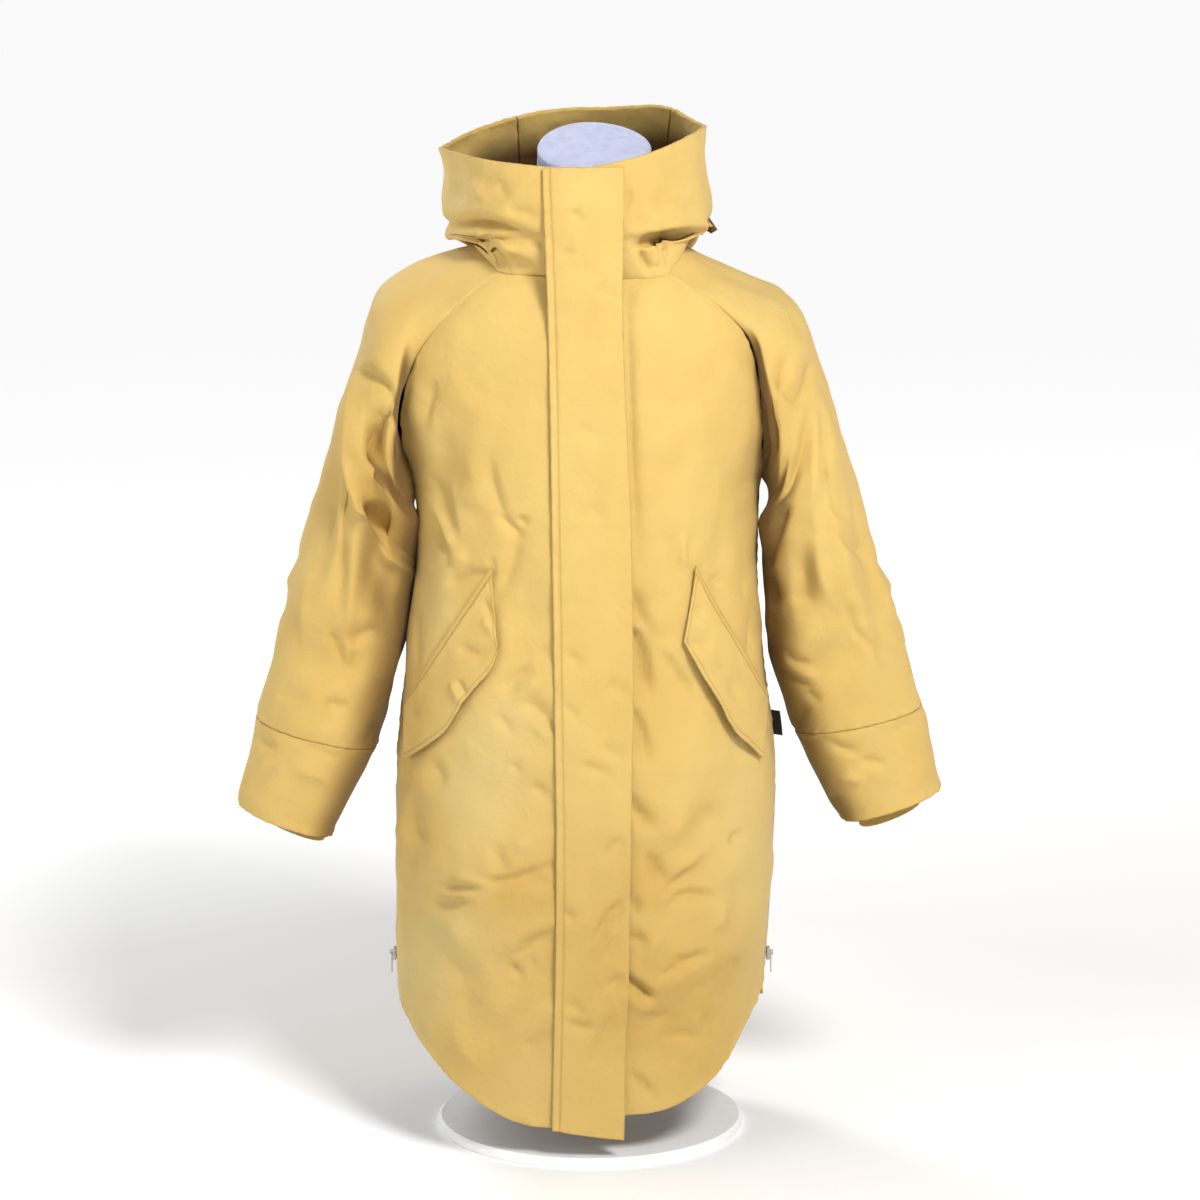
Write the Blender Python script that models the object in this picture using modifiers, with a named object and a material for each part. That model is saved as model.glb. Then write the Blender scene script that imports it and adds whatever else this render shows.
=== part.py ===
"""A padded winter jacket with a hood, standing on a limbless dress form.

Metres, +Z up. The front faces -Y, and "right" and "left" are the wearer's, so right is -X.
The origin is the middle of the underside of the dress form's foot.

The cloth is a wall: each panel is a stretch of one outer surface, and its inside is that
surface moved in along its normal. The torso is worked out from BODY and the shoulder lines,
a sleeve from its rings, and the hood from HOOD. Panels part at seams by SEAM_GAP.
"""

import math
from collections import namedtuple

import bmesh
import bpy
import numpy as np
from mathutils import Matrix, Vector

# ---------------------------------------------------------------- driving dimensions
CLOTH = 0.005  # shell, padding and lining together
HOOD_CLOTH = 0.004
PLACKET_CLOTH = 0.0035
FLAP_CLOTH = 0.003
WELT_CLOTH = 0.002
SEWN_CLOTH = 0.0025  # what the padding thins to at a panel's edges
KNIT = 0.002
SEAM_GAP = 0.0003

YOKE_BASE = 0.760  # above this height the torso rounds over to the shoulders
YOKE_POWER = 3.0
SHOULDER_BLEND = 0.04
NECK_JOIN = (0.872, 0.918)  # the heights between which the storm flap passes from body to hood

Section = namedtuple("Section", "height right left front back power")
BODY = (
    Section(0.015, -0.196, 0.176, -0.160, 0.150, 2.4),
    Section(0.150, -0.202, 0.182, -0.164, 0.153, 2.4),
    Section(0.290, -0.201, 0.190, -0.165, 0.156, 2.4),
    Section(0.398, -0.201, 0.192, -0.163, 0.153, 2.4),
    Section(0.504, -0.189, 0.179, -0.159, 0.142, 2.4),
    Section(0.598, -0.175, 0.171, -0.155, 0.130, 2.3),
    Section(0.640, -0.173, 0.170, -0.153, 0.127, 2.3),
    Section(0.685, -0.184, 0.175, -0.151, 0.127, 2.3),
    Section(0.760, -0.208, 0.192, -0.148, 0.128, 2.3),
)

# The shoulder line's height at each distance from the centre. It goes on, unseen, to the
# centre, where the neck opening is cut out of it.
Shoulder = namedtuple("Shoulder", "reach right_height left_height")
SHOULDER = (
    Shoulder(0.000, 0.945, 0.945),
    Shoulder(0.050, 0.941, 0.939),
    Shoulder(0.090, 0.931, 0.924),
    Shoulder(0.118, 0.922, 0.910),
    Shoulder(0.150, 0.911, 0.896),
    Shoulder(0.192, 0.896, 0.877),
    Shoulder(0.215, 0.880, 0.862),
)

Corner = namedtuple("Corner", "name x y")
NECKLINE = (
    Corner("centre_front", 0.000, -0.125),
    Corner("right_front", -0.050, -0.121),
    Corner("right_raglan_front", -0.093, -0.104),
    Corner("right_corner", -0.108, -0.064),
    Corner("right_side", -0.110, -0.020),
    Corner("right_raglan_back", -0.091, 0.038),
    Corner("right_nape", -0.052, 0.071),
    Corner("centre_back", -0.003, 0.079),
    Corner("left_nape", 0.046, 0.071),
    Corner("left_raglan_back", 0.080, 0.038),
    Corner("left_side", 0.096, -0.020),
    Corner("left_corner", 0.094, -0.064),
    Corner("left_raglan_front", 0.080, -0.104),
    Corner("left_front", 0.045, -0.121),
)

# The raglan seams between the neckline and the armpit, seen from the front or the back.
SeamPoint = namedtuple("SeamPoint", "x height")
RAGLAN_FRONT = {
    "right": (
        SeamPoint(-0.118, 0.881),
        SeamPoint(-0.140, 0.857),
        SeamPoint(-0.165, 0.827),
        SeamPoint(-0.182, 0.790),
        SeamPoint(-0.190, 0.757),
        SeamPoint(-0.190, 0.728),
        SeamPoint(-0.187, 0.702),
    ),
    "left": (
        SeamPoint(0.106, 0.883),
        SeamPoint(0.132, 0.862),
        SeamPoint(0.154, 0.838),
        SeamPoint(0.166, 0.806),
        SeamPoint(0.171, 0.768),
        SeamPoint(0.174, 0.735),
        SeamPoint(0.175, 0.706),
    ),
}
RAGLAN_BACK = {
    "right": (
        SeamPoint(-0.116, 0.908),
        SeamPoint(-0.143, 0.880),
        SeamPoint(-0.166, 0.840),
        SeamPoint(-0.182, 0.798),
        SeamPoint(-0.190, 0.760),
        SeamPoint(-0.190, 0.728),
        SeamPoint(-0.187, 0.702),
    ),
    "left": (
        SeamPoint(0.106, 0.898),
        SeamPoint(0.132, 0.872),
        SeamPoint(0.154, 0.838),
        SeamPoint(0.167, 0.800),
        SeamPoint(0.173, 0.764),
        SeamPoint(0.175, 0.735),
        SeamPoint(0.175, 0.706),
    ),
}
ARMPIT_HEIGHT = {"right": 0.683, "left": 0.688}

# Each ring of a sleeve runs from a point on its outer edge to one on its inner edge, and
# reaches forward and back of the line between them.
Ring = namedtuple("Ring", "outer_x outer_height inner_x inner_height front back")
SLEEVE = {
    "right": (
        Ring(-0.190, 0.897, -0.1940, 0.669, -0.110, 0.100),
        Ring(-0.214, 0.877, -0.1945, 0.660, -0.106, 0.098),
        Ring(-0.230, 0.836, -0.1940, 0.652, -0.100, 0.094),
        Ring(-0.244, 0.792, -0.1925, 0.644, -0.096, 0.090),
        Ring(-0.261, 0.738, -0.1890, 0.632, -0.092, 0.086),
        Ring(-0.277, 0.688, -0.1850, 0.613, -0.088, 0.081),
        Ring(-0.292, 0.636, -0.1825, 0.586, -0.083, 0.076),
        Ring(-0.307, 0.585, -0.1850, 0.547, -0.080, 0.072),
        Ring(-0.322, 0.530, -0.1935, 0.501, -0.076, 0.068),
        Ring(-0.3345, 0.480, -0.2050, 0.452, -0.072, 0.063),
        Ring(-0.3450, 0.437, -0.2200, 0.404, -0.068, 0.058),
    ),
    "left": (
        Ring(0.172, 0.887, 0.1860, 0.673, -0.110, 0.100),
        Ring(0.200, 0.872, 0.1870, 0.665, -0.107, 0.098),
        Ring(0.215, 0.853, 0.1875, 0.658, -0.102, 0.095),
        Ring(0.231, 0.814, 0.1870, 0.650, -0.098, 0.091),
        Ring(0.248, 0.763, 0.1855, 0.641, -0.094, 0.087),
        Ring(0.264, 0.711, 0.1825, 0.627, -0.089, 0.082),
        Ring(0.281, 0.660, 0.1800, 0.603, -0.085, 0.077),
        Ring(0.296, 0.608, 0.1790, 0.567, -0.080, 0.072),
        Ring(0.312, 0.556, 0.1815, 0.522, -0.076, 0.068),
        Ring(0.327, 0.504, 0.1900, 0.476, -0.072, 0.063),
        Ring(0.3425, 0.449, 0.2110, 0.421, -0.068, 0.058),
    ),
}
CUFF = {
    "right": (
        Ring(-0.3450, 0.437, -0.2200, 0.404, -0.068, 0.058),
        Ring(-0.3555, 0.391, -0.2430, 0.358, -0.061, 0.050),
        Ring(-0.3655, 0.345, -0.2670, 0.309, -0.052, 0.041),
    ),
    "left": (
        Ring(0.3425, 0.449, 0.2110, 0.421, -0.068, 0.058),
        Ring(0.3540, 0.406, 0.2340, 0.376, -0.061, 0.050),
        Ring(0.3650, 0.361, 0.2610, 0.326, -0.052, 0.041),
    ),
}
KNIT_CUFF = {
    "right": (
        Ring(-0.3430, 0.356, -0.2690, 0.329, -0.0360, 0.0270),
        Ring(-0.3400, 0.330, -0.2760, 0.304, -0.0320, 0.0240),
    ),
    "left": (
        Ring(0.3440, 0.371, 0.2680, 0.345, -0.0360, 0.0270),
        Ring(0.3430, 0.344, 0.2800, 0.319, -0.0320, 0.0240),
    ),
}
SLEEVE_POWER = 2.2
KNIT_RIBS = 48
RIB_HEIGHT = 0.0010
KNIT_START = 0.62  # the share of the cuff's length at which the knit is sewn in
KNIT_SEAT = CLOTH + RIB_HEIGHT + 0.0004

# Rings of the hood above the neckline, from the roll that lies on the shoulders to the rim.
HoodRing = namedtuple(
    "HoodRing",
    "right left front back front_height right_height left_height back_height power",
)
HOOD = (
    HoodRing(-0.130, 0.106, -0.136, 0.116, 0.912, 0.9290, 0.931, 0.915, 2.5),
    HoodRing(-0.146, 0.122, -0.145, 0.154, 0.930, 0.928, 0.933, 0.868, 2.2),
    HoodRing(-0.151, 0.129, -0.149, 0.184, 0.950, 0.943, 0.941, 0.858, 2.1),
    HoodRing(-0.150, 0.125, -0.150, 0.202, 0.970, 0.968, 0.968, 0.908, 2.1),
    HoodRing(-0.147, 0.118, -0.147, 0.182, 0.988, 0.992, 1.003, 0.990, 2.0),
    HoodRing(-0.153, 0.118, -0.139, 0.136, 1.003, 1.018, 1.040, 1.057, 1.8),
)
HOOD_SEAM_TURN = {"right": 0.420, "left": 0.640}  # where the crown panel meets the rim
HOOD_LIFT = 0.0012

# Heights of the curved hem, over the distance from the centre.
Hem = namedtuple("Hem", "x front back")
HEM = (
    Hem(-0.205, 0.160, 0.142),
    Hem(-0.188, 0.132, 0.116),
    Hem(-0.156, 0.096, 0.088),
    Hem(-0.120, 0.068, 0.066),
    Hem(-0.075, 0.047, 0.051),
    Hem(-0.030, 0.042, 0.045),
    Hem(0.034, 0.055, 0.045),
    Hem(0.075, 0.058, 0.051),
    Hem(0.104, 0.068, 0.066),
    Hem(0.138, 0.094, 0.088),
    Hem(0.168, 0.140, 0.122),
    Hem(0.190, 0.170, 0.146),
)

HEM_LEVEL = 0.150  # the height whose ring gives the hem its width

ZIP_X = -0.002  # the middle of the front opening
ZIP_WIDTH = 0.010
PlacketEdge = namedtuple("PlacketEdge", "height sewn free")
PLACKET = (
    PlacketEdge(0.031, -0.038, 0.034),
    PlacketEdge(0.300, -0.033, 0.040),
    PlacketEdge(0.520, -0.035, 0.043),
    PlacketEdge(0.600, -0.036, 0.042),
    PlacketEdge(0.880, -0.041, 0.032),
    PlacketEdge(1.010, -0.045, 0.032),
)
PLACKET_BOTTOM = {"sewn": 0.041, "free": 0.031}
PLACKET_TOP, PLACKET_CLEAR, SEWN_CLEAR = 1.000, 0.0024, 0.0013
SEWN_STRIP = 4.0  # the part of the placket's width, as one in so many, that lies down to its seam
JOIN_SOFTNESS = 0.0015
ZIP_FOOT, ZIP_TOP, ZIP_DEPTH, ZIP_INSET = 0.060, 0.985, 0.0022, 0.0006

# A flap's corners, seen from the front: it is sewn on from top to outer, and hangs from there.
FlapCorner = namedtuple("FlapCorner", "x height")
FLAP = {
    "right": {
        "top": FlapCorner(-0.096, 0.603),
        "outer": FlapCorner(-0.186, 0.458),
        "tip": FlapCorner(-0.184, 0.406),
        "inner": FlapCorner(-0.089, 0.527),
    },
    "left": {
        "top": FlapCorner(0.104, 0.604),
        "outer": FlapCorner(0.1795, 0.462),
        "tip": FlapCorner(0.170, 0.409),
        "inner": FlapCorner(0.092, 0.537),
    },
}
FLAP_LIFT = 0.004  # how far the free edge stands off the panel
FLAP_BOW = {"right": 0.004, "left": 0.007}  # and how much more its middle does
FLAP_CLEAR = 0.0008
WELT_SHARE = 0.11  # the welt's width, as a share of the flap's
FLAP_START = 0.03  # the flap starts this share of its width below the welt

VENT_TOP = 0.167  # the side seams are open below this, and zipped above it
VENT_ZIP_TOP = 0.365
VENT_ZIP_WIDTH = 0.006
LABEL_HEIGHT, LABEL_REACH, LABEL_THICKNESS, LABEL_FOOT = 0.026, 0.010, 0.0010, 0.416
LABEL_STANDOFF, LABEL_SHIFT, LABEL_OUT = 0.0012, 0.004, 1.2

# A fold is a soft ridge, or a trough where its depth is below zero, on one named surface.
# Its place and half sizes are in that surface's own coordinates: metres across and up on the
# body, turns around and share of the length along a sleeve or the hood.
Fold = namedtuple("Fold", "surface across along half_across half_along lean depth")
FOLDS = (
    Fold("front", -0.140, 0.690, 0.022, 0.075, -0.14, -0.008),
    Fold("front", -0.146, 0.585, 0.026, 0.070, 0.45, 0.007),
    Fold("front", -0.110, 0.650, 0.024, 0.060, 0.40, -0.006),
    Fold("front", -0.070, 0.560, 0.022, 0.055, -0.15, -0.006),
    Fold("front", 0.068, 0.555, 0.024, 0.085, -0.10, -0.008),
    Fold("front", 0.066, 0.420, 0.022, 0.065, 0.12, -0.007),
    Fold("front", 0.075, 0.135, 0.036, 0.030, 0.80, -0.010),
    Fold("front", 0.075, 0.200, 0.050, 0.026, 0.60, 0.007),
    Fold("front", -0.120, 0.290, 0.048, 0.055, 0.00, 0.008),
    Fold("front", -0.085, 0.370, 0.045, 0.026, -0.60, -0.007),
    Fold("front", -0.090, 0.170, 0.050, 0.028, 0.50, -0.006),
    Fold("front", 0.120, 0.250, 0.050, 0.045, 0.00, 0.007),
    Fold("front", 0.126, 0.345, 0.026, 0.080, 0.25, -0.006),
    Fold("front", 0.140, 0.640, 0.024, 0.080, 0.10, -0.007),
    Fold("back", -0.110, 0.630, 0.026, 0.085, 0.25, -0.008),
    Fold("back", 0.105, 0.620, 0.026, 0.090, -0.22, -0.008),
    Fold("back", -0.020, 0.570, 0.080, 0.026, 0.10, -0.006),
    Fold("back", 0.030, 0.480, 0.085, 0.028, -0.12, 0.007),
    Fold("back", -0.060, 0.280, 0.030, 0.105, 0.08, 0.008),
    Fold("back", 0.070, 0.250, 0.030, 0.100, -0.10, -0.008),
    Fold("right_sleeve", 0.270, 0.340, 0.090, 0.045, -0.25, 0.013),
    Fold("right_sleeve", 0.300, 0.430, 0.050, 0.090, 0.05, -0.013),
    Fold("right_sleeve", 0.220, 0.520, 0.050, 0.130, 0.06, 0.011),
    Fold("right_sleeve", 0.130, 0.500, 0.050, 0.120, 0.04, -0.010),
    Fold("right_sleeve", 0.340, 0.600, 0.070, 0.050, 0.35, -0.010),
    Fold("right_sleeve", 0.250, 0.800, 0.080, 0.045, -0.20, -0.007),
    Fold("right_sleeve", 0.720, 0.450, 0.050, 0.120, 0.05, -0.009),
    Fold("right_sleeve", 0.820, 0.650, 0.050, 0.100, -0.05, 0.008),
    Fold("left_sleeve", 0.270, 0.330, 0.090, 0.045, -0.30, -0.011),
    Fold("left_sleeve", 0.170, 0.370, 0.050, 0.060, 0.20, 0.009),
    Fold("left_sleeve", 0.200, 0.560, 0.045, 0.160, 0.00, 0.010),
    Fold("left_sleeve", 0.310, 0.600, 0.050, 0.080, -0.15, -0.010),
    Fold("left_sleeve", 0.110, 0.620, 0.045, 0.110, 0.08, -0.009),
    Fold("left_sleeve", 0.300, 0.810, 0.070, 0.045, 0.20, -0.007),
    Fold("left_sleeve", 0.720, 0.470, 0.050, 0.120, -0.05, -0.009),
    Fold("left_sleeve", 0.820, 0.640, 0.050, 0.100, 0.05, 0.008),
    Fold("hood", 0.130, 0.340, 0.085, 0.075, 0.25, -0.011),
    Fold("hood", 0.870, 0.360, 0.070, 0.075, -0.25, -0.009),
    Fold("hood", 0.330, 0.550, 0.045, 0.200, 0.00, -0.009),
    Fold("hood", 0.520, 0.600, 0.045, 0.200, 0.00, 0.008),
    Fold("hood", 0.720, 0.480, 0.045, 0.180, 0.00, -0.009),
)

# The dress form: a torso and neck in one, with rings that lean forward towards the cap.
FormRing = namedtuple("FormRing", "height right left front back lean power")
FORM = (
    FormRing(0.400, -0.150, 0.138, -0.100, 0.102, 0.0, 2.2),
    FormRing(0.412, -0.158, 0.146, -0.108, 0.110, 0.0, 2.2),
    FormRing(0.450, -0.160, 0.148, -0.110, 0.114, 0.0, 2.2),
    FormRing(0.500, -0.152, 0.142, -0.106, 0.108, 0.0, 2.2),
    FormRing(0.560, -0.132, 0.124, -0.096, 0.092, 0.0, 2.2),
    FormRing(0.610, -0.122, 0.114, -0.092, 0.084, 0.0, 2.2),
    FormRing(0.660, -0.130, 0.121, -0.098, 0.086, 0.0, 2.2),
    FormRing(0.720, -0.146, 0.134, -0.110, 0.092, 0.0, 2.2),
    FormRing(0.770, -0.156, 0.142, -0.112, 0.096, 0.0, 2.2),
    FormRing(0.820, -0.162, 0.146, -0.100, 0.094, 0.0, 2.2),
    FormRing(0.860, -0.163, 0.144, -0.086, 0.086, 0.0, 2.1),
    FormRing(0.8915, -0.156, 0.1325, -0.074, 0.078, 0.0, 2.0),
    FormRing(0.9075, -0.140, 0.1125, -0.064, 0.068, 0.0, 2.0),
    FormRing(0.9200, -0.108, 0.0860, -0.058, 0.062, 0.0, 2.0),
    FormRing(0.930, -0.080, 0.068, -0.056, 0.058, 4.0, 2.0),
    FormRing(0.945, -0.062, 0.060, -0.058, 0.056, 10.0, 2.0),
    FormRing(0.975, -0.054, 0.060, -0.062, 0.054, 16.0, 2.0),
    FormRing(1.010, -0.053, 0.062, -0.064, 0.052, 21.0, 2.0),
)
CAP_HEIGHT = 0.014
CapRing = namedtuple("CapRing", "share rise")  # the share of the neck's width and of the cap's height
CAP = (
    CapRing(0.97, 0.00),
    CapRing(1.00, 0.25),
    CapRing(1.00, 0.65),
    CapRing(0.96, 0.88),
    CapRing(0.86, 1.00),
    CapRing(0.45, 1.18),
)
TurnedPoint = namedtuple("TurnedPoint", "radius height")
FOOT = (
    TurnedPoint(0.000, 0.045),
    TurnedPoint(0.024, 0.045),
    TurnedPoint(0.030, 0.034),
    TurnedPoint(0.030, 0.011),
    TurnedPoint(0.157, 0.010),
    TurnedPoint(0.160, 0.007),
    TurnedPoint(0.160, 0.001),
    TurnedPoint(0.159, 0.000),
    TurnedPoint(0.000, 0.000),
)
POLE_RADIUS = 0.016

# A side zip's slider, its bridge, and the pull tab whose top bar turns inside the bridge.
SLIDER_HEIGHT, SLIDER_STANDOFF = 0.182, 0.0006
SLIDER_LENGTH, SLIDER_WIDTH, SLIDER_DEPTH, SLIDER_ROUND = 0.013, 0.009, 0.0035, 0.0006
BRIDGE_WIDTH, BRIDGE_BAR, BRIDGE_WINDOW, BRIDGE_LENGTH, BRIDGE_Z = 0.0022, 0.0010, 0.0026, 0.0030, 0.001
HINGE_OUT = SLIDER_STANDOFF + SLIDER_DEPTH + BRIDGE_WINDOW / 2
TAB_LENGTH, TAB_WIDTH, TAB_THICKNESS, TAB_BAR = 0.022, 0.0065, 0.0012, 0.0012
TAB_EYE_WIDTH, TAB_EYE_LENGTH, TAB_ROUND, TAB_EYE_ROUND = 0.0034, 0.0036, 0.0009, 0.0005

# ---------------------------------------------------------------- mesh fineness
FRONT_COLUMNS, BACK_COLUMNS = 11, 16
ZIP_ROWS, SIDE_ROWS, RAGLAN_ROWS = 5, 8, 7
SLEEVE_SIDES, SLEEVE_ROWS, CUFF_ROWS, KNIT_ROWS = 20, 17, 2, 2
NECK_TURN = 0.15  # the share of a sleeve's top edge, each way, that lies on the neckline
HOOD_ROWS, YOKE_COLUMNS, NAPE_COLUMNS, CROWN_COLUMNS = 12, 6, 4, 8
PLACKET_COLUMNS, PLACKET_ROWS, PLACKET_HOOD_ROWS, ZIP_STEPS, VENT_STEPS = 4, 24, 8, 30, 6
FLAP_COLUMNS, FLAP_ROWS = 8, 4
FORM_SIDES, TURN_STEPS = 28, 40
ARMHOLE_WARP, WARPED_RINGS = 0.06, 6
FOLD_FADE, END_FADE = 0.030, 0.10  # folds die out towards seams, in metres or shares
SHARED_SEAM = 0.3  # walls whose directions differ less than this cosine share one seam face
STEP = 1e-4  # the step used to measure a slope
SHARP_ANGLE = 40  # edges that turn more degrees than this are shaded sharp
MERGE = 0.00001  # points nearer than this on a turned solid's axis are one
FACING_PLACE = 0.6  # where a ringed surface is asked which way is out
INSIDE = Vector((0.0, 0.0, 0.55))

SIGN = {"right": -1.0, "left": 1.0}
TURNED = ("right_sleeve", "left_sleeve", "hood")

Paint = namedtuple("Paint", "colour roughness metallic")
CLOTH_PAINT = Paint((0.80, 0.56, 0.18, 1.0), 0.85, 0.0)
KNIT_PAINT = Paint((0.66, 0.44, 0.15, 1.0), 0.95, 0.0)
ZIP_PAINT = Paint((0.55, 0.38, 0.13, 1.0), 0.70, 0.0)
TAB_PAINT = Paint((0.02, 0.02, 0.02, 1.0), 0.80, 0.0)
FORM_PAINT = Paint((0.80, 0.82, 0.88, 1.0), 0.90, 0.0)
METAL_PAINT = Paint((0.45, 0.43, 0.40, 1.0), 0.35, 1.0)
STEEL_PAINT = Paint((0.72, 0.72, 0.72, 1.0), 0.40, 0.2)


# ---------------------------------------------------------------- curves
def through(knots, values):
    """A smooth function that passes through each value at its knot."""
    knots = np.asarray(knots, float)
    values = np.asarray(values, float)
    slopes = np.gradient(values, knots, axis=0)

    def at(t):
        t = float(np.clip(t, knots[0], knots[-1]))
        i = int(np.clip(np.searchsorted(knots, t, side="right") - 1, 0, len(knots) - 2))
        span = knots[i + 1] - knots[i]
        u = (t - knots[i]) / span
        start = values[i] * (1 + 2 * u) * (1 - u) ** 2 + slopes[i] * span * u * (1 - u) ** 2
        end = values[i + 1] * u * u * (3 - 2 * u) - slopes[i + 1] * span * u * u * (1 - u)
        return start + end

    return at


def column(rows, key, name):
    """A table's named column as a smooth function of its key column."""
    return through([getattr(r, key) for r in rows], [getattr(r, name) for r in rows])


def by_length(points):
    """A smooth curve through the points, as a function of the share of its length."""
    points = np.asarray(points, float)
    curve = through(np.arange(len(points)), points)
    fine = np.array([curve(t) for t in np.linspace(0, len(points) - 1, 16 * len(points))])
    run = np.concatenate([[0.0], np.cumsum(np.linalg.norm(np.diff(fine, axis=0), axis=1))])
    return lambda share: np.array([np.interp(share * run[-1], run, fine[:, k]) for k in range(3)])


def unit(v):
    return v / np.linalg.norm(v)


def bent(value, power):
    """A sine or cosine raised so that a circle becomes a superellipse."""
    return math.copysign(abs(value) ** (2.0 / power), value)


def clipped(value, low=0.0, high=1.0):
    return min(max(value, low), high)


def relief(surface, across, along):
    """How far the named surface's folds move this place out."""
    out = 0.0
    for fold in FOLDS:
        if fold.surface != surface:
            continue
        b = along - fold.along
        a = across - fold.across - fold.lean * b
        if surface in TURNED:
            a = (a + 0.5) % 1.0 - 0.5
        out += fold.depth * math.exp(-((a / fold.half_across) ** 2) - (b / fold.half_along) ** 2)
    return out


# ---------------------------------------------------------------- the torso
body_at = {name: column(BODY, "height", name) for name in Section._fields[1:]}
shoulder_at = {hand: column(SHOULDER, "reach", f"{hand}_height") for hand in SIGN}
hem_at = {side: column(HEM, "x", side) for side in ("front", "back")}


def shoulder_height(x):
    """The height of the shoulder line, blended from side to side near the centre."""
    left_share = clipped(0.5 + x / SHOULDER_BLEND)
    return (1 - left_share) * shoulder_at["right"](abs(x)) + left_share * shoulder_at["left"](abs(x))


def ring_middle(height):
    """The middle, half width and power of the torso's ring at this height."""
    height = min(height, YOKE_BASE)
    right, left = body_at["right"](height), body_at["left"](height)
    return (right + left) / 2, (left - right) / 2, body_at["power"](height)


def ring_depth(x, height, side):
    """How far the torso's ring at this height reaches in front or behind at this x."""
    height = min(height, YOKE_BASE)
    middle, half, power = ring_middle(height)
    share = clipped(abs(x - middle) / half)
    return abs(body_at[side](height)) * (1 - share**power) ** (1 / power)


def torso_y(x, height, side):
    """The torso's y at this place on its front or back."""
    depth = ring_depth(x, height, side)
    if height > YOKE_BASE:
        rise = (height - YOKE_BASE) / (shoulder_height(x) - YOKE_BASE)
        depth *= max(1 - rise**YOKE_POWER, 0.0) ** (1 / YOKE_POWER)
    return -depth if side == "front" else depth


def yoke_height(x, y):
    """The height of the torso's rounded top over a point of the plan."""
    share = clipped(abs(y) / ring_depth(x, YOKE_BASE, "front" if y < 0 else "back"))
    return YOKE_BASE + (shoulder_height(x) - YOKE_BASE) * (1 - share**YOKE_POWER) ** (1 / YOKE_POWER)


def torso_level(x, y, height):
    """Below zero inside the torso and above zero outside it."""
    side = "front" if y < 0 else "back"
    if height > YOKE_BASE:
        rise = (height - YOKE_BASE) / (shoulder_height(x) - YOKE_BASE)
        depth = max(ring_depth(x, YOKE_BASE, side), STEP)
        return (abs(y) / depth) ** YOKE_POWER + rise**YOKE_POWER - 1
    middle, half, power = ring_middle(height)
    return (abs(x - middle) / half) ** power + (abs(y) / abs(body_at[side](height))) ** power - 1


def torso_normal(point):
    """The outward direction of the torso's surface at a point on it."""
    slope = np.zeros(3)
    for axis in range(3):
        step = np.eye(3)[axis] * STEP
        slope[axis] = torso_level(*(point + step)) - torso_level(*(point - step))
    return unit(slope)


def torso_at(angle, height, side):
    """A torso point, at an angle from its centre front or back towards the left."""
    middle, half, power = ring_middle(height)
    x = middle + half * bent(math.sin(angle), power)
    return np.array([x, torso_y(x, height, side), height])


def angle_of(x, height):
    """The angle at which the torso's ring at this height has this x."""
    middle, half, power = ring_middle(height)
    share = clipped((x - middle) / half, -1.0, 1.0)
    return math.asin(math.copysign(abs(share) ** (power / 2), share))


def creased(point):
    """A torso point moved out by the folds, which die out at the side seams, and its normal."""
    normal = torso_normal(point)
    surface = "front" if point[1] < 0 else "back"
    fade = clipped(abs(point[1]) / FOLD_FADE)
    return point + normal * relief(surface, point[0], point[2]) * fade, normal


# ---------------------------------------------------------------- the neckline and raglan seams
neck_names = [corner.name for corner in NECKLINE]
neck_turns = range(-3, len(NECKLINE) + 4)
neck_plan = through(neck_turns, [NECKLINE[i % len(NECKLINE)][1:] for i in neck_turns])


def neckline_at(place):
    """A point of the neckline, by its place in the table."""
    x, y = neck_plan(place % len(NECKLINE))
    return np.array([x, y, yoke_height(x, y)])


def neck_place(name):
    """A corner's place in the table, with the left ones counted up to the centre front."""
    return float(neck_names.index(name))


def neck_places(start, end, steps):
    return list(np.linspace(start, end, steps + 1))


ZIP_PLACE = {
    "right": (ZIP_WIDTH / 2 - ZIP_X) / abs(NECKLINE[1].x),
    "left": len(NECKLINE) - (ZIP_WIDTH / 2 + ZIP_X) / abs(NECKLINE[-1].x),
}


def armpit(hand):
    height = ARMPIT_HEIGHT[hand]
    return np.array([body_at[hand](height), 0.0, height])


def raglan(hand, side):
    """A raglan seam from the neckline down to the armpit, by the share of its length."""
    table = RAGLAN_FRONT if side == "front" else RAGLAN_BACK
    top = neckline_at(neck_place(f"{hand}_raglan_{side}"))
    between = [np.array([p.x, torso_y(p.x, p.height, side), p.height]) for p in table[hand]]
    seam = by_length([top, *between, armpit(hand)])

    def at(share):
        x, _, height = seam(share)
        return np.array([x, torso_y(x, height, side), height])

    return at


raglan_at = {(hand, side): raglan(hand, side) for hand in SIGN for side in ("front", "back")}


# ---------------------------------------------------------------- sleeves and the hood
def ring_point(ring, turn, warp=0.0):
    """A point of a sleeve ring. It turns from the outer edge by the front to the inner edge.

    A warp draws its points towards the outer edge, to meet those of the armhole.
    """
    turn -= warp * math.sin(turn * math.tau)
    power = SLEEVE_POWER
    outer = np.array([ring.outer_x, 0.0, ring.outer_height])
    inner = np.array([ring.inner_x, 0.0, ring.inner_height])
    across, forward = math.cos(turn * math.tau), math.sin(turn * math.tau)
    point = (outer + inner) / 2 + (outer - inner) / 2 * bent(across, power)
    point[1] = abs(bent(forward, power)) * (ring.front if forward > 0 else ring.back)
    return point


def raglan_share(step_share):
    """How far down a raglan seam a step lies: the steps shorten towards the armpit."""
    return (step_share + math.sin(step_share * math.pi / 2)) / 2


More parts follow.
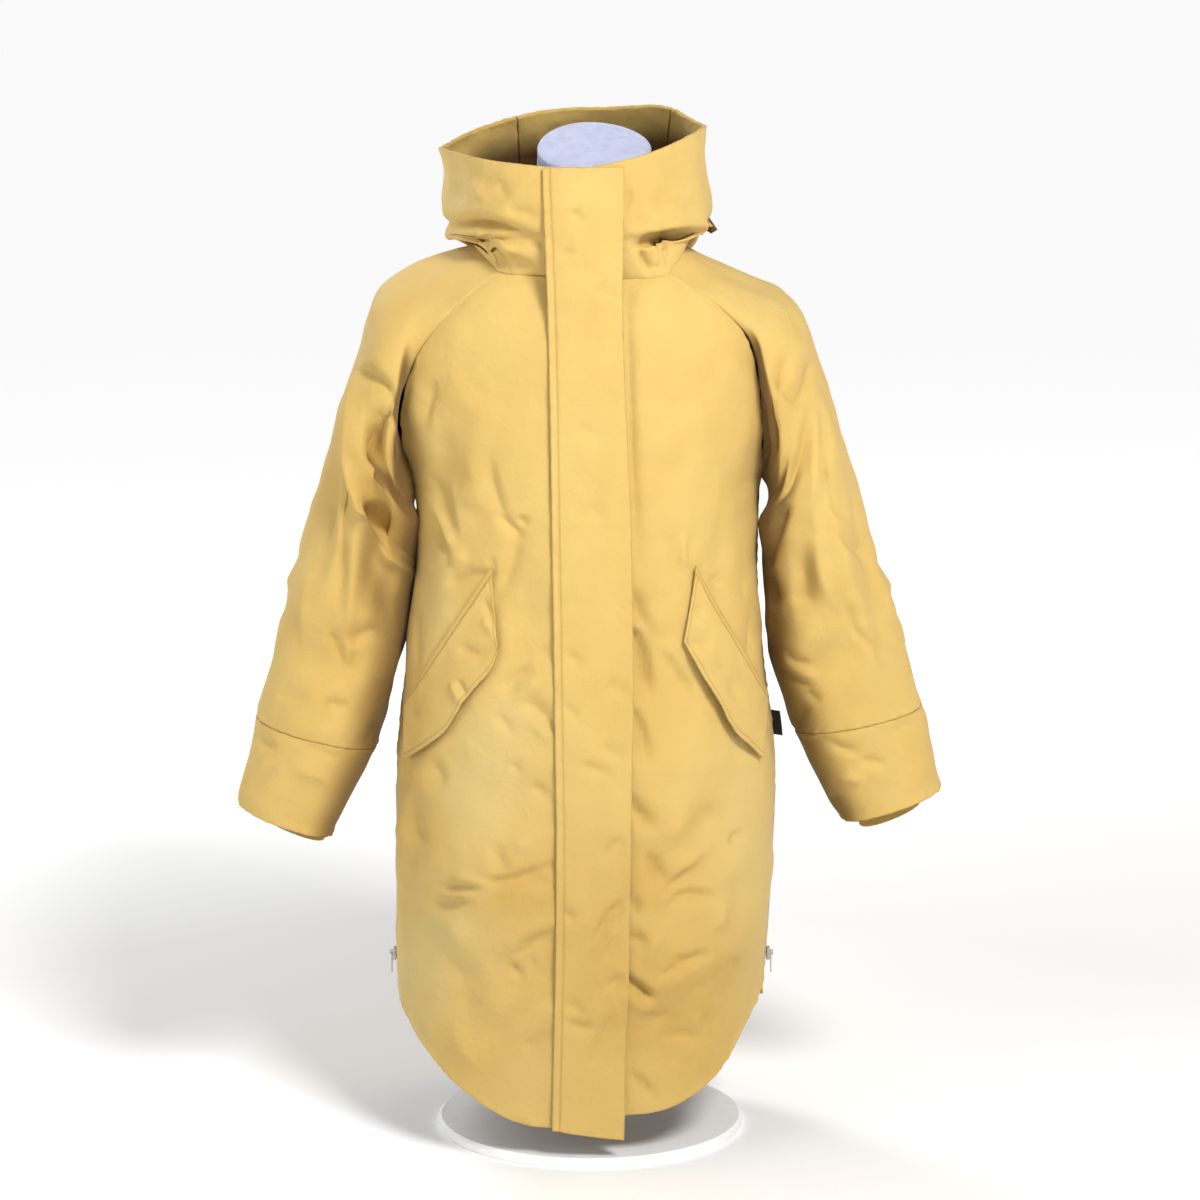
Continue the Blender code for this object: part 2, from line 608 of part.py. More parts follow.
def armhole_point(hand, turn):
    """A point of the sleeve's top edge: the neckline, then the two raglan seams."""
    turn = turn % 1.0
    if turn <= NECK_TURN or turn >= 1 - NECK_TURN:
        signed = turn if turn < 0.5 else turn - 1
        front, back = neck_place(f"{hand}_raglan_front"), neck_place(f"{hand}_raglan_back")
        return neckline_at((front + back) / 2 + signed / NECK_TURN * (front - back) / 2)
    side = "front" if turn <= 0.5 else "back"
    folded = turn if turn <= 0.5 else 1 - turn
    return raglan_at[hand, side](raglan_share((folded - NECK_TURN) / (0.5 - NECK_TURN)))


def surface_normal(surface, turn, along):
    """The direction out of a ringed surface."""
    low, high = max(along - STEP, 0.0), min(along + STEP, 1.0)
    around = surface(turn + STEP, along) - surface(turn - STEP, along)
    down = surface(turn, high) - surface(turn, low)
    return unit(np.cross(around, down)) * surface.facing


def surface_through(rings, knots=None):
    """A surface at (turn, share of the way along) through rings, each a function of the turn."""
    knots = np.linspace(0, 1, len(rings)) if knots is None else knots
    curves = {}

    def at(turn, along):
        key = round(turn % 1.0, 9)
        if key not in curves:
            curves[key] = through(knots, [ring(key) for ring in rings])
        return curves[key](along)

    at.facing = 1.0
    middle = sum(at(turn, FACING_PLACE) for turn in (0, 0.25, 0.5, 0.75)) / 4
    if surface_normal(at, 0.25, FACING_PLACE) @ (at(0.25, FACING_PLACE) - middle) < 0:
        at.facing = -1.0
    return at


def sleeve_surface(hand):
    tail = []
    for k, ring in enumerate(SLEEVE[hand]):
        warp = ARMHOLE_WARP * max(1 - k / WARPED_RINGS, 0.0)
        tail.append(lambda turn, ring=ring, warp=warp: ring_point(ring, turn, warp))
    rings = [lambda turn: armhole_point(hand, turn), *tail]
    middles = [sum(ring(t) for t in (0, 0.25, 0.5, 0.75)) / 4 for ring in rings]
    run = np.cumsum([0.0] + [np.linalg.norm(b - a) for a, b in zip(middles, middles[1:])])
    return surface_through(rings, run / run[-1])


def cuff_surface(hand):
    return surface_through([lambda t, r=r: ring_point(r, t) for r in CUFF[hand]])


def hood_ring_point(ring, turn):
    """A point of a hood ring. It turns from the centre front by the right to the back."""
    forward, aside = math.cos(turn * math.tau), math.sin(turn * math.tau)
    x = (ring.right + ring.left) / 2 + (ring.right - ring.left) / 2 * bent(aside, ring.power)
    y = (ring.front + ring.back) / 2 + (ring.front - ring.back) / 2 * bent(forward, ring.power)
    end = ring.front_height if forward > 0 else ring.back_height
    edge = ring.right_height if aside > 0 else ring.left_height
    return np.array([x, y, end * forward**2 + edge * aside**2])


def hood_root_point(turn):
    """The hood's lower edge, which stands just clear of the neckline."""
    point = neckline_at(turn * len(NECKLINE))
    return point + torso_normal(point) * HOOD_LIFT


hood_base = surface_through([hood_root_point, *(lambda t, r=r: hood_ring_point(r, t) for r in HOOD)])


def folded(surface, name, turn, along):
    """A ringed surface's point, moved out by its folds, and its normal."""
    normal = surface_normal(surface, turn, along)
    fade = clipped(along / END_FADE) * clipped((1 - along) / END_FADE)
    if name == "hood":
        fade = clipped(along / END_FADE)
    return surface(turn, along) + normal * relief(name, turn % 1.0, along) * fade, normal


def hood_turn(x, along):
    """The turn, near the centre front, at which the hood has this x."""
    low, high = -0.13, 0.13
    for _ in range(30):
        turn = (low + high) / 2
        if hood_base(turn, along)[0] > x:
            low = turn
        else:
            high = turn
    return turn


front_run = np.linspace(0, 1, 60)
front_rise = [hood_base(0.0, along)[2] for along in front_run]


def hood_along(x, height):
    """How far up the hood's front this height is at this x."""
    along = float(np.interp(height, front_rise, front_run))
    for _ in range(3):
        rise = hood_base(hood_turn(x, along), along)[2] - hood_base(0.0, along)[2]
        along = float(np.interp(height - rise, front_rise, front_run))
    return along


def front_at(x, height):
    """The jacket's front surface here, from the hem up to the hood's rim, and its normal."""
    below = min(height, NECK_JOIN[1])
    body, body_normal = creased(np.array([x, torso_y(x, below, "front"), below]))
    if height < NECK_JOIN[0]:
        return body, body_normal
    along = hood_along(x, height)
    hood, hood_normal = folded(hood_base, "hood", hood_turn(x, along), along)
    hood_share = 1 / (1 + math.exp((hood[1] - body[1]) / JOIN_SOFTNESS))
    y = min(body[1], hood[1]) + JOIN_SOFTNESS * math.log(max(hood_share, 1 - hood_share))
    normal = unit((1 - hood_share) * body_normal + hood_share * hood_normal)
    return np.array([x, y, height]), normal


# ---------------------------------------------------------------- solids from points
def clear_scene():
    for obj in list(bpy.data.objects):
        bpy.data.objects.remove(obj)


def new_collection(name):
    made = bpy.data.collections.new(name)
    bpy.context.scene.collection.children.link(made)
    return made


def give_paint(data, name, paint):
    """A material of its own for a mesh or a curve."""
    material = bpy.data.materials.new(name)
    material.use_nodes = True
    shader = material.node_tree.nodes["Principled BSDF"]
    shader.inputs["Base Color"].default_value = paint.colour
    shader.inputs["Roughness"].default_value = paint.roughness
    shader.inputs["Metallic"].default_value = paint.metallic
    data.materials.append(material)


def finish(name, mesh, paint, matrix=None):
    """A part of the object in its own material, shaded smooth."""
    give_paint(mesh, name, paint)
    if isinstance(mesh, bpy.types.Mesh):
        mesh.shade_smooth()
        mesh.set_sharp_from_angle(angle=math.radians(SHARP_ANGLE))
    obj = bpy.data.objects.new(name, mesh)
    if matrix is not None:
        obj.matrix_world = matrix
    parts.objects.link(obj)
    return obj


def meshed(name, bm):
    bmesh.ops.recalc_face_normals(bm, faces=bm.faces)
    mesh = bpy.data.meshes.new(name)
    bm.to_mesh(mesh)
    bm.free()
    return mesh


def grid_faces(bm, rows, closed):
    """Faces between neighbouring rows of vertices."""
    columns = len(rows[0])
    for lower, upper in zip(rows, rows[1:]):
        for j in range(columns if closed else columns - 1):
            k = (j + 1) % columns
            bm.faces.new((lower[j], lower[k], upper[k], upper[j]))


def wall(name, outer, inner, paint, closed=False):
    """A closed wall between two grids of points. A closed grid's columns go all round."""
    bm = bmesh.new()
    skins = [[[bm.verts.new(point) for point in row] for row in grid] for grid in (outer, inner)]
    for skin in skins:
        grid_faces(bm, skin, closed)
    for out_loop, in_loop in zip(*(borders(skin, closed) for skin in skins)):
        pairs = list(zip(out_loop, in_loop))
        for (out_a, in_a), (out_b, in_b) in zip(pairs, pairs[1:] + pairs[:1]):
            bm.faces.new((out_a, out_b, in_b, in_a))
    return finish(name, meshed(name, bm), paint)


def borders(skin, closed):
    """The loops of vertices round a grid's free edges."""
    if closed:
        return [skin[0], skin[-1]]
    right = [row[-1] for row in skin[1:-1]]
    left = [row[0] for row in skin[1:-1]]
    return [[*skin[0], *right, *reversed(skin[-1]), *reversed(left)]]


def sheet(name, grid, thickness, paint):
    """An open sheet of points, given its thickness on its inner side."""
    bm = bmesh.new()
    grid_faces(bm, [[bm.verts.new(point) for point in row] for row in grid], closed=False)
    mesh = meshed(name, bm)
    if sum(face.normal @ (face.center - INSIDE) for face in mesh.polygons) < 0:
        mesh.flip_normals()
    obj = finish(name, mesh, paint)
    shell = obj.modifiers.new("Thickness", "SOLIDIFY")
    shell.thickness = thickness
    shell.offset = -1
    return obj


def lofted(name, rings, paint):
    """A solid through rings of points, closed flat at both ends."""
    bm = bmesh.new()
    rows = [[bm.verts.new(point) for point in ring] for ring in rings]
    grid_faces(bm, rows, closed=True)
    for ring in (rows[0], rows[-1]):
        bm.faces.new(ring)
    return finish(name, meshed(name, bm), paint)


def turned(name, profile, paint):
    """A solid turned round the Z axis. The profile runs down its outer side."""
    bm = bmesh.new()
    points = [bm.verts.new((radius, 0.0, height)) for radius, height in profile]
    for a, b in zip(points, points[1:]):
        bm.edges.new((a, b))
    mesh = bpy.data.meshes.new(name)
    bm.to_mesh(mesh)
    bm.free()
    obj = finish(name, mesh, paint)
    screw = obj.modifiers.new("Turn", "SCREW")
    screw.steps = screw.render_steps = TURN_STEPS
    screw.use_merge_vertices = True
    screw.merge_threshold = MERGE
    return obj


# ---------------------------------------------------------------- cloth grids
def pull_in(outer, inner, axis, end, distance):
    """Draws one border of a wall back along the surface, to leave a seam's gap."""
    border, beside = (0, 1) if end == "first" else (-1, -2)
    edge = (border,) if axis == 0 else (slice(None), border)
    near = (beside,) if axis == 0 else (slice(None), beside)
    step = outer[near] - outer[edge]
    length = np.linalg.norm(step, axis=1, keepdims=True)
    shift = step / length * np.broadcast_to(distance, (len(step),))[:, None]
    outer[edge] += shift
    inner[edge] += shift


def padding(rows, columns, thickness, closed):
    """The wall's thickness at each point: full inside the panel and thin at its sewn borders."""
    depth = np.full((rows, columns), thickness)
    depth[0] = depth[-1] = SEWN_CLOTH
    if not closed:
        depth[:, 0] = depth[:, -1] = SEWN_CLOTH
    return depth[..., None]


def coons(bottom, top, first, last, rise):
    """A patch of (angle, height) between four edges. The rows lie at the shares in rise."""
    u = np.linspace(0, 1, len(bottom))[None, :, None]
    v = np.asarray(rise)[:, None, None]
    across = (1 - u) * first[:, None] + u * last[:, None]
    along = (1 - v) * bottom[None] + v * top[None]
    corners = (1 - v) * ((1 - u) * bottom[0] + u * bottom[-1]) + v * ((1 - u) * top[0] + u * top[-1])
    return across + along - corners


def edge_heights(hand, side):
    """The heights of a side edge's points from the hem up to the armpit."""
    middle, half, _ = ring_middle(HEM_LEVEL)
    hem = hem_at[side](middle + SIGN[hand] * half)
    lower = np.linspace(hem, VENT_ZIP_TOP, ZIP_ROWS + 1)
    upper = np.linspace(VENT_ZIP_TOP, ARMPIT_HEIGHT[hand], SIDE_ROWS + 1)
    return np.concatenate([lower, upper[1:]])


def side_edge(hand, side):
    """A panel's outer edge, up its side seam and its raglan seam, as (angle, height)."""
    seam = [(SIGN[hand] * math.pi / 2, height) for height in edge_heights(hand, side)]
    for k in range(1, RAGLAN_ROWS + 1):
        x, _, height = raglan_at[hand, side](raglan_share(1 - k / RAGLAN_ROWS))
        seam.append((angle_of(x, height), height))
    return np.array(seam)


def hem_point(angle, side):
    """A hem point at this angle, as (angle, height)."""
    middle, half, power = ring_middle(HEM_LEVEL)
    return angle, hem_at[side](middle + half * bent(math.sin(angle), power))


def neck_edge(places):
    """A stretch of the neckline as (angle, height)."""
    points = [neckline_at(place) for place in places]
    return np.array([(angle_of(p[0], p[2]), p[2]) for p in points])


def panel(name, patch, side, opened):
    """A torso panel's wall over a patch of (angle, height). Its opened edges have a side zip."""
    shape = patch.shape[:2]
    points = np.array([[torso_at(a, h, side) for a, h in row] for row in patch])
    made = [[creased(point) for point in row] for row in points]
    moved = np.array([[point for point, _ in row] for row in made])
    normals = np.array([[normal for _, normal in row] for row in made])
    for end, name_of_end in ((0, "first"), (-1, "last")):
        if name_of_end in opened:
            reach = np.linalg.norm(points - points[:, [end]], axis=2)
            fade = np.clip(reach / FOLD_FADE, 0, 1)[..., None]
            moved = points + (moved - points) * fade
    inner = moved - normals * padding(*shape, CLOTH, closed=False)
    zipped = np.array([h < VENT_ZIP_TOP + STEP for h in patch[:, -1, 1]])
    gaps = np.where(zipped, VENT_ZIP_WIDTH / 2 + SEAM_GAP, SEAM_GAP)
    for end in ("first", "last"):
        pull_in(moved, inner, 1, end, gaps if end in opened else SEAM_GAP / 2)
    pull_in(moved, inner, 0, "last", SEAM_GAP / 2)
    wall(name, moved, inner, CLOTH_PAINT)


def front_panel(hand):
    side = side_edge(hand, "front")
    rise = (side[:, 1] - side[0, 1]) / (side[-1, 1] - side[0, 1])
    place = ZIP_PLACE[hand]
    corner = neck_place(f"{hand}_raglan_front")
    top = neck_edge(neck_places(place, corner, FRONT_COLUMNS))
    zip_edge = ZIP_X + SIGN[hand] * ZIP_WIDTH / 2
    foot = hem_at["front"](zip_edge)
    heights = foot + rise * (top[0, 1] - foot)
    first = np.array([(angle_of(zip_edge, h), h) for h in heights])
    first[-1] = top[0]
    angles = np.linspace(first[0, 0], side[0, 0], FRONT_COLUMNS + 1)
    bottom = np.array([hem_point(a, "front") for a in angles])
    first[0], side[0] = bottom[0], bottom[-1]
    panel(f"front_{hand}", coons(bottom, top, first, side, rise), "front", ("last",))


def back_panel():
    right, left = side_edge("right", "back"), side_edge("left", "back")
    rise = (right[:, 1] - right[0, 1]) / (right[-1, 1] - right[0, 1])
    places = neck_places(neck_place("right_raglan_back"), neck_place("left_raglan_back"), BACK_COLUMNS)
    top = neck_edge(places)
    angles = np.linspace(-math.pi / 2, math.pi / 2, BACK_COLUMNS + 1)
    bottom = np.array([hem_point(a, "back") for a in angles])
    right[0], left[0] = bottom[0], bottom[-1]
    panel("back", coons(bottom, top, right, left, rise), "back", ("first", "last"))


def ringed_grids(surface, name, turns, alongs):
    """The points and normals of a ringed surface at these turns and shares."""
    made = [[folded(surface, name, turn, along) for turn in turns] for along in alongs]
    points = np.array([[point for point, _ in row] for row in made])
    return points, np.array([[normal for _, normal in row] for row in made])


def sleeve(hand):
    turns = np.arange(SLEEVE_SIDES) / SLEEVE_SIDES
    alongs = np.concatenate([[0.0, 0.03], np.linspace(0.075, 1, SLEEVE_ROWS - 1)])
    outer, normals = ringed_grids(sleeve_surfaces[hand], f"{hand}_sleeve", turns, alongs)
    for j, point in enumerate(outer[0]):
        seam_normal = torso_normal(point)
        if seam_normal @ normals[0, j] > SHARED_SEAM:
            normals[0, j] = seam_normal
    inner = outer - normals * padding(*outer.shape[:2], CLOTH, closed=True)
    pull_in(outer, inner, 0, "first", SEAM_GAP)
    pull_in(outer, inner, 0, "last", SEAM_GAP / 2)
    wall(f"sleeve_{hand}", outer, inner, CLOTH_PAINT, closed=True)


def cuff(hand):
    turns = np.arange(SLEEVE_SIDES) / SLEEVE_SIDES
    alongs = np.linspace(0, 1, CUFF_ROWS + 1)
    outer, normals = ringed_grids(cuff_surfaces[hand], "cuff", turns, alongs)
    normals[0] = [surface_normal(sleeve_surfaces[hand], turn, 1.0) for turn in turns]
    inner = outer - normals * padding(*outer.shape[:2], CLOTH, closed=True)
    pull_in(outer, inner, 0, "first", SEAM_GAP / 2)
    wall(f"cuff_{hand}", outer, inner, CLOTH_PAINT, closed=True)


def knit_cuff(hand):
    """The ribbed cuff: it starts inside the cuff, and its ribs run along the arm."""
    cuff_at = cuff_surfaces[hand]

    def seated(along):
        return lambda turn: cuff_at(turn, along) - surface_normal(cuff_at, turn, along) * KNIT_SEAT

    rings = [seated(KNIT_START), *(lambda t, r=r: ring_point(r, t) for r in KNIT_CUFF[hand])]
    surface = surface_through(rings)
    turns = np.arange(2 * KNIT_RIBS) / (2 * KNIT_RIBS)
    plain, normals = ringed_grids(surface, "knit", turns, np.linspace(0, 1, KNIT_ROWS + 1))
    raised = np.where(np.arange(2 * KNIT_RIBS) % 2, RIB_HEIGHT, 0.0)[None, :, None]
    inner = plain - normals * KNIT
    wall(f"knit_cuff_{hand}", plain + normals * raised, inner, KNIT_PAINT, closed=True)


def seam_turn(hand, along):
    """Where the crown panel's seam runs, between the nape and the rim."""
    foot = neck_place(f"{hand}_nape") / len(NECKLINE)
    return foot + (HOOD_SEAM_TURN[hand] - foot) * along


def hood_panel(name, places, first_turn, last_turn):
    """A hood panel between two seams, each a function of the share of the way up."""
    shares = (np.array(places) - places[0]) / (places[-1] - places[0])
    rows = []
    for along in np.linspace(0, 1, HOOD_ROWS + 1):
        first, last = first_turn(along), last_turn(along)
        rows.append([folded(hood_base, "hood", first + s * (last - first), along) for s in shares])
    outer = np.array([[point for point, _ in row] for row in rows])
    normals = np.array([[normal for _, normal in row] for row in rows])
    inner = outer - normals * padding(*outer.shape[:2], HOOD_CLOTH, closed=False)
    for end in ("first", "last"):
        pull_in(outer, inner, 1, end, SEAM_GAP)
    wall(name, outer, inner, CLOTH_PAINT)


def hood():
    """The side panels share their neckline points with the fronts and the sleeves below."""
    for hand in SIGN:
        stops = [
            neck_places(ZIP_PLACE[hand], neck_place(f"{hand}_raglan_front"), FRONT_COLUMNS),
            neck_places(neck_place(f"{hand}_raglan_front"), neck_place(f"{hand}_raglan_back"), YOKE_COLUMNS),
            neck_places(neck_place(f"{hand}_raglan_back"), neck_place(f"{hand}_nape"), NAPE_COLUMNS),
        ]
        places = [*stops[0], *stops[1][1:], *stops[2][1:]]
        zip_edge = ZIP_X + SIGN[hand] * ZIP_WIDTH / 2
        zip_turn = (lambda along, x=zip_edge: hood_turn(x, along) % 1.0 if x > 0 else hood_turn(x, along))
        hood_panel(f"hood_{hand}", places, zip_turn, lambda along, h=hand: seam_turn(h, along))
    crown = neck_places(neck_place("right_nape"), neck_place("left_nape"), CROWN_COLUMNS)
    ends = [lambda along, h=hand: seam_turn(h, along) for hand in ("right", "left")]
    hood_panel("hood_centre", crown, *ends)


# ---------------------------------------------------------------- trims on the cloth
def strip(x_right, x_left, heights, columns, lift):
    """Points of a strip up the jacket's front, moved out by lift."""
    grid = []
    for share_up in heights:
        row = []
        for u in np.linspace(0, 1, columns + 1):
            height = (1 - u) * share_up[0] + u * share_up[1]
            x = (1 - u) * x_right(height) + u * x_left(height)
            point, normal = front_at(x, height)
            row.append(point + normal * lift(u))
        grid.append(row)
    return grid


def placket():
    """The storm flap over the front zip, from below the hem up to the hood's rim."""
    sewn, free = (column(PLACKET, "height", name) for name in ("sewn", "free"))
    sewn_run, free_run = (
        np.linspace(PLACKET_BOTTOM[name], NECK_JOIN[0], PLACKET_ROWS + 1) for name in ("sewn", "free")
    )
    top = np.linspace(NECK_JOIN[0], PLACKET_TOP, PLACKET_HOOD_ROWS + 1)[1:]
    heights = [*zip(sewn_run, free_run), *zip(top, top)]

    def lift(u):
        return PLACKET_CLOTH + SEWN_CLEAR + (PLACKET_CLEAR - SEWN_CLEAR) * clipped(SEWN_STRIP * u)

    grid = strip(sewn, free, heights, PLACKET_COLUMNS, lift)
    sheet("placket", grid, PLACKET_CLOTH, CLOTH_PAINT)


def front_zip():
    """The zip's tapes and chain, closed, in the gap between the two fronts."""
    reach = ZIP_WIDTH / 2 - 2 * SEAM_GAP
    heights = [(h, h) for h in np.linspace(ZIP_FOOT, ZIP_TOP, ZIP_STEPS + 1)]
    grid = strip(lambda h: ZIP_X - reach, lambda h: ZIP_X + reach, heights, 2, lambda u: -ZIP_INSET)
    sheet("front_zip", grid, ZIP_DEPTH, ZIP_PAINT)


def flap_grid(hand, rows, lifts):
    """Points over a pocket flap's outline, and over the strip above its sewn edge."""
    corner = {name: np.array(place) for name, place in FLAP[hand].items()}
    grid = []
    for v in rows:
        row = []
        for u in np.linspace(0, 1, FLAP_COLUMNS + 1):
            sewn = corner["top"] * (1 - u) + corner["outer"] * u
            free = corner["inner"] * (1 - u) + corner["tip"] * u
            x, height = sewn + (free - sewn) * v
            point, normal = creased(np.array([x, torso_y(x, height, "front"), height]))
            row.append(point + normal * lifts(u, v))
        grid.append(row)
    return grid


def pocket_flap(hand):
    bow = FLAP_BOW[hand]

    def lifts(u, v):
        return FLAP_CLEAR + FLAP_CLOTH + v * (FLAP_LIFT + bow * math.sin(math.pi * u))

    grid = flap_grid(hand, np.linspace(FLAP_START, 1, FLAP_ROWS + 1), lifts)
    sheet(f"pocket_flap_{hand}", grid, FLAP_CLOTH, CLOTH_PAINT)


def pocket_welt(hand):
    """The narrow strip stitched down along the flap's sewn edge."""
    grid = flap_grid(hand, [-WELT_SHARE, 0.0], lambda u, v: FLAP_CLEAR + WELT_CLOTH)
    sheet(f"pocket_welt_{hand}", grid, WELT_CLOTH, CLOTH_PAINT)


def side_zip(hand):
    """The zip that closes the side vent, between the front and the back."""
    angle = SIGN[hand] * math.pi / 2
    across = np.linspace(-VENT_ZIP_WIDTH / 2, VENT_ZIP_WIDTH / 2, 3)
    grid = []
    for height in np.linspace(VENT_TOP, VENT_ZIP_TOP - SEAM_GAP, VENT_STEPS + 1):
        edge = torso_at(angle, height, "front")
        edge -= torso_normal(edge) * ZIP_INSET
        grid.append([edge + np.array([0, y, 0]) for y in across])
    sheet(f"side_zip_{hand}", grid, ZIP_DEPTH, ZIP_PAINT)


def side_tab():
    """The plain woven tab in the left side seam."""
    out = unit(np.array([LABEL_OUT, -1.0, 0.0]))
    grid = []
    for height in (0, LABEL_HEIGHT):
        edge = torso_at(math.pi / 2, LABEL_FOOT + height, "front")
        base = np.array([edge[0] + LABEL_STANDOFF, -LABEL_SHIFT, edge[2]])
        grid.append([base, base + out * LABEL_REACH / 2, base + out * LABEL_REACH])
    sheet("side_tab", grid, LABEL_THICKNESS, TAB_PAINT)


# ---------------------------------------------------------------- zip sliders and pull tabs
def box(name, size, matrix, collection):
    """A box as a cutter or an added piece, in the slider's own frame."""
    bm = bmesh.new()
    bmesh.ops.create_cube(bm, size=1.0)
    bmesh.ops.scale(bm, vec=size, verts=bm.verts)
    mesh = bpy.data.meshes.new(name)
    bm.to_mesh(mesh)
    bm.free()
    obj = bpy.data.objects.new(name, mesh)
    obj.matrix_world = matrix
    collection.objects.link(obj)
    return obj


def slider_frame(hand):
    """The slider's frame: X out of the cloth, Y along the hinge, Z up the zip."""
    place = torso_at(SIGN[hand] * math.pi / 2, SLIDER_HEIGHT, "front")
    spin = 0.0 if hand == "left" else math.pi
    return Matrix.Translation(place) @ Matrix.Rotation(spin, 4, "Z")


def slider(hand):
    """The slider body and its bridge, with the window that the pull tab's bar lies in."""
    frame = slider_frame(hand)
    out = SLIDER_STANDOFF + SLIDER_DEPTH / 2
    body = box(f"slider_{hand}", (SLIDER_DEPTH, SLIDER_WIDTH, SLIDER_LENGTH),
               frame @ Matrix.Translation((out, 0, 0)), parts)
    face = SLIDER_STANDOFF + SLIDER_DEPTH
    rise = BRIDGE_WINDOW + BRIDGE_BAR
    length = BRIDGE_LENGTH + 2 * BRIDGE_BAR
    bridge = box(f"slider_bridge_{hand}", (rise + SLIDER_DEPTH / 2, BRIDGE_WIDTH, length),
                 frame @ Matrix.Translation((face + rise / 2 - SLIDER_DEPTH / 4, 0, BRIDGE_Z)), cutters)
    window = box(f"slider_window_{hand}", (BRIDGE_WINDOW, SLIDER_WIDTH * 2, BRIDGE_LENGTH),
                 frame @ Matrix.Translation((face + BRIDGE_WINDOW / 2, 0, BRIDGE_Z)), cutters)
    for tool in (bridge, window):
        tool.hide_render = True
        tool.display_type = "WIRE"
    bevel = body.modifiers.new("Soft corners", "BEVEL")
    bevel.width = SLIDER_ROUND
    bevel.segments = 2
    for tool, operation in ((bridge, "UNION"), (window, "DIFFERENCE")):
        cut = body.modifiers.new(operation.title(), "BOOLEAN")
        cut.operation = operation
        cut.object = tool
    give_paint(body.data, f"slider_{hand}", METAL_PAINT)


def rounded(half_width, low, high, radius, segments):
    """A rectangle with round corners, as a list of points."""
    right, left, top, bottom = half_width - radius, radius - half_width, high - radius, low + radius
    corners = ((right, top, 0), (left, top, 90), (left, bottom, 180), (right, bottom, 270))
    points = []
    for x, y, start in corners:
        for k in range(segments + 1):
            a = math.radians(start + 90 * k / segments)
            points.append((x + radius * math.cos(a), y + radius * math.sin(a)))
    return points


def pull_tab(hand):
    """The flat pull tab. It hangs from the slider's bridge and turns on its own top bar."""
    curve = bpy.data.curves.new(f"pull_tab_{hand}", "CURVE")
    curve.dimensions = "2D"
    curve.fill_mode = "BOTH"
    curve.extrude = TAB_THICKNESS / 2
    outline = rounded(TAB_WIDTH / 2, TAB_BAR / 2 - TAB_LENGTH, TAB_BAR / 2, TAB_ROUND, 4)
    window = rounded(TAB_EYE_WIDTH / 2, -TAB_BAR / 2 - TAB_EYE_LENGTH, -TAB_BAR / 2, TAB_EYE_ROUND, 1)
    for points in (outline, window):
        spline = curve.splines.new("POLY")
        spline.points.add(len(points) - 1)
        for point, (y, z) in zip(spline.points, points):
            point.co = (y, z, 0, 1)
        spline.use_cyclic_u = True
    hinge = slider_frame(hand) @ Matrix.Translation((HINGE_OUT, 0, BRIDGE_Z))
    stand = Matrix.Rotation(math.pi / 2, 4, "Z") @ Matrix.Rotation(math.pi / 2, 4, "X")
    finish(f"pull_tab_{hand}", curve, METAL_PAINT, hinge @ stand)


# ---------------------------------------------------------------- the dress form and its stand
def form_ring(ring):
    points = []
    for k in range(FORM_SIDES):
        angle = math.tau * k / FORM_SIDES
        x = (ring.right + ring.left) / 2 + (ring.left - ring.right) / 2 * bent(math.sin(angle), ring.power)
        y = (ring.front + ring.back) / 2 + (ring.front - ring.back) / 2 * bent(math.cos(angle), ring.power)
        points.append((x, y, ring.height + math.tan(math.radians(ring.lean)) * y))
    return points


def dress_form():
    lofted("form_torso", [form_ring(ring) for ring in FORM], FORM_PAINT)


def neck_cap():
    """The neck's flat cap, with a rounded rim and a slightly crowned top."""
    top = FORM[-1]
    middle_x, middle_y = (top.right + top.left) / 2, (top.front + top.back) / 2
    rings = []
    for share, rise in CAP:
        scaled = top._replace(
            right=middle_x + (top.right - middle_x) * share,
            left=middle_x + (top.left - middle_x) * share,
            front=middle_y + (top.front - middle_y) * share,
            back=middle_y + (top.back - middle_y) * share,
            height=top.height + SEAM_GAP + rise * CAP_HEIGHT,
        )
        rings.append(form_ring(scaled))
    lofted("form_neck_cap", rings, FORM_PAINT)


def stand():
    turned("stand_foot", FOOT, STEEL_PAINT)
    top, bottom = FORM[0].height - SEAM_GAP, FOOT[0].height + SEAM_GAP
    pole = ((0.0, top), (POLE_RADIUS, top), (POLE_RADIUS, bottom), (0.0, bottom))
    turned("stand_pole", pole, STEEL_PAINT)


def build():
    for hand in SIGN:
        front_panel(hand)
    back_panel()
    for hand in SIGN:
        sleeve(hand)
        cuff(hand)
        knit_cuff(hand)
    hood()
    placket()
    front_zip()
    for hand in SIGN:
        pocket_flap(hand)
        pocket_welt(hand)
        side_zip(hand)
        slider(hand)
        pull_tab(hand)
    side_tab()
    dress_form()
    neck_cap()
    stand()


clear_scene()
parts = new_collection("winter_jacket_on_dress_form")
cutters = new_collection("cutters")
sleeve_surfaces = {hand: sleeve_surface(hand) for hand in SIGN}
cuff_surfaces = {hand: cuff_surface(hand) for hand in SIGN}
build()
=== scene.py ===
"""The looks of a padded winter jacket on a limbless dress form.

Metres, +Z up. The front faces -Y, and "right" and "left" are the wearer's, so right is -X.

Each cloth piece is a thin closed shell on the form of its solid. The solids' sizes are
repeated here, worked out into the same panels, made finer, and then creased: STROKES
holds each crease as a stroke in a picture, front ones in the photograph's own pixels.
"""

import math
from collections import namedtuple

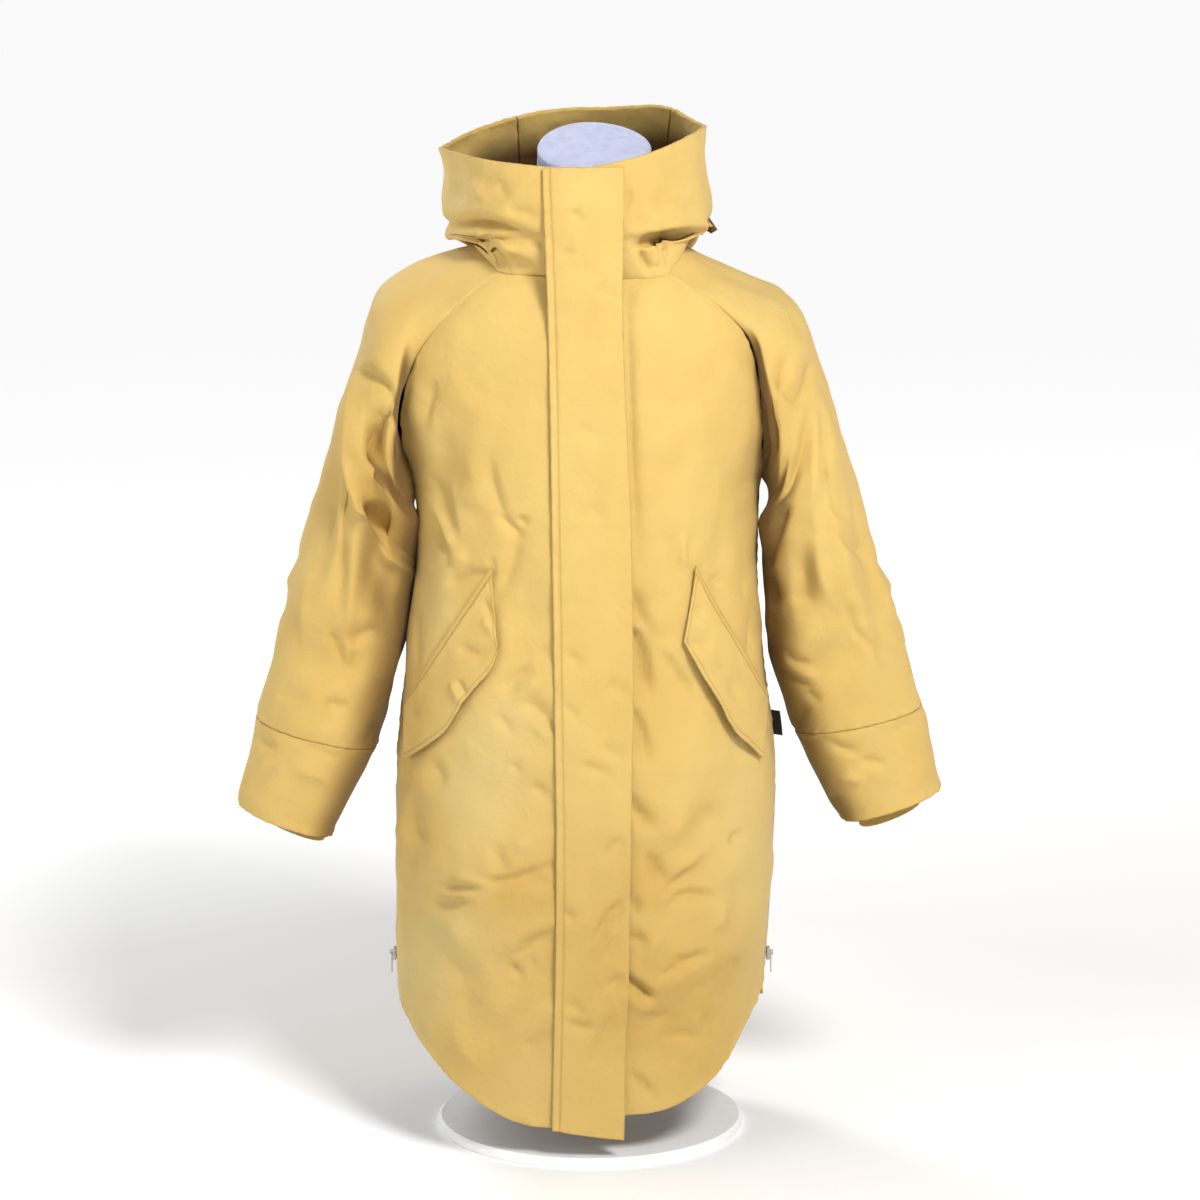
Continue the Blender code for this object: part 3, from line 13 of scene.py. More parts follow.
import bmesh
import bpy
import numpy as np
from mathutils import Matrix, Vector


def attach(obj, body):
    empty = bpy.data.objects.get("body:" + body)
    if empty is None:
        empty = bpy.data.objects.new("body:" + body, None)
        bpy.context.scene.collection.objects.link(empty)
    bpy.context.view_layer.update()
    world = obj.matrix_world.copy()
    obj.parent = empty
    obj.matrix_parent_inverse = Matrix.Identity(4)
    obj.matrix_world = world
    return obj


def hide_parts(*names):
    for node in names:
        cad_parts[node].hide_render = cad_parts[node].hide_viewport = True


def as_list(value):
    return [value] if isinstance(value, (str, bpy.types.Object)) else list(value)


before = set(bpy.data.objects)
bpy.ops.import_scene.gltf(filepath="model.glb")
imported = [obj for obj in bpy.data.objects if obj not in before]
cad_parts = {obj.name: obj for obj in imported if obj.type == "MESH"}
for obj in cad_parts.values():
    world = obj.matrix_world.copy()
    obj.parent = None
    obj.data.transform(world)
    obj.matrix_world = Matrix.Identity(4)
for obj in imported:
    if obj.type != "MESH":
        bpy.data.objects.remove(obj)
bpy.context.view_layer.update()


def table(kind, *rows):
    """Rows of plain values as named ones of one kind."""
    return tuple(kind(*row) for row in rows)


# ---------------------------------------------------------------- driving dimensions
CLOTH = 0.005  # shell, padding and lining together
HOOD_CLOTH = 0.004
PLACKET_CLOTH = 0.0035
FLAP_CLOTH = 0.003
WELT_CLOTH = 0.002
KNIT = 0.002
SEAM_GAP = 0.0003

YOKE_BASE = 0.760  # above this height the torso rounds over to the shoulders
YOKE_POWER = 3.0
SHOULDER_BLEND = 0.04
NECK_JOIN = (0.872, 0.918)  # the heights between which the storm flap passes from body to hood

Section = namedtuple("Section", "height right left front back power")
BODY = table(
    Section,
    (0.015, -0.196, 0.176, -0.160, 0.150, 2.4),
    (0.150, -0.202, 0.182, -0.164, 0.153, 2.4),
    (0.290, -0.201, 0.190, -0.165, 0.156, 2.4),
    (0.398, -0.201, 0.192, -0.163, 0.153, 2.4),
    (0.504, -0.189, 0.179, -0.159, 0.142, 2.4),
    (0.598, -0.1765, 0.1725, -0.155, 0.130, 2.3),
    (0.640, -0.1770, 0.1730, -0.153, 0.127, 2.3),
    (0.685, -0.184, 0.175, -0.151, 0.127, 2.3),
    (0.760, -0.208, 0.192, -0.148, 0.128, 2.3),
)

# The shoulder line's height at each distance from the centre. It goes on, unseen, to the
# centre, where the neck opening is cut out of it.
Shoulder = namedtuple("Shoulder", "reach right_height left_height")
SHOULDER = table(
    Shoulder,
    (0.000, 0.945, 0.945),
    (0.050, 0.941, 0.939),
    (0.090, 0.931, 0.924),
    (0.118, 0.922, 0.910),
    (0.150, 0.911, 0.896),
    (0.192, 0.896, 0.877),
    (0.215, 0.880, 0.862),
)

Corner = namedtuple("Corner", "name x y")
NECKLINE = table(
    Corner,
    ("centre_front", 0.000, -0.125),
    ("right_front", -0.050, -0.121),
    ("right_raglan_front", -0.093, -0.104),
    ("right_corner", -0.108, -0.064),
    ("right_side", -0.110, -0.020),
    ("right_raglan_back", -0.091, 0.038),
    ("right_nape", -0.052, 0.071),
    ("centre_back", -0.003, 0.079),
    ("left_nape", 0.046, 0.071),
    ("left_raglan_back", 0.080, 0.038),
    ("left_side", 0.096, -0.020),
    ("left_corner", 0.094, -0.064),
    ("left_raglan_front", 0.080, -0.104),
    ("left_front", 0.045, -0.121),
)

# The raglan seams between the neckline and the armpit, seen from the front or the back.
SeamPoint = namedtuple("SeamPoint", "x height")
RAGLAN_FRONT = {
    "right": table(
        SeamPoint,
        (-0.118, 0.881),
        (-0.140, 0.857),
        (-0.165, 0.827),
        (-0.182, 0.790),
        (-0.190, 0.757),
        (-0.190, 0.728),
        (-0.187, 0.702),
    ),
    "left": table(
        SeamPoint,
        (0.106, 0.883),
        (0.132, 0.862),
        (0.154, 0.838),
        (0.166, 0.806),
        (0.171, 0.768),
        (0.174, 0.735),
        (0.175, 0.706),
    ),
}
RAGLAN_BACK = {
    "right": table(
        SeamPoint,
        (-0.116, 0.908),
        (-0.143, 0.880),
        (-0.166, 0.840),
        (-0.182, 0.798),
        (-0.190, 0.760),
        (-0.190, 0.728),
        (-0.187, 0.702),
    ),
    "left": table(
        SeamPoint,
        (0.106, 0.898),
        (0.132, 0.872),
        (0.154, 0.838),
        (0.167, 0.800),
        (0.173, 0.764),
        (0.175, 0.735),
        (0.175, 0.706),
    ),
}
ARMPIT_HEIGHT = {"right": 0.683, "left": 0.688}

# Each ring of a sleeve runs from a point on its outer edge to one on its inner edge, and
# reaches forward and back of the line between them.
Ring = namedtuple("Ring", "outer_x outer_height inner_x inner_height front back")
SLEEVE = {
    "right": table(
        Ring,
        (-0.190, 0.897, -0.1940, 0.669, -0.110, 0.100),
        (-0.214, 0.877, -0.1945, 0.660, -0.106, 0.098),
        (-0.230, 0.836, -0.1940, 0.652, -0.100, 0.094),
        (-0.244, 0.792, -0.1870, 0.644, -0.096, 0.090),
        (-0.261, 0.738, -0.1815, 0.632, -0.092, 0.086),
        (-0.277, 0.688, -0.1775, 0.613, -0.088, 0.081),
        (-0.292, 0.636, -0.1780, 0.586, -0.083, 0.076),
        (-0.307, 0.585, -0.1825, 0.547, -0.080, 0.072),
        (-0.322, 0.530, -0.1935, 0.501, -0.076, 0.068),
        (-0.3345, 0.480, -0.2050, 0.452, -0.072, 0.063),
        (-0.3450, 0.437, -0.2200, 0.404, -0.068, 0.058),
    ),
    "left": table(
        Ring,
        (0.172, 0.887, 0.1860, 0.673, -0.110, 0.100),
        (0.200, 0.872, 0.1870, 0.665, -0.107, 0.098),
        (0.215, 0.853, 0.1875, 0.658, -0.102, 0.095),
        (0.231, 0.814, 0.1840, 0.650, -0.098, 0.091),
        (0.248, 0.763, 0.1780, 0.641, -0.094, 0.087),
        (0.264, 0.711, 0.1755, 0.627, -0.089, 0.082),
        (0.281, 0.660, 0.1760, 0.603, -0.085, 0.077),
        (0.296, 0.608, 0.1765, 0.567, -0.080, 0.072),
        (0.312, 0.556, 0.1815, 0.522, -0.076, 0.068),
        (0.327, 0.504, 0.1900, 0.476, -0.072, 0.063),
        (0.3425, 0.449, 0.2110, 0.421, -0.068, 0.058),
    ),
}
CUFF = {
    "right": table(
        Ring,
        (-0.3450, 0.437, -0.2200, 0.404, -0.068, 0.058),
        (-0.3555, 0.391, -0.2430, 0.358, -0.061, 0.050),
        (-0.3655, 0.345, -0.2670, 0.309, -0.052, 0.041),
    ),
    "left": table(
        Ring,
        (0.3425, 0.449, 0.2110, 0.421, -0.068, 0.058),
        (0.3540, 0.406, 0.2340, 0.376, -0.061, 0.050),
        (0.3650, 0.361, 0.2610, 0.326, -0.052, 0.041),
    ),
}
KNIT_CUFF = {
    "right": table(
        Ring,
        (-0.3430, 0.356, -0.2690, 0.329, -0.0360, 0.0270),
        (-0.3400, 0.330, -0.2760, 0.304, -0.0320, 0.0240),
    ),
    "left": table(
        Ring,
        (0.3440, 0.371, 0.2680, 0.345, -0.0360, 0.0270),
        (0.3430, 0.344, 0.2800, 0.319, -0.0320, 0.0240),
    ),
}
SLEEVE_POWER = 2.2
KNIT_RIBS = 48
RIB_HEIGHT = 0.0010
KNIT_START = 0.62  # the share of the cuff's length at which the knit is sewn in
KNIT_SEAT = CLOTH + RIB_HEIGHT + 0.0004

# Rings of the hood above the neckline, from the roll that lies on the shoulders to the rim.
HoodRing = namedtuple(
    "HoodRing",
    "right left front back front_height right_height left_height back_height power",
)
HOOD = table(
    HoodRing,
    (-0.130, 0.106, -0.136, 0.116, 0.912, 0.9290, 0.931, 0.915, 2.5),
    (-0.146, 0.122, -0.145, 0.154, 0.930, 0.928, 0.933, 0.868, 2.2),
    (-0.151, 0.129, -0.149, 0.184, 0.950, 0.943, 0.941, 0.858, 2.1),
    (-0.150, 0.125, -0.150, 0.202, 0.970, 0.968, 0.968, 0.908, 2.1),
    (-0.147, 0.118, -0.147, 0.182, 0.988, 0.992, 1.003, 0.990, 2.0),
    (-0.153, 0.118, -0.139, 0.136, 1.003, 1.018, 1.040, 1.057, 1.8),
)
HOOD_SEAM_TURN = {"right": 0.420, "left": 0.640}  # where the crown panel meets the rim
HOOD_LIFT = 0.0012

# Heights of the curved hem, over the distance from the centre.
Hem = namedtuple("Hem", "x front back")
HEM = table(
    Hem,
    (-0.205, 0.160, 0.142),
    (-0.188, 0.132, 0.116),
    (-0.156, 0.096, 0.088),
    (-0.120, 0.068, 0.066),
    (-0.075, 0.047, 0.051),
    (-0.030, 0.042, 0.045),
    (0.034, 0.055, 0.045),
    (0.075, 0.058, 0.051),
    (0.104, 0.068, 0.066),
    (0.138, 0.094, 0.088),
    (0.168, 0.140, 0.122),
    (0.190, 0.170, 0.146),
)

HEM_LEVEL = 0.150  # the height whose ring gives the hem its width

ZIP_X = -0.002  # the middle of the front opening
ZIP_WIDTH = 0.010
PlacketEdge = namedtuple("PlacketEdge", "height sewn free")
PLACKET = table(
    PlacketEdge,
    (0.031, -0.038, 0.034),
    (0.300, -0.033, 0.040),
    (0.520, -0.035, 0.043),
    (0.600, -0.036, 0.042),
    (0.880, -0.041, 0.032),
    (1.010, -0.045, 0.032),
)
PLACKET_BOTTOM = {"sewn": 0.041, "free": 0.031}
PLACKET_TOP, PLACKET_CLEAR, SEWN_CLEAR = 1.000, 0.0024, 0.0013
SEWN_STRIP = 4.0  # the part of the placket's width, as one in so many, that lies down to its seam
JOIN_SOFTNESS = 0.0015
ZIP_FOOT, ZIP_TOP, ZIP_DEPTH, ZIP_INSET = 0.060, 0.985, 0.0022, 0.0006

# A flap's corners, seen from the front, as x and height. It is sewn on from top to outer, and
# hangs from there.
FLAP = {
    "right": {
        "top": (-0.096, 0.603),
        "outer": (-0.186, 0.458),
        "tip": (-0.184, 0.406),
        "inner": (-0.089, 0.527),
    },
    "left": {
        "top": (0.104, 0.604),
        "outer": (0.1795, 0.462),
        "tip": (0.170, 0.409),
        "inner": (0.092, 0.537),
    },
}
FLAP_LIFT = 0.003  # how far the free edge stands off the panel
FLAP_BOW = {"right": 0.002, "left": 0.004}  # and how much more its middle does
FLAP_CLEAR = 0.0008
# How far a flap's free edge bulges between its inner corner and its tip, in metres.
FLAP_BULGE = {
    "right": ((0, 0), (0.09, 0.0050), (0.24, 0.0056), (0.35, 0.0055), (0.48, 0.0080), (0.61, 0.0108),
              (0.74, 0.0086), (0.88, 0.0045), (1, 0)),
    "left": ((0, 0), (0.25, 0.0041), (0.50, 0.0057), (0.70, 0.0082), (0.86, 0.0030), (1, 0)),
}
WELT_SHARE = 0.11  # the welt's width, as a share of the flap's
FLAP_START = 0.004  # the flap starts this share of its width below the welt

VENT_TOP = 0.167  # the side seams are open below this, and zipped above it
VENT_ZIP_TOP = 0.365
VENT_ZIP_WIDTH = 0.006
LABEL_HEIGHT, LABEL_REACH, LABEL_THICKNESS, LABEL_FOOT = 0.026, 0.010, 0.0010, 0.416
LABEL_STANDOFF, LABEL_SHIFT, LABEL_OUT = 0.0012, 0.004, 1.2
LABEL_PLACES = (-0.45, 0.5, 1)  # the tab's columns: it goes on into its seam by part of its reach

# A fold is a soft ridge, or a trough where its depth is below zero. Its place and half sizes
# are in its surface's own coordinates: metres across and up on the body, turns around and share
# of the length along a sleeve or the hood.
Fold = namedtuple("Fold", "across along half_across half_along lean depth")
FOLDS = {
    "front": table(
        Fold,
        (-0.140, 0.690, 0.022, 0.075, -0.14, -0.008),
        (-0.146, 0.585, 0.026, 0.070, 0.45, 0.007),
        (-0.110, 0.650, 0.024, 0.060, 0.40, -0.006),
        (-0.070, 0.560, 0.022, 0.055, -0.15, -0.006),
        (0.068, 0.555, 0.024, 0.085, -0.10, -0.008),
        (0.066, 0.420, 0.022, 0.065, 0.12, -0.007),
        (0.075, 0.135, 0.036, 0.030, 0.80, -0.010),
        (0.075, 0.200, 0.050, 0.026, 0.60, 0.007),
        (-0.120, 0.290, 0.048, 0.055, 0.00, 0.008),
        (-0.085, 0.370, 0.045, 0.026, -0.60, -0.007),
        (-0.090, 0.170, 0.050, 0.028, 0.50, -0.006),
        (0.120, 0.250, 0.050, 0.045, 0.00, 0.007),
        (0.126, 0.345, 0.026, 0.080, 0.25, -0.006),
        (0.140, 0.640, 0.024, 0.080, 0.10, -0.007),
    ),
    "back": table(
        Fold,
        (-0.110, 0.630, 0.026, 0.085, 0.25, -0.008),
        (0.105, 0.620, 0.026, 0.090, -0.22, -0.008),
        (-0.020, 0.570, 0.080, 0.026, 0.10, -0.006),
        (0.030, 0.480, 0.085, 0.028, -0.12, 0.007),
        (-0.060, 0.280, 0.030, 0.105, 0.08, 0.008),
        (0.070, 0.250, 0.030, 0.100, -0.10, -0.008),
    ),
    "right_sleeve": table(
        Fold,
        (0.270, 0.340, 0.090, 0.045, -0.25, 0.013),
        (0.300, 0.430, 0.050, 0.090, 0.05, -0.013),
        (0.220, 0.520, 0.050, 0.130, 0.06, 0.011),
        (0.130, 0.500, 0.050, 0.120, 0.04, -0.010),
        (0.340, 0.600, 0.070, 0.050, 0.35, -0.010),
        (0.250, 0.800, 0.080, 0.045, -0.20, -0.007),
        (0.720, 0.450, 0.050, 0.120, 0.05, -0.009),
        (0.820, 0.650, 0.050, 0.100, -0.05, 0.008),
    ),
    "left_sleeve": table(
        Fold,
        (0.270, 0.330, 0.090, 0.045, -0.30, -0.011),
        (0.170, 0.370, 0.050, 0.060, 0.20, 0.009),
        (0.200, 0.560, 0.045, 0.160, 0.00, 0.010),
        (0.310, 0.600, 0.050, 0.080, -0.15, -0.010),
        (0.110, 0.620, 0.045, 0.110, 0.08, -0.009),
        (0.300, 0.810, 0.070, 0.045, 0.20, -0.007),
        (0.720, 0.470, 0.050, 0.120, -0.05, -0.009),
        (0.820, 0.640, 0.050, 0.100, 0.05, 0.008),
    ),
    "hood": table(
        Fold,
        (0.130, 0.340, 0.085, 0.075, 0.25, -0.011),
        (0.870, 0.360, 0.070, 0.075, -0.25, -0.009),
        (0.330, 0.550, 0.045, 0.200, 0.00, -0.009),
        (0.520, 0.600, 0.045, 0.200, 0.00, 0.008),
        (0.720, 0.480, 0.045, 0.180, 0.00, -0.009),
    ),
}

# The top of the dress form's neck, which leans forward by so many degrees, and its cap.
NeckTop = namedtuple("NeckTop", "height right left front back lean")
NECK_TOP = NeckTop(1.010, -0.053, 0.062, -0.064, 0.052, 21.0)
CAP_HEIGHT = 0.014
# Each ring of the cap has a share of the neck's width and is raised by a share of its height.
CapRing = namedtuple("CapRing", "share rise")
CAP = table(
    CapRing,
    (0.97, 0.00),
    (1.00, 0.25),
    (1.00, 0.65),
    (0.96, 0.88),
    (0.86, 1.00),
    (0.45, 1.18),
)

# ---------------------------------------------------------------- mesh fineness
FRONT_COLUMNS, BACK_COLUMNS = 11, 16
ZIP_ROWS, SIDE_ROWS, RAGLAN_ROWS = 5, 8, 7
SLEEVE_SIDES, SLEEVE_ROWS, CUFF_ROWS, KNIT_ROWS = 20, 17, 2, 2
NECK_TURN = 0.15  # the share of a sleeve's top edge, each way, that lies on the neckline
HOOD_ROWS, YOKE_COLUMNS, NAPE_COLUMNS, CROWN_COLUMNS = 12, 6, 4, 8
PLACKET_COLUMNS, PLACKET_ROWS, PLACKET_HOOD_ROWS = 4, 24, 8
FLAP_COLUMNS, FLAP_ROWS, WELT_ROWS, TAPE_COLUMNS, LABEL_ROWS = 8, 4, 2, 2, 3
ARMHOLE_WARP, WARPED_RINGS = 0.06, 6
FOLD_FADE, END_FADE = 0.030, 0.10  # folds die out towards seams, in metres or shares
STEP = 1e-4  # the step used to measure a slope
FACING_PLACE = 0.6  # where a ringed surface is asked which way is out
HOOD_FRONT_TURN, HALVINGS = 0.13, 30  # how far round, and in how many steps, a turn is looked for
FRONT_PLACES, CURVE_PLACES = 60, 16  # how finely the hood's front and a curve's length are measured
HOOD_TRIES, NECK_WRAP = 3, 3  # rounds of a search; corners repeated at the neckline table's ends
QUARTERS = (0, 0.25, 0.5, 0.75)
SLEEVE_TOP_ROWS = (0.0, 0.03, 0.075)  # where a sleeve's first rows lie, as shares of its length

SIGN = {"right": -1.0, "left": 1.0}
TURNED = ("right_sleeve", "left_sleeve", "hood")

# ---------------------------------------------------------------- fineness and finish of the shells
# The photograph's camera: its distance and tilt, metres to a pixel at the jacket's middle, the
# place that it looks at, and its picture's width in pixels.
VIEW_DISTANCE, VIEW_PITCH, VIEW_SCALE = 3.5, math.radians(9.0), 0.00103
VIEW_X, VIEW_HEIGHT, PICTURE = 0.0103, 0.556, 1200
VIEW_FOCUS = VIEW_DISTANCE / VIEW_SCALE
MM = 1000  # millimetres in a metre
PIXEL = VIEW_SCALE * MM  # a pixel of the photograph is so many millimetres on the jacket
# Creases copied to the back: their most depth, from which line of the photograph down, how far
# they are lowered in it, and which one of how many is left out.
BEHIND_DEEPEST, BEHIND_FROM, BEHIND_DROP = 5.0, 480, 12
BEHIND_CYCLE, BEHIND_SKIPPED = 5, 2

# How many rows and columns each shell has, before those beside its borders.
FRONT_STEPS, BACK_STEPS, SLEEVE_STEPS = (300, 76), (250, 110), (170, 150)
CUFF_STEPS, HOOD_STEPS, CROWN_STEPS = (34, 150), (84, 150), (84, 44)
FLAP_STEPS, WELT_STEPS, PLACKET_STEPS = (34, 76), (5, 76), (400, 34)
EDGE_STEPS = (0.0004, 0.0011, 0.0020, 0.0033)  # extra rows this far from a shell's borders
EDGE_CLEAR = 1.4  # even rows start this many times as far in as the last extra one
FAR, TINY = 1.0, 1e-12  # farther than any border is, and less than any length
SEAM_FADE, SEAM_HOLD = 0.012, 0.35  # near a seam, creases keep this share of their depth
# A wall's share of its thickness at a border, and the outside's share of how it thins to that.
EDGE_SHARE, EDGE_OUTSIDE = 0.30, 0.28

# Uneven ripples: each is the sum of so many waves, whose lengths vary by these shares. A hold is
# the share of their height that they keep at a seam.
Wave = namedtuple("Wave", "seed length height")
RIPPLE_WAVES, WAVE_LENGTHS = 26, (0.6, 1.6)
SOFT_WAVES = table(Wave, (11, 0.095, 0.0014), (23, 0.040, 0.0006))
RIDGE_WAVES = table(Wave, (51, 0.17, 0.0016), (53, 0.08, 0.00064))
PUCKER_WAVE, PUCKER_REACH = Wave(37, 0.013, 0.00055), 0.006
SOFT_HOLD, RIDGE_HOLD = 0.25, 0.3
# Ridges have these shares of their height on the chest, above the first of two heights, and on
# sleeves, cuffs and hood. Below the second height they are full.
RIDGES_BODY, RIDGES_LIMBS, RIDGE_HEIGHTS = 0.25, 0.5, (0.66, 0.42)

# Shares for all creases' depths and widths, how sharp their lines are, how steep that line is,
# and how many widths off they end.
CREASE_DEPTH, CREASE_SPREAD, CREASE_CRISP, CREASE_LINE, CREASE_REACH = 1.35, 1.3, 0.35, 2.0, 3.2
CREASE_START, CREASE_END = 0.35, 0.45  # the shares of a crease's length over which its ends fade
CREASE_FACING = (0.0, 0.42)  # a crease is weaker where the cloth turns from the picture's viewer
GROOVE_HALF, GROOVE_DEPTH = 0.0011, 0.0007  # a stitched line lies in a groove of this size
STITCH, STITCH_PITCH, STITCH_HALF, STITCH_RISE = 0.0023, 0.0033, 0.00028, 0.00022
# How far from a line's ends stitches stay, how uneven they are, how far they sink in, and how
# much narrower and shorter their tops are.
STITCH_ENDS, STITCH_JITTER, STITCH_LENGTHS = (0.004, 0.006), 0.0002, (0.9, 1.05)
STITCH_SINK, STITCH_TOP, STITCH_SLOPE = 0.0002, 0.6, 0.12
KNIT_STEPS, KNIT_FINE_RIBS, KNIT_WAVE, KNIT_MIDDLE = (20, 440), 74, 0.0007, 0.6
CAP_SIDES, CAP_RINGS = 160, 26
# A zip's teeth: how far aside and out of the tape they sit, how far from the zip's ends, their
# half sizes, how far they go in and out, and their tops' share of their feet.
TOOTH_PITCH, TOOTH_ASIDE, TOOTH_LIFT, TOOTH_START, TOOTH_STOP = 0.0016, 0.0007, 0.0002, 0.001, 0.002
TOOTH_ACROSS, TOOTH_UP, TOOTH_IN, TOOTH_OUT, TOOTH_TOP = 0.0010, 0.21 * TOOTH_PITCH, 0.0006, 0.0007, 0.7
# The fold across the cap's cover: its height, place, slope, half width and the ring it starts at.
# The cover's dents: their depth, where round it they start, and the rings between which they rise.
CAP_FOLD, CAP_FOLD_PLACE, CAP_FOLD_SLOPE, CAP_FOLD_HALF, CAP_FOLD_FROM = 0.0008, 0.012, 0.10, 0.0011, 3
CAP_DENT, CAP_DENT_START, CAP_DENT_RINGS = 0.0012, 0.6, (1.0, 3.0)
SIDE_ZIP_ROWS, SIDE_ZIP_STEPS, FRONT_ZIP_ROWS, FRONT_ZIP_STEPS = 12, (90, 8), 60, (240, 8)
LABEL_STEPS = (30, 12)

# Lines of stitches: beside which border of a piece they run, and how far in.
StitchedLine = namedtuple("StitchedLine", "border inset")
STITCHED = {
    "placket": (StitchedLine("first_column", 0.0077),),
    "pocket_flap": (StitchedLine("last_row", 0.0055), StitchedLine("first_column", 0.0055)),
    "pocket_welt": (StitchedLine("first_row", 0.0020), StitchedLine("last_row", 0.0020)),
}
# What each sheet was cut to: its width, all round on a tube, its length, its flat area, how it is
# held, and what it rests on.
Cut = namedtuple("Cut", "width length area held rests_on")
CUTS = {
    "front_right": Cut(0.316, 0.859, 0.212, "hung", ("cloth_sleeve_right", "form_torso")),
    "front_left": Cut(0.308, 0.851, 0.204, "hung", ("cloth_sleeve_left", "form_torso")),
    "back": Cut(0.593, 0.905, 0.421, "hung", ("cloth_sleeve_right", "cloth_sleeve_left", "form_torso")),
    "sleeve_right": Cut(0.720, 0.596, 0.215, "hung", ("form_torso",)),
    "sleeve_left": Cut(0.700, 0.581, 0.203, "hung", ("form_torso",)),
    "cuff_right": Cut(0.405, 0.106, 0.0363, "hung", ("cloth_sleeve_right",)),
    "cuff_left": Cut(0.414, 0.107, 0.0367, "hung", ("cloth_sleeve_left",)),
    "knit_cuff_right": Cut(0.313, 0.054, 0.0135, "hung", ("cloth_cuff_right",)),
    "knit_cuff_left": Cut(0.324, 0.060, 0.0149, "hung", ("cloth_cuff_left",)),
    "hood_right": Cut(0.390, 0.305, 0.0600, "draped", ("cloth_front_right", "cloth_sleeve_right")),
    "hood_left": Cut(0.386, 0.303, 0.0589, "draped", ("cloth_front_left", "cloth_sleeve_left")),
    "hood_centre": Cut(0.188, 0.378, 0.0584, "draped", ("cloth_back",)),
    "placket": Cut(0.082, 0.976, 0.0768, "hung", ("cloth_front_right",)),
    "pocket_flap_right": Cut(0.191, 0.080, 0.0115, "hung", ("cloth_front_right",)),
    "pocket_flap_left": Cut(0.184, 0.073, 0.0109, "hung", ("cloth_front_left",)),
    "pocket_welt_right": Cut(0.193, 0.010, 0.0016, "laid", ("cloth_front_right",)),
    "pocket_welt_left": Cut(0.190, 0.011, 0.0017, "laid", ("cloth_front_left",)),
    "side_tab": Cut(0.0145, 0.026, 0.000377, "hung", ("cloth_front_left",)),
}

# Between these heights, in and out, the storm flap is drawn straight at the neck.
TAUT_ROUNDS, TAUT_SHARE, TAUT_FROM, TAUT_TO = 60, 0.8, (0.84, 0.88), (0.99, 0.96)
TUCK_REACH, TUCK_DEPTH = 0.008, 0.0042  # how far a sewn border goes on under its neighbour
# How much of the deep inside colour, which is painted shade, the inside and the arms' inner sides take,
# over which turns inward, and over which distances from the hood's rim the hood's inside darkens.
INSIDE_SHADE, INNER_ARM_DARK, INNER_ARM_TURNS, RIM_DARK = 0.45, 0.85, (0.25, 0.95), (0.014, 0.056)

NODE_PAINTS = {
    "slider_right": "metal",
    "slider_left": "metal",
    "pull_tab_right": "metal",
    "pull_tab_left": "metal",
    "form_torso": "cover",
    "stand_pole": "stand",
    "stand_foot": "stand",
}

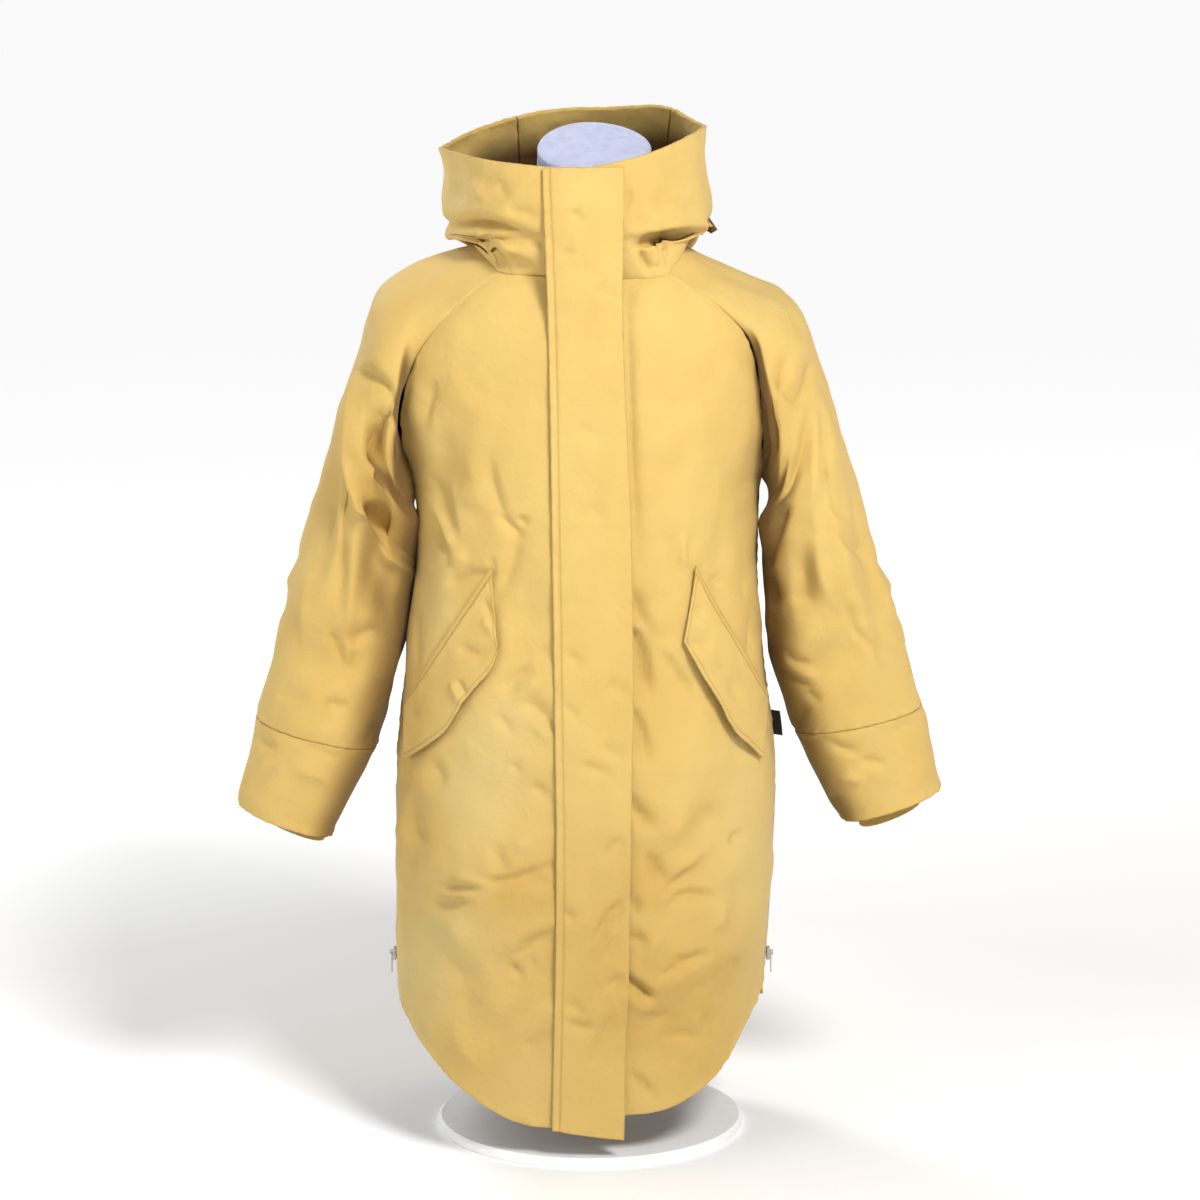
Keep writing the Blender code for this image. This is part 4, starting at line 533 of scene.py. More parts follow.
# A crease is a stroke drawn in a picture: a ridge, or a trough where its depth is below zero,
# in millimetres. Its first half width is the one to its left, or below it where it is drawn
# across, and its second the one to its right or above. start and end are the shares of its
# depth that it has at its two ends. The strokes of each piece in each picture are rows of those
# five, with the points they pass through: pixels in the front picture, which is the photograph,
# and millimetres, the second one up from the floor, in the others.
Crease = namedtuple("Crease", "piece view depth left right start end points")
STROKES = {
    ("arm_right", "front"): (
        (9, 2.5, 7, 0.5, 0.9, (356, 372), (353, 418), (347, 457), (349, 487), (357, 510)),
        (8, 6, 3, 0.9, 0.3, (357, 510), (368, 531), (385, 553), (400, 565), (414, 573)),
        (-15, 4, 13, 0.3, 0.4, (364, 503), (374, 521), (386, 535), (400, 547)),
        (-6, 8, 5, 0.1, 0.1, (347, 415), (341, 450), (340, 485), (348, 522), (356, 560)),
        (-14, 5, 7, 0.5, 0, (390, 415), (380, 420), (373, 434), (373, 457), (376, 481), (381, 506)),
        (5, 5, 5, 0.4, 0, (396, 424), (388, 434), (386, 460), (389, 488), (392, 505)),
        (-8, 8, 4, 0.5, 0.6, (357, 368), (372, 375), (384, 384), (394, 397)),
        (4, 6, 6, 0, 0, (362, 385), (366, 410), (362, 440), (358, 470)),
        (-4, 3, 3, 0.3, 0.1, (396, 438), (399, 460), (404, 478)),
        (4, 4, 4, 0.2, 0.2, (404, 447), (408, 468), (413, 488)),
        (-6, 9, 8, 0, 0, (335, 470), (337, 504), (340, 552), (340, 590), (334, 628)),
        (5, 6, 5, 0.2, 0.1, (353, 516), (352, 565), (350, 613), (346, 650)),
        (-6, 5, 11, 0.1, 0.2, (349, 648), (361, 638), (375, 633), (390, 644)),
        (-4, 5, 5, 0.3, 0.1, (329, 628), (336, 648), (344, 667)),
        (3, 4, 4, 0.2, 0, (352, 640), (348, 655), (345, 668)),
        (4, 11, 6, 0.2, 0.3, (385, 578), (392, 612), (394, 645), (390, 688), (384, 722)),
        (-4, 8, 10, 0, 0, (270, 692), (292, 699), (314, 697)),
        (-4, 6, 8, 0, 0, (322, 700), (338, 708), (356, 708)),
        (-3, 4, 5, 0.5, 0, (365, 742), (374, 732), (379, 719)),
        (-3, 4, 5, 0.3, 0, (247, 786), (262, 778), (282, 769)),
        (-3, 4, 4, 0.3, 0, (258, 738), (266, 745), (280, 750)),
        (3, 7, 7, 0, 0, (290, 770), (318, 776), (345, 790)),
        (-3, 6, 6, 0, 0, (300, 740), (325, 752), (348, 768)),
        (4, 9, 9, 0, 0, (312, 560), (304, 610), (300, 655)),
    ),
    ("arm_left", "front"): (
        (-7, 9, 5, 0.2, 0.3, (791, 350), (785, 370), (777, 390), (766, 406)),
        (-5, 3, 9, 0.3, 0.5, (776, 386), (788, 394), (798, 402)),
        (-7, 7, 3, 0.1, 0.2, (813, 352), (815, 366), (811, 384), (804, 398), (795, 411)),
        (-13, 6, 8, 0.7, 0.5, (763, 416), (767, 432), (766, 448), (761, 464)),
        (5, 10, 5, 0.2, 0.3, (816, 388), (816, 430), (815, 470), (813, 507), (820, 552)),
        (-4, 4, 9, 0, 0, (823, 398), (824, 450), (827, 505)),
        (-9, 5, 5, 0.2, 0.5, (790, 498), (783, 515), (776, 535), (769, 558)),
        (4, 6, 4, 0.2, 0.2, (792, 492), (779, 508), (768, 526)),
        (-4, 5, 6, 0.1, 0, (817, 456), (827, 480), (839, 503), (856, 526)),
        (-3, 4, 5, 0, 0, (827, 504), (838, 512), (850, 519)),
        (-4, 4, 6, 0, 0, (832, 528), (846, 540), (862, 553), (878, 567)),
        (-4, 4, 6, 0.1, 0.1, (842, 598), (856, 630), (876, 650), (896, 667)),
        (3, 4, 5, 0, 0, (850, 612), (864, 634), (884, 651)),
        (4, 6, 6, 0.3, 0, (818, 545), (823, 575), (832, 611)),
        (-7, 6, 8, 0.5, 0.1, (760, 566), (770, 588), (775, 616)),
        (-3, 5, 8, 0, 0, (786, 602), (804, 596), (822, 606)),
        (-5, 4, 5, 0.2, 0, (781, 646), (795, 662), (808, 665), (822, 669)),
        (-4, 4, 5, 0.3, 0, (776, 667), (795, 680), (820, 692)),
        (3, 6, 5, 0.2, 0, (784, 653), (800, 671), (822, 680)),
        (-3, 4, 5, 0, 0, (800, 690), (812, 697), (824, 704)),
        (-3, 4, 5, 0.4, 0, (796, 724), (802, 713), (812, 706)),
        (-4, 4, 6, 0.4, 0, (824, 739), (842, 750), (866, 754)),
        (-3, 4, 5, 0, 0, (856, 763), (872, 763), (892, 767)),
        (4, 6, 5, 0.1, 0, (836, 781), (850, 778), (868, 782)),
        (-3, 4, 4, 0, 0.5, (832, 790), (837, 802), (845, 814)),
        (4, 9, 9, 0, 0, (850, 570), (862, 610), (880, 690)),
    ),
    ("placket", "front"): (
        (-3, 5, 7, 0, 0, (571, 208), (578, 218), (585, 228)),
        (-2, 4, 5, 0.2, 0, (560, 260), (568, 254), (577, 250)),
        (-3, 3, 8, 0, 0.6, (592, 289), (607, 293), (621, 298)),
        (-3, 7, 8, 0, 0, (562, 652), (574, 660), (586, 667)),
        (-3, 7, 9, 0, 0.5, (604, 682), (618, 690), (631, 697)),
        (-3, 3, 5, 0.3, 0, (562, 703), (570, 713), (582, 720)),
        (-3, 6, 7, 0, 0.3, (596, 748), (614, 753), (630, 760)),
        (-4, 4, 7, 0, 0, (572, 771), (590, 769), (604, 773), (617, 780)),
        (-3, 5, 6, 0.5, 0, (628, 836), (612, 848), (602, 870)),
        (-5, 5, 7, 0.5, 0, (629, 899), (612, 913), (600, 933), (585, 955)),
        (3, 7, 5, 0, 0, (616, 922), (604, 944), (592, 962)),
        (-3, 4, 5, 0.4, 0, (562, 910), (570, 918), (577, 926)),
        (-3, 4, 6, 0.6, 0, (628, 976), (616, 982), (604, 988)),
        (-3, 4, 6, 0.3, 0, (564, 1004), (576, 1010), (587, 1014)),
        (-4, 4, 6, 0.2, 0, (562, 1022), (580, 1029), (600, 1029)),
        (-3, 6, 8, 0, 0, (610, 1010), (602, 1040), (590, 1072)),
        (-2, 6, 8, 0, 0, (572, 420), (590, 436), (612, 440)),
        (-2, 6, 8, 0, 0, (568, 520), (590, 512), (616, 520)),
    ),
    ("front_right", "front"): (
        (-4, 9, 5, 0, 0.1, (435, 376), (429, 400), (422, 432)),
        (-5, 12, 8, 0.2, 0.2, (417, 468), (432, 484), (446, 505), (458, 540)),
        (3, 5, 9, 0, 0, (449, 478), (457, 510), (466, 548)),
        (-5, 5, 5, 0.1, 0.2, (424, 512), (438, 538), (451, 560)),
        (4, 5, 5, 0.1, 0.1, (430, 506), (445, 532), (458, 556)),
        (-4, 8, 5, 0, 0.2, (490, 448), (491, 480), (500, 508), (515, 531)),
        (-4, 5, 4, 0, 0.2, (494, 512), (508, 524), (523, 541)),
        (-4, 5, 5, 0, 0, (519, 514), (523, 522), (526, 530)),
        (-5, 5, 8, 0.4, 0.5, (517, 532), (513, 555), (506, 576), (498, 597)),
        (-3, 3, 3, 0.1, 0.6, (491, 556), (492, 564), (493, 573)),
        (-5, 9, 4, 0.1, 0.5, (440, 590), (454, 579), (470, 573), (487, 573)),
        (4, 6, 6, 0, 0, (448, 562), (458, 558), (467, 562)),
        (-5, 6, 8, 0.1, 0.1, (537, 666), (520, 675), (508, 684), (496, 697)),
        (3, 6, 6, 0, 0, (540, 676), (524, 688), (512, 702)),
        (-3, 4, 5, 0.5, 0, (550, 646), (544, 652), (541, 664)),
        (-3, 4, 5, 0, 0, (493, 712), (505, 725), (513, 740)),
        (-7, 5, 10, 0.1, 0.5, (516, 708), (531, 706), (542, 716), (555, 728)),
        (3, 5, 4, 0, 0, (528, 716), (540, 728), (548, 742)),
        (-3, 4, 5, 0, 0, (509, 761), (515, 769), (521, 778)),
        (-4, 5, 6, 0.1, 0.3, (531, 783), (540, 794), (552, 800)),
        (-4, 8, 7, 0.1, 0, (428, 758), (438, 774), (445, 790)),
        (-5, 7, 8, 0.1, 0, (411, 800), (412, 825), (421, 852)),
        (4, 7, 6, 0.2, 0.2, (402, 800), (402, 850), (400, 900)),
        (-4, 6, 5, 0, 0.1, (494, 838), (499, 860), (508, 876)),
        (3, 6, 6, 0, 0, (514, 836), (522, 844), (520, 858)),
        (-6, 5, 4, 0.1, 0.5, (470, 876), (490, 882), (510, 880), (535, 872), (554, 865)),
        (4, 4, 4, 0.1, 0, (442, 878), (460, 879), (480, 882), (500, 887)),
        (-4, 4, 3, 0.1, 0.1, (436, 887), (460, 888), (486, 889)),
        (3, 4, 3, 0, 0, (430, 896), (452, 898), (486, 894)),
        (-4, 8, 3, 0, 0, (424, 904), (450, 904), (480, 902)),
        (-3, 5, 5, 0, 0.3, (520, 880), (538, 881), (554, 885)),
        (4, 6, 6, 0.4, 0, (554, 921), (536, 928), (520, 937), (506, 953), (492, 969)),
        (-3, 6, 5, 0.3, 0, (550, 934), (530, 946), (512, 960)),
        (-4, 4, 4, 0, 0, (511, 962), (515, 972), (522, 982)),
        (-3, 3, 4, 0, 0, (530, 955), (532, 966), (534, 978)),
        (-4, 5, 8, 0.1, 0.2, (480, 1034), (500, 1032), (514, 1018), (528, 1006), (546, 999)),
        (-4, 5, 7, 0, 0.4, (520, 1054), (534, 1046), (551, 1036)),
        (4, 10, 10, 0, 0, (448, 1020), (462, 1050), (486, 1080)),
        (-4, 12, 12, 0, 0, (430, 930), (445, 960), (470, 990)),
        (4, 14, 14, 0, 0, (470, 920), (450, 940), (420, 980)),
        (-3, 12, 14, 0, 0, (460, 400), (490, 380), (520, 390)),
        (-3, 12, 14, 0, 0, (400, 440), (398, 480), (404, 520)),
    ),
    ("front_left", "front"): (
        (-4, 2, 6, 0.3, 0.6, (627, 300), (629, 380), (631, 440), (634, 500), (637, 560)),
        (-7, 3, 6, 0.5, 0.2, (634, 596), (639, 612), (644, 628)),
        (3, 2, 3, 0.6, 0, (633, 624), (640, 630), (648, 640)),
        (-9, 9, 4, 0.7, 0, (638, 636), (645, 656), (649, 680), (649, 706)),
        (-8, 7, 4, 0.6, 0, (636, 716), (643, 730), (646, 748), (649, 770)),
        (3, 8, 8, 0, 0, (640, 602), (654, 618), (668, 636)),
        (-3, 6, 7, 0.1, 0, (654, 646), (673, 666), (684, 686), (693, 706)),
        (3, 6, 6, 0, 0, (662, 640), (680, 664), (694, 690)),
        (-3, 5, 6, 0, 0, (678, 670), (688, 692), (700, 717)),
        (-3, 6, 4, 0, 0.3, (674, 530), (677, 560), (687, 590)),
        (3, 5, 5, 0, 0.2, (683, 535), (685, 560), (691, 578)),
        (-3, 4, 4, 0, 0.4, (694, 530), (691, 548), (691, 566)),
        (-3, 4, 4, 0, 0, (714, 572), (718, 582), (719, 594)),
        (-3, 8, 8, 0, 0, (747, 520), (746, 570), (744, 624)),
        (-8, 4, 7, 0.7, 0, (631, 806), (643, 817), (657, 835)),
        (-7, 4, 6, 0.1, 0.2, (646, 852), (655, 866), (660, 877), (664, 890)),
        (4, 5, 5, 0.2, 0, (666, 884), (680, 868), (695, 858), (714, 843)),
        (-4, 5, 3, 0.2, 0, (668, 890), (684, 876), (700, 866)),
        (-6, 5, 4, 0.2, 0, (667, 910), (677, 899), (693, 894), (710, 896), (729, 899)),
        (4, 5, 5, 0.2, 0, (729, 900), (722, 920), (712, 936)),
        (-5, 5, 5, 0.1, 0, (668, 957), (690, 962), (704, 956), (719, 954)),
        (-4, 4, 5, 0.1, 0.2, (660, 977), (675, 970), (692, 962)),
        (4, 5, 4, 0.2, 0, (664, 930), (655, 945), (650, 960), (648, 976)),
        (-10, 6, 4, 0.8, 0, (627, 981), (640, 990), (650, 999), (658, 1007)),
        (4, 5, 5, 0.3, 0, (632, 1000), (645, 1008), (652, 1016)),
        (-5, 5, 5, 0.3, 0, (632, 896), (635, 906), (636, 920)),
        (-5, 4, 6, 0.6, 0, (630, 938), (638, 940), (648, 946)),
        (-3, 5, 6, 0, 0, (644, 1024), (658, 1018), (674, 1015)),
        (-3, 5, 6, 0, 0, (660, 1034), (682, 1036), (714, 1042)),
        (-5, 4, 4, 0.2, 0.1, (631, 1072), (645, 1087), (660, 1104)),
        (-4, 3, 3, 0, 0, (731, 845), (736, 838), (742, 831)),
        (-3, 5, 6, 0, 0, (726, 958), (736, 966), (747, 979)),
        (4, 10, 10, 0, 0, (690, 800), (676, 830), (664, 850)),
        (-3, 10, 12, 0, 0, (716, 800), (706, 826), (692, 846)),
        (3, 10, 12, 0, 0, (690, 980), (700, 1010), (690, 1050)),
        (-3, 12, 12, 0, 0, (735, 860), (740, 900), (735, 930)),
        (-3, 14, 14, 0, 0, (640, 380), (660, 400), (690, 410)),
        (2, 12, 14, 0, 0, (700, 400), (705, 440), (700, 490)),
    ),
    ("hood", "front"): (
        (-9, 4, 7, 0.9, 0.3, (446, 230), (456, 226), (476, 223), (501, 227), (522, 236), (540, 244)),
        (4, 5, 9, 0.4, 0.1, (450, 218), (476, 214), (502, 217), (530, 230)),
        (5, 6, 5, 0.7, 0.2, (446, 240), (462, 237), (480, 235), (500, 243), (522, 256), (540, 268)),
        (-7, 3, 6, 0.8, 0.5, (443, 252), (462, 251), (479, 250), (486, 242)),
        (-8, 6, 4, 0.7, 0.3, (486, 243), (492, 250), (499, 259), (507, 268)),
        (-5, 7, 5, 0.1, 0.2, (508, 251), (522, 261), (537, 269)),
        (-9, 5, 4, 0.1, 0.3, (628, 254), (640, 244), (651, 239), (665, 238), (684, 234), (708, 234)),
        (4, 5, 9, 0.2, 0.1, (640, 234), (660, 228), (688, 224), (706, 225)),
        (-6, 3, 3, 0.3, 0.1, (641, 250), (645, 262), (649, 273)),
        (5, 4, 4, 0.4, 0.1, (654, 243), (656, 256), (653, 270)),
        (-6, 3, 3, 0.5, 0.1, (664, 242), (661, 254), (658, 264)),
        (-6, 3, 4, 0.6, 0.3, (671, 240), (670, 250), (668, 262)),
        (-3, 5, 6, 0, 0.2, (506, 210), (524, 213), (542, 218)),
        (3, 8, 9, 0.1, 0.2, (630, 240), (656, 216), (680, 200), (704, 190)),
        (-3, 6, 7, 0, 0, (650, 205), (670, 196), (690, 186)),
        (-3, 5, 6, 0.3, 0, (452, 178), (456, 195), (463, 208)),
        (3, 5, 6, 0.1, 0, (470, 178), (478, 194), (492, 204)),
        (-3, 6, 8, 0.1, 0, (497, 176), (500, 190), (512, 200)),
        (-4, 4, 6, 0.2, 0.1, (625, 215), (630, 200), (634, 182)),
        (-3, 4, 6, 0.4, 0, (632, 226), (644, 222), (656, 214)),
    ),
    ("pocket_flap_right", "front"): (
        (-3, 4, 4, 0, 0.6, (482, 598), (487, 608), (492, 619)),
        (3, 4, 4, 0, 0.6, (479, 618), (487, 626), (496, 638)),
        (-4, 6, 5, 0.1, 0.4, (452, 645), (466, 651), (478, 655), (494, 646)),
        (3, 3, 3, 0, 0.5, (448, 680), (455, 692), (462, 706)),
        (-3, 3, 3, 0, 0.6, (455, 678), (461, 687), (468, 698)),
        (-2, 4, 4, 0.2, 0, (411, 703), (413, 712), (417, 724)),
    ),
    ("pocket_flap_left", "front"): (
        (-3, 7, 8, 0.3, 0, (682, 646), (699, 643), (722, 643)),
        (3, 7, 8, 0.2, 0, (690, 665), (704, 662), (724, 664)),
        (-2, 5, 6, 0, 0, (729, 676), (735, 690), (742, 706)),
        (-2, 5, 6, 0.2, 0, (693, 604), (698, 612), (706, 618)),
    ),
    ("back", "back"): (
        (-6, 8, 12, 0.3, 0, (150, 668), (108, 614), (62, 576), (6, 552)),
        (-5, 12, 8, 0.3, 0, (-150, 664), (-112, 612), (-58, 580), (-12, 566)),
        (-5, 9, 13, 0.4, 0, (-168, 478), (-122, 446), (-74, 434), (-20, 444)),
        (-5, 13, 9, 0.4, 0, (170, 452), (128, 412), (76, 398), (26, 406)),
        (4, 16, 18, 0, 0, (-38, 530), (-58, 440), (-50, 340), (-74, 232)),
        (-5, 10, 16, 0, 0, (42, 510), (62, 420), (46, 326), (64, 214)),
        (-6, 9, 13, 0.1, 0, (-152, 310), (-104, 246), (-46, 208), (18, 202)),
        (-5, 13, 9, 0.1, 0, (154, 332), (112, 276), (64, 246), (6, 236)),
        (-5, 9, 11, 0, 0, (-112, 186), (-62, 136), (-6, 112), (58, 124)),
        (-6, 10, 8, 0, 0, (96, 850), (82, 782), (98, 716), (92, 650)),
        (-6, 8, 10, 0, 0, (-94, 846), (-82, 776), (-100, 704), (-86, 650)),
        (-6, 9, 7, 0.3, 0, (-150, 690), (-138, 650), (-120, 600), (-112, 560)),
        (5, 8, 8, 0.1, 0, (-128, 690), (-118, 650), (-104, 610)),
        (-6, 7, 9, 0.3, 0, (152, 700), (140, 655), (128, 610), (122, 570)),
        (5, 8, 8, 0.1, 0, (132, 690), (120, 650), (110, 600)),
        (-5, 6, 9, 0, 0, (-80, 640), (-40, 622), (10, 618), (60, 630)),
        (4, 8, 6, 0, 0, (-60, 606), (-10, 592), (50, 600)),
        (-5, 6, 8, 0, 0.1, (-20, 570), (30, 560), (82, 572), (120, 590)),
        (-4, 8, 8, 0, 0, (-96, 560), (-60, 540), (-20, 546)),
        (-5, 9, 8, 0, 0, (-60, 800), (-52, 740), (-58, 690)),
        (-5, 8, 9, 0, 0, (66, 810), (56, 750), (62, 700)),
        (4, 12, 12, 0, 0, (0, 790), (4, 720), (-4, 660)),
        (-6, 10, 8, 0, 0, (-96, 460), (-88, 400), (-96, 330), (-90, 270)),
        (5, 10, 10, 0, 0, (-56, 440), (-50, 360), (-58, 290)),
        (-6, 8, 10, 0, 0, (70, 450), (78, 380), (72, 300), (80, 240)),
        (5, 10, 9, 0, 0, (108, 420), (112, 350), (106, 290)),
        (-4, 6, 8, 0, 0, (-30, 390), (10, 376), (44, 386)),
        (-4, 6, 8, 0, 0, (-10, 260), (30, 248), (60, 256)),
        (-5, 8, 6, 0, 0, (-130, 210), (-100, 176), (-70, 160)),
        (-4, 6, 7, 0, 0, (30, 150), (60, 132), (96, 140)),
        (4, 8, 8, 0, 0, (-30, 190), (-24, 140), (-36, 90)),
        (-4, 5, 6, 0, 0.2, (130, 260), (150, 230), (168, 210)),
        (-4, 5, 6, 0.2, 0, (-168, 330), (-150, 300), (-140, 262)),
        (-4, 6, 6, 0, 0.2, (150, 480), (166, 440), (176, 400)),
    ),
    ("arm_right", "back"): (
        (-7, 7, 6, 0.2, 0, (206, 740), (212, 690), (222, 640)),
        (5, 7, 7, 0.1, 0, (228, 730), (234, 690), (240, 640)),
        (-6, 7, 5, 0.3, 0, (200, 610), (222, 592), (252, 588)),
        (-5, 6, 6, 0.3, 0, (208, 580), (232, 556), (262, 548)),
        (4, 6, 6, 0.2, 0, (206, 596), (230, 574), (260, 568)),
        (-4, 6, 6, 0, 0, (262, 520), (280, 490), (292, 450)),
        (-4, 5, 6, 0, 0.1, (300, 420), (316, 400), (332, 396)),
    ),
    ("arm_left", "back"): (
        (-7, 6, 7, 0.2, 0, (-200, 740), (-204, 690), (-214, 640)),
        (5, 7, 7, 0.1, 0, (-222, 735), (-226, 690), (-232, 640)),
        (-6, 5, 7, 0, 0.3, (-246, 590), (-222, 596), (-196, 616)),
        (-5, 6, 6, 0, 0.3, (-262, 560), (-232, 566), (-204, 584)),
        (4, 6, 6, 0, 0.2, (-254, 576), (-228, 582), (-200, 600)),
        (-4, 6, 6, 0, 0, (-262, 530), (-276, 500), (-290, 460)),
        (-4, 5, 6, 0.1, 0, (-330, 400), (-312, 404), (-296, 424)),
    ),
    ("hood", "back"): (
        (-8, 6, 8, 0.3, 0.3, (-96, 930), (-60, 914), (-10, 908), (50, 912), (90, 928)),
        (5, 7, 7, 0.1, 0.1, (-80, 900), (-30, 884), (30, 884), (70, 898)),
        (-5, 6, 6, 0.2, 0, (-40, 1030), (-34, 990), (-44, 950)),
        (-5, 6, 6, 0.2, 0, (56, 1034), (46, 990), (56, 952)),
        (4, 7, 7, 0.1, 0, (6, 1030), (10, 990), (2, 955)),
    ),
    ("arm_right", "right"): (
        (-2.25, 6, 6, 0.1, 0, (30, 760), (10, 720), (-16, 700)),
        (-2.25, 6, 7, 0, 0.1, (-36, 620), (-8, 600), (24, 606)),
        (2.25, 6, 6, 0, 0, (-34, 596), (-4, 576), (26, 584)),
        (-2.25, 6, 7, 0, 0.1, (-30, 560), (0, 548), (30, 556)),
        (-1.8, 7, 6, 0, 0, (10, 520), (14, 480), (6, 446)),
    ),
    ("arm_left", "left"): (
        (-2.25, 6, 6, 0.1, 0, (-30, 750), (-8, 712), (18, 696)),
        (-2.25, 6, 7, 0.1, 0, (-26, 606), (4, 592), (36, 602)),
        (2.25, 6, 6, 0, 0, (-24, 584), (6, 570), (36, 580)),
        (-2.25, 6, 7, 0.1, 0, (-30, 548), (0, 540), (30, 550)),
        (-1.8, 7, 6, 0, 0, (-10, 520), (-12, 480), (-4, 446)),
    ),
    ("front_right", "right"): (
        (-2.25, 7, 7, 0.1, 0, (60, 560), (80, 520), (84, 470)),
    ),
    ("front_left", "left"): (
        (-2.25, 7, 7, 0.1, 0, (-60, 560), (-80, 520), (-84, 470)),
    ),
    ("back", "right"): (
        (-2.25, 7, 7, 0.1, 0, (-70, 600), (-84, 540), (-80, 480)),
        (-2.25, 8, 8, 0.1, 0, (-60, 330), (-90, 300), (-110, 250)),
    ),
    ("back", "left"): (
        (-2.25, 7, 7, 0.1, 0, (70, 600), (84, 540), (80, 480)),
        (-2.25, 8, 8, 0.1, 0, (60, 340), (92, 310), (112, 260)),
    ),
    ("hood", "right"): (
        (-6, 5, 7, 0.2, 0.1, (60, 950), (20, 944), (-30, 942), (-90, 930)),
        (5, 6, 6, 0.1, 0.1, (40, 928), (0, 922), (-60, 912), (-110, 900)),
        (-5, 6, 6, 0.1, 0, (-60, 1020), (-90, 990), (-130, 970)),
    ),
    ("hood", "left"): (
        (-6, 5, 7, 0.2, 0.1, (-60, 950), (-20, 944), (30, 940), (90, 930)),
        (5, 6, 6, 0.1, 0.1, (-40, 926), (0, 920), (60, 910), (110, 898)),
        (-5, 6, 6, 0.1, 0, (60, 1024), (90, 994), (130, 972)),
    ),
}


def behind(crease):
    """A crease like this one, on the back: as far from the centre, but to the other hand."""
    centre, level = PICTURE / 2, PICTURE / 2 + BEHIND_DROP
    points = [((x - centre) * PIXEL, VIEW_HEIGHT * MM - (y - level) * PIXEL) for x, y in crease.points]
    depth = max(-BEHIND_DEEPEST, min(BEHIND_DEEPEST, crease.depth))
    return crease._replace(piece="back", view="back", depth=depth, points=points, start=0.0, end=0.0)


DRAWN = [
    Crease(piece, view, *row[:5], row[5:])
    for (piece, view), rows in STROKES.items()
    for row in rows
]
ON_FRONTS = [c for c in DRAWN if c.view == "front" and c.piece in ("front_right", "front_left")]
LIKE_FRONT = [
    behind(crease)
    for k, crease in enumerate(ON_FRONTS)
    if k % BEHIND_CYCLE != BEHIND_SKIPPED and crease.points[0][1] > BEHIND_FROM
]
CREASES = (*LIKE_FRONT, *DRAWN)

# A swell draws what lies near its centre along with it: all in metres.
Swell = namedtuple("Swell", "piece centre reach move")
SWELLS = table(
    Swell,
    ("hood", (0.080, 0.100, 1.050), 0.055, (0.002, 0.000, 0.011)),
    ("arm_right", (-0.190, -0.035, 0.662), 0.036, (0.019, 0.000, 0.000)),
    ("arm_left", (0.186, -0.035, 0.655), 0.040, (-0.008, 0.000, 0.000)),
    ("hood", (-0.095, 0.060, 1.035), 0.035, (0.000, 0.000, 0.004)),
)

# Soft spots in the photograph's pixels: where the cloth is faded, and where it is darker. The darker
# ones are painted shade, and so is the broad faded spot over the lower front.
Spot = namedtuple("Spot", "across down half_across half_down strength")
FADING_AND_SHADE = table(
    Spot,
    (470, 800, 50, 55, 0.62),
    (455, 940, 52, 38, 0.60),
    (415, 1010, 26, 70, 0.55),
    (505, 725, 45, 40, 0.35),
    (430, 600, 22, 60, 0.45),
    (748, 850, 34, 120, 0.50),
    (735, 1000, 40, 50, 0.35),
    (520, 1060, 40, 40, 0.20),
    (360, 250, 60, 60, 0.25),
    (760, 290, 50, 40, 0.25),
    (450, 180, 26, 40, 0.35),
    # Painted shade: this broad spot, with the broad darker one, greys and darkens the lower front.
    (560, 960, 150, 150, 0.35),
)
# Painted shade: darker spots where the cloth lies in shadow, in folds, by the arms and over the lower front.
SHADED = table(
    Spot,
    (418, 820, 26, 60, 0.65),
    (520, 895, 34, 34, 0.55),
    (420, 720, 26, 60, 0.45),
    (668, 1010, 50, 44, 0.60),
    (650, 880, 30, 40, 0.50),
    (600, 960, 24, 120, 0.25),
    (690, 1080, 50, 40, 0.40),
    (470, 1060, 60, 40, 0.35),
    (640, 640, 26, 120, 0.35),
    (770, 450, 30, 70, 0.40),
    (370, 480, 46, 110, 0.45),
    (355, 640, 60, 60, 0.35),
    (840, 700, 60, 60, 0.35),
    (660, 170, 40, 40, 0.30),
    (590, 330, 20, 60, 0.15),
    (590, 960, 170, 160, 0.80),
    (715, 980, 46, 70, 0.50),
    (385, 500, 26, 60, 0.80),
)


# ---------------------------------------------------------------- curves
def through(knots, values):
    """A smooth function that passes through each value at its knot."""
    knots = np.asarray(knots, float)
    values = np.asarray(values, float)
    slopes = np.gradient(values, knots, axis=0)

    def at(t):
        t = float(np.clip(t, knots[0], knots[-1]))
        i = int(np.clip(np.searchsorted(knots, t, side="right") - 1, 0, len(knots) - 2))
        span = knots[i + 1] - knots[i]
        u = (t - knots[i]) / span
        start = values[i] * (1 + 2 * u) * (1 - u) ** 2 + slopes[i] * span * u * (1 - u) ** 2
        end = values[i + 1] * u * u * (3 - 2 * u) - slopes[i + 1] * span * u * u * (1 - u)
        return start + end

    return at


def column(rows, key, name):
    """A table's named column as a smooth function of its key column."""
    return through([getattr(r, key) for r in rows], [getattr(r, name) for r in rows])


def by_length(points):
    """A smooth curve through the points, as a function of the share of its length."""
    points = np.asarray(points, float)
    curve = through(np.arange(len(points)), points)
    fine = np.array([curve(t) for t in np.linspace(0, len(points) - 1, CURVE_PLACES * len(points))])
    run = np.concatenate([[0.0], np.cumsum(np.linalg.norm(np.diff(fine, axis=0), axis=1))])
    return lambda share: np.array([np.interp(share * run[-1], run, fine[:, k]) for k in range(3)])


def unit(v):
    return v / np.linalg.norm(v)


def at_least(share, value):
    """A value between 0 and 1, raised so that it starts from this share."""
    return share + (1 - share) * value


def bent(value, power):
    """A sine or cosine raised so that a circle becomes a superellipse."""
    return math.copysign(abs(value) ** (2.0 / power), value)


def clipped(value, low=0.0, high=1.0):
    return min(max(value, low), high)


def relief(surface, across, along):
    """How far the named surface's folds move this place out."""
    out = 0.0
    for fold in FOLDS.get(surface, ()):
        b = along - fold.along
        a = across - fold.across - fold.lean * b
        if surface in TURNED:
            a = (a + 0.5) % 1.0 - 0.5
        out += fold.depth * math.exp(-((a / fold.half_across) ** 2) - (b / fold.half_along) ** 2)
    return out


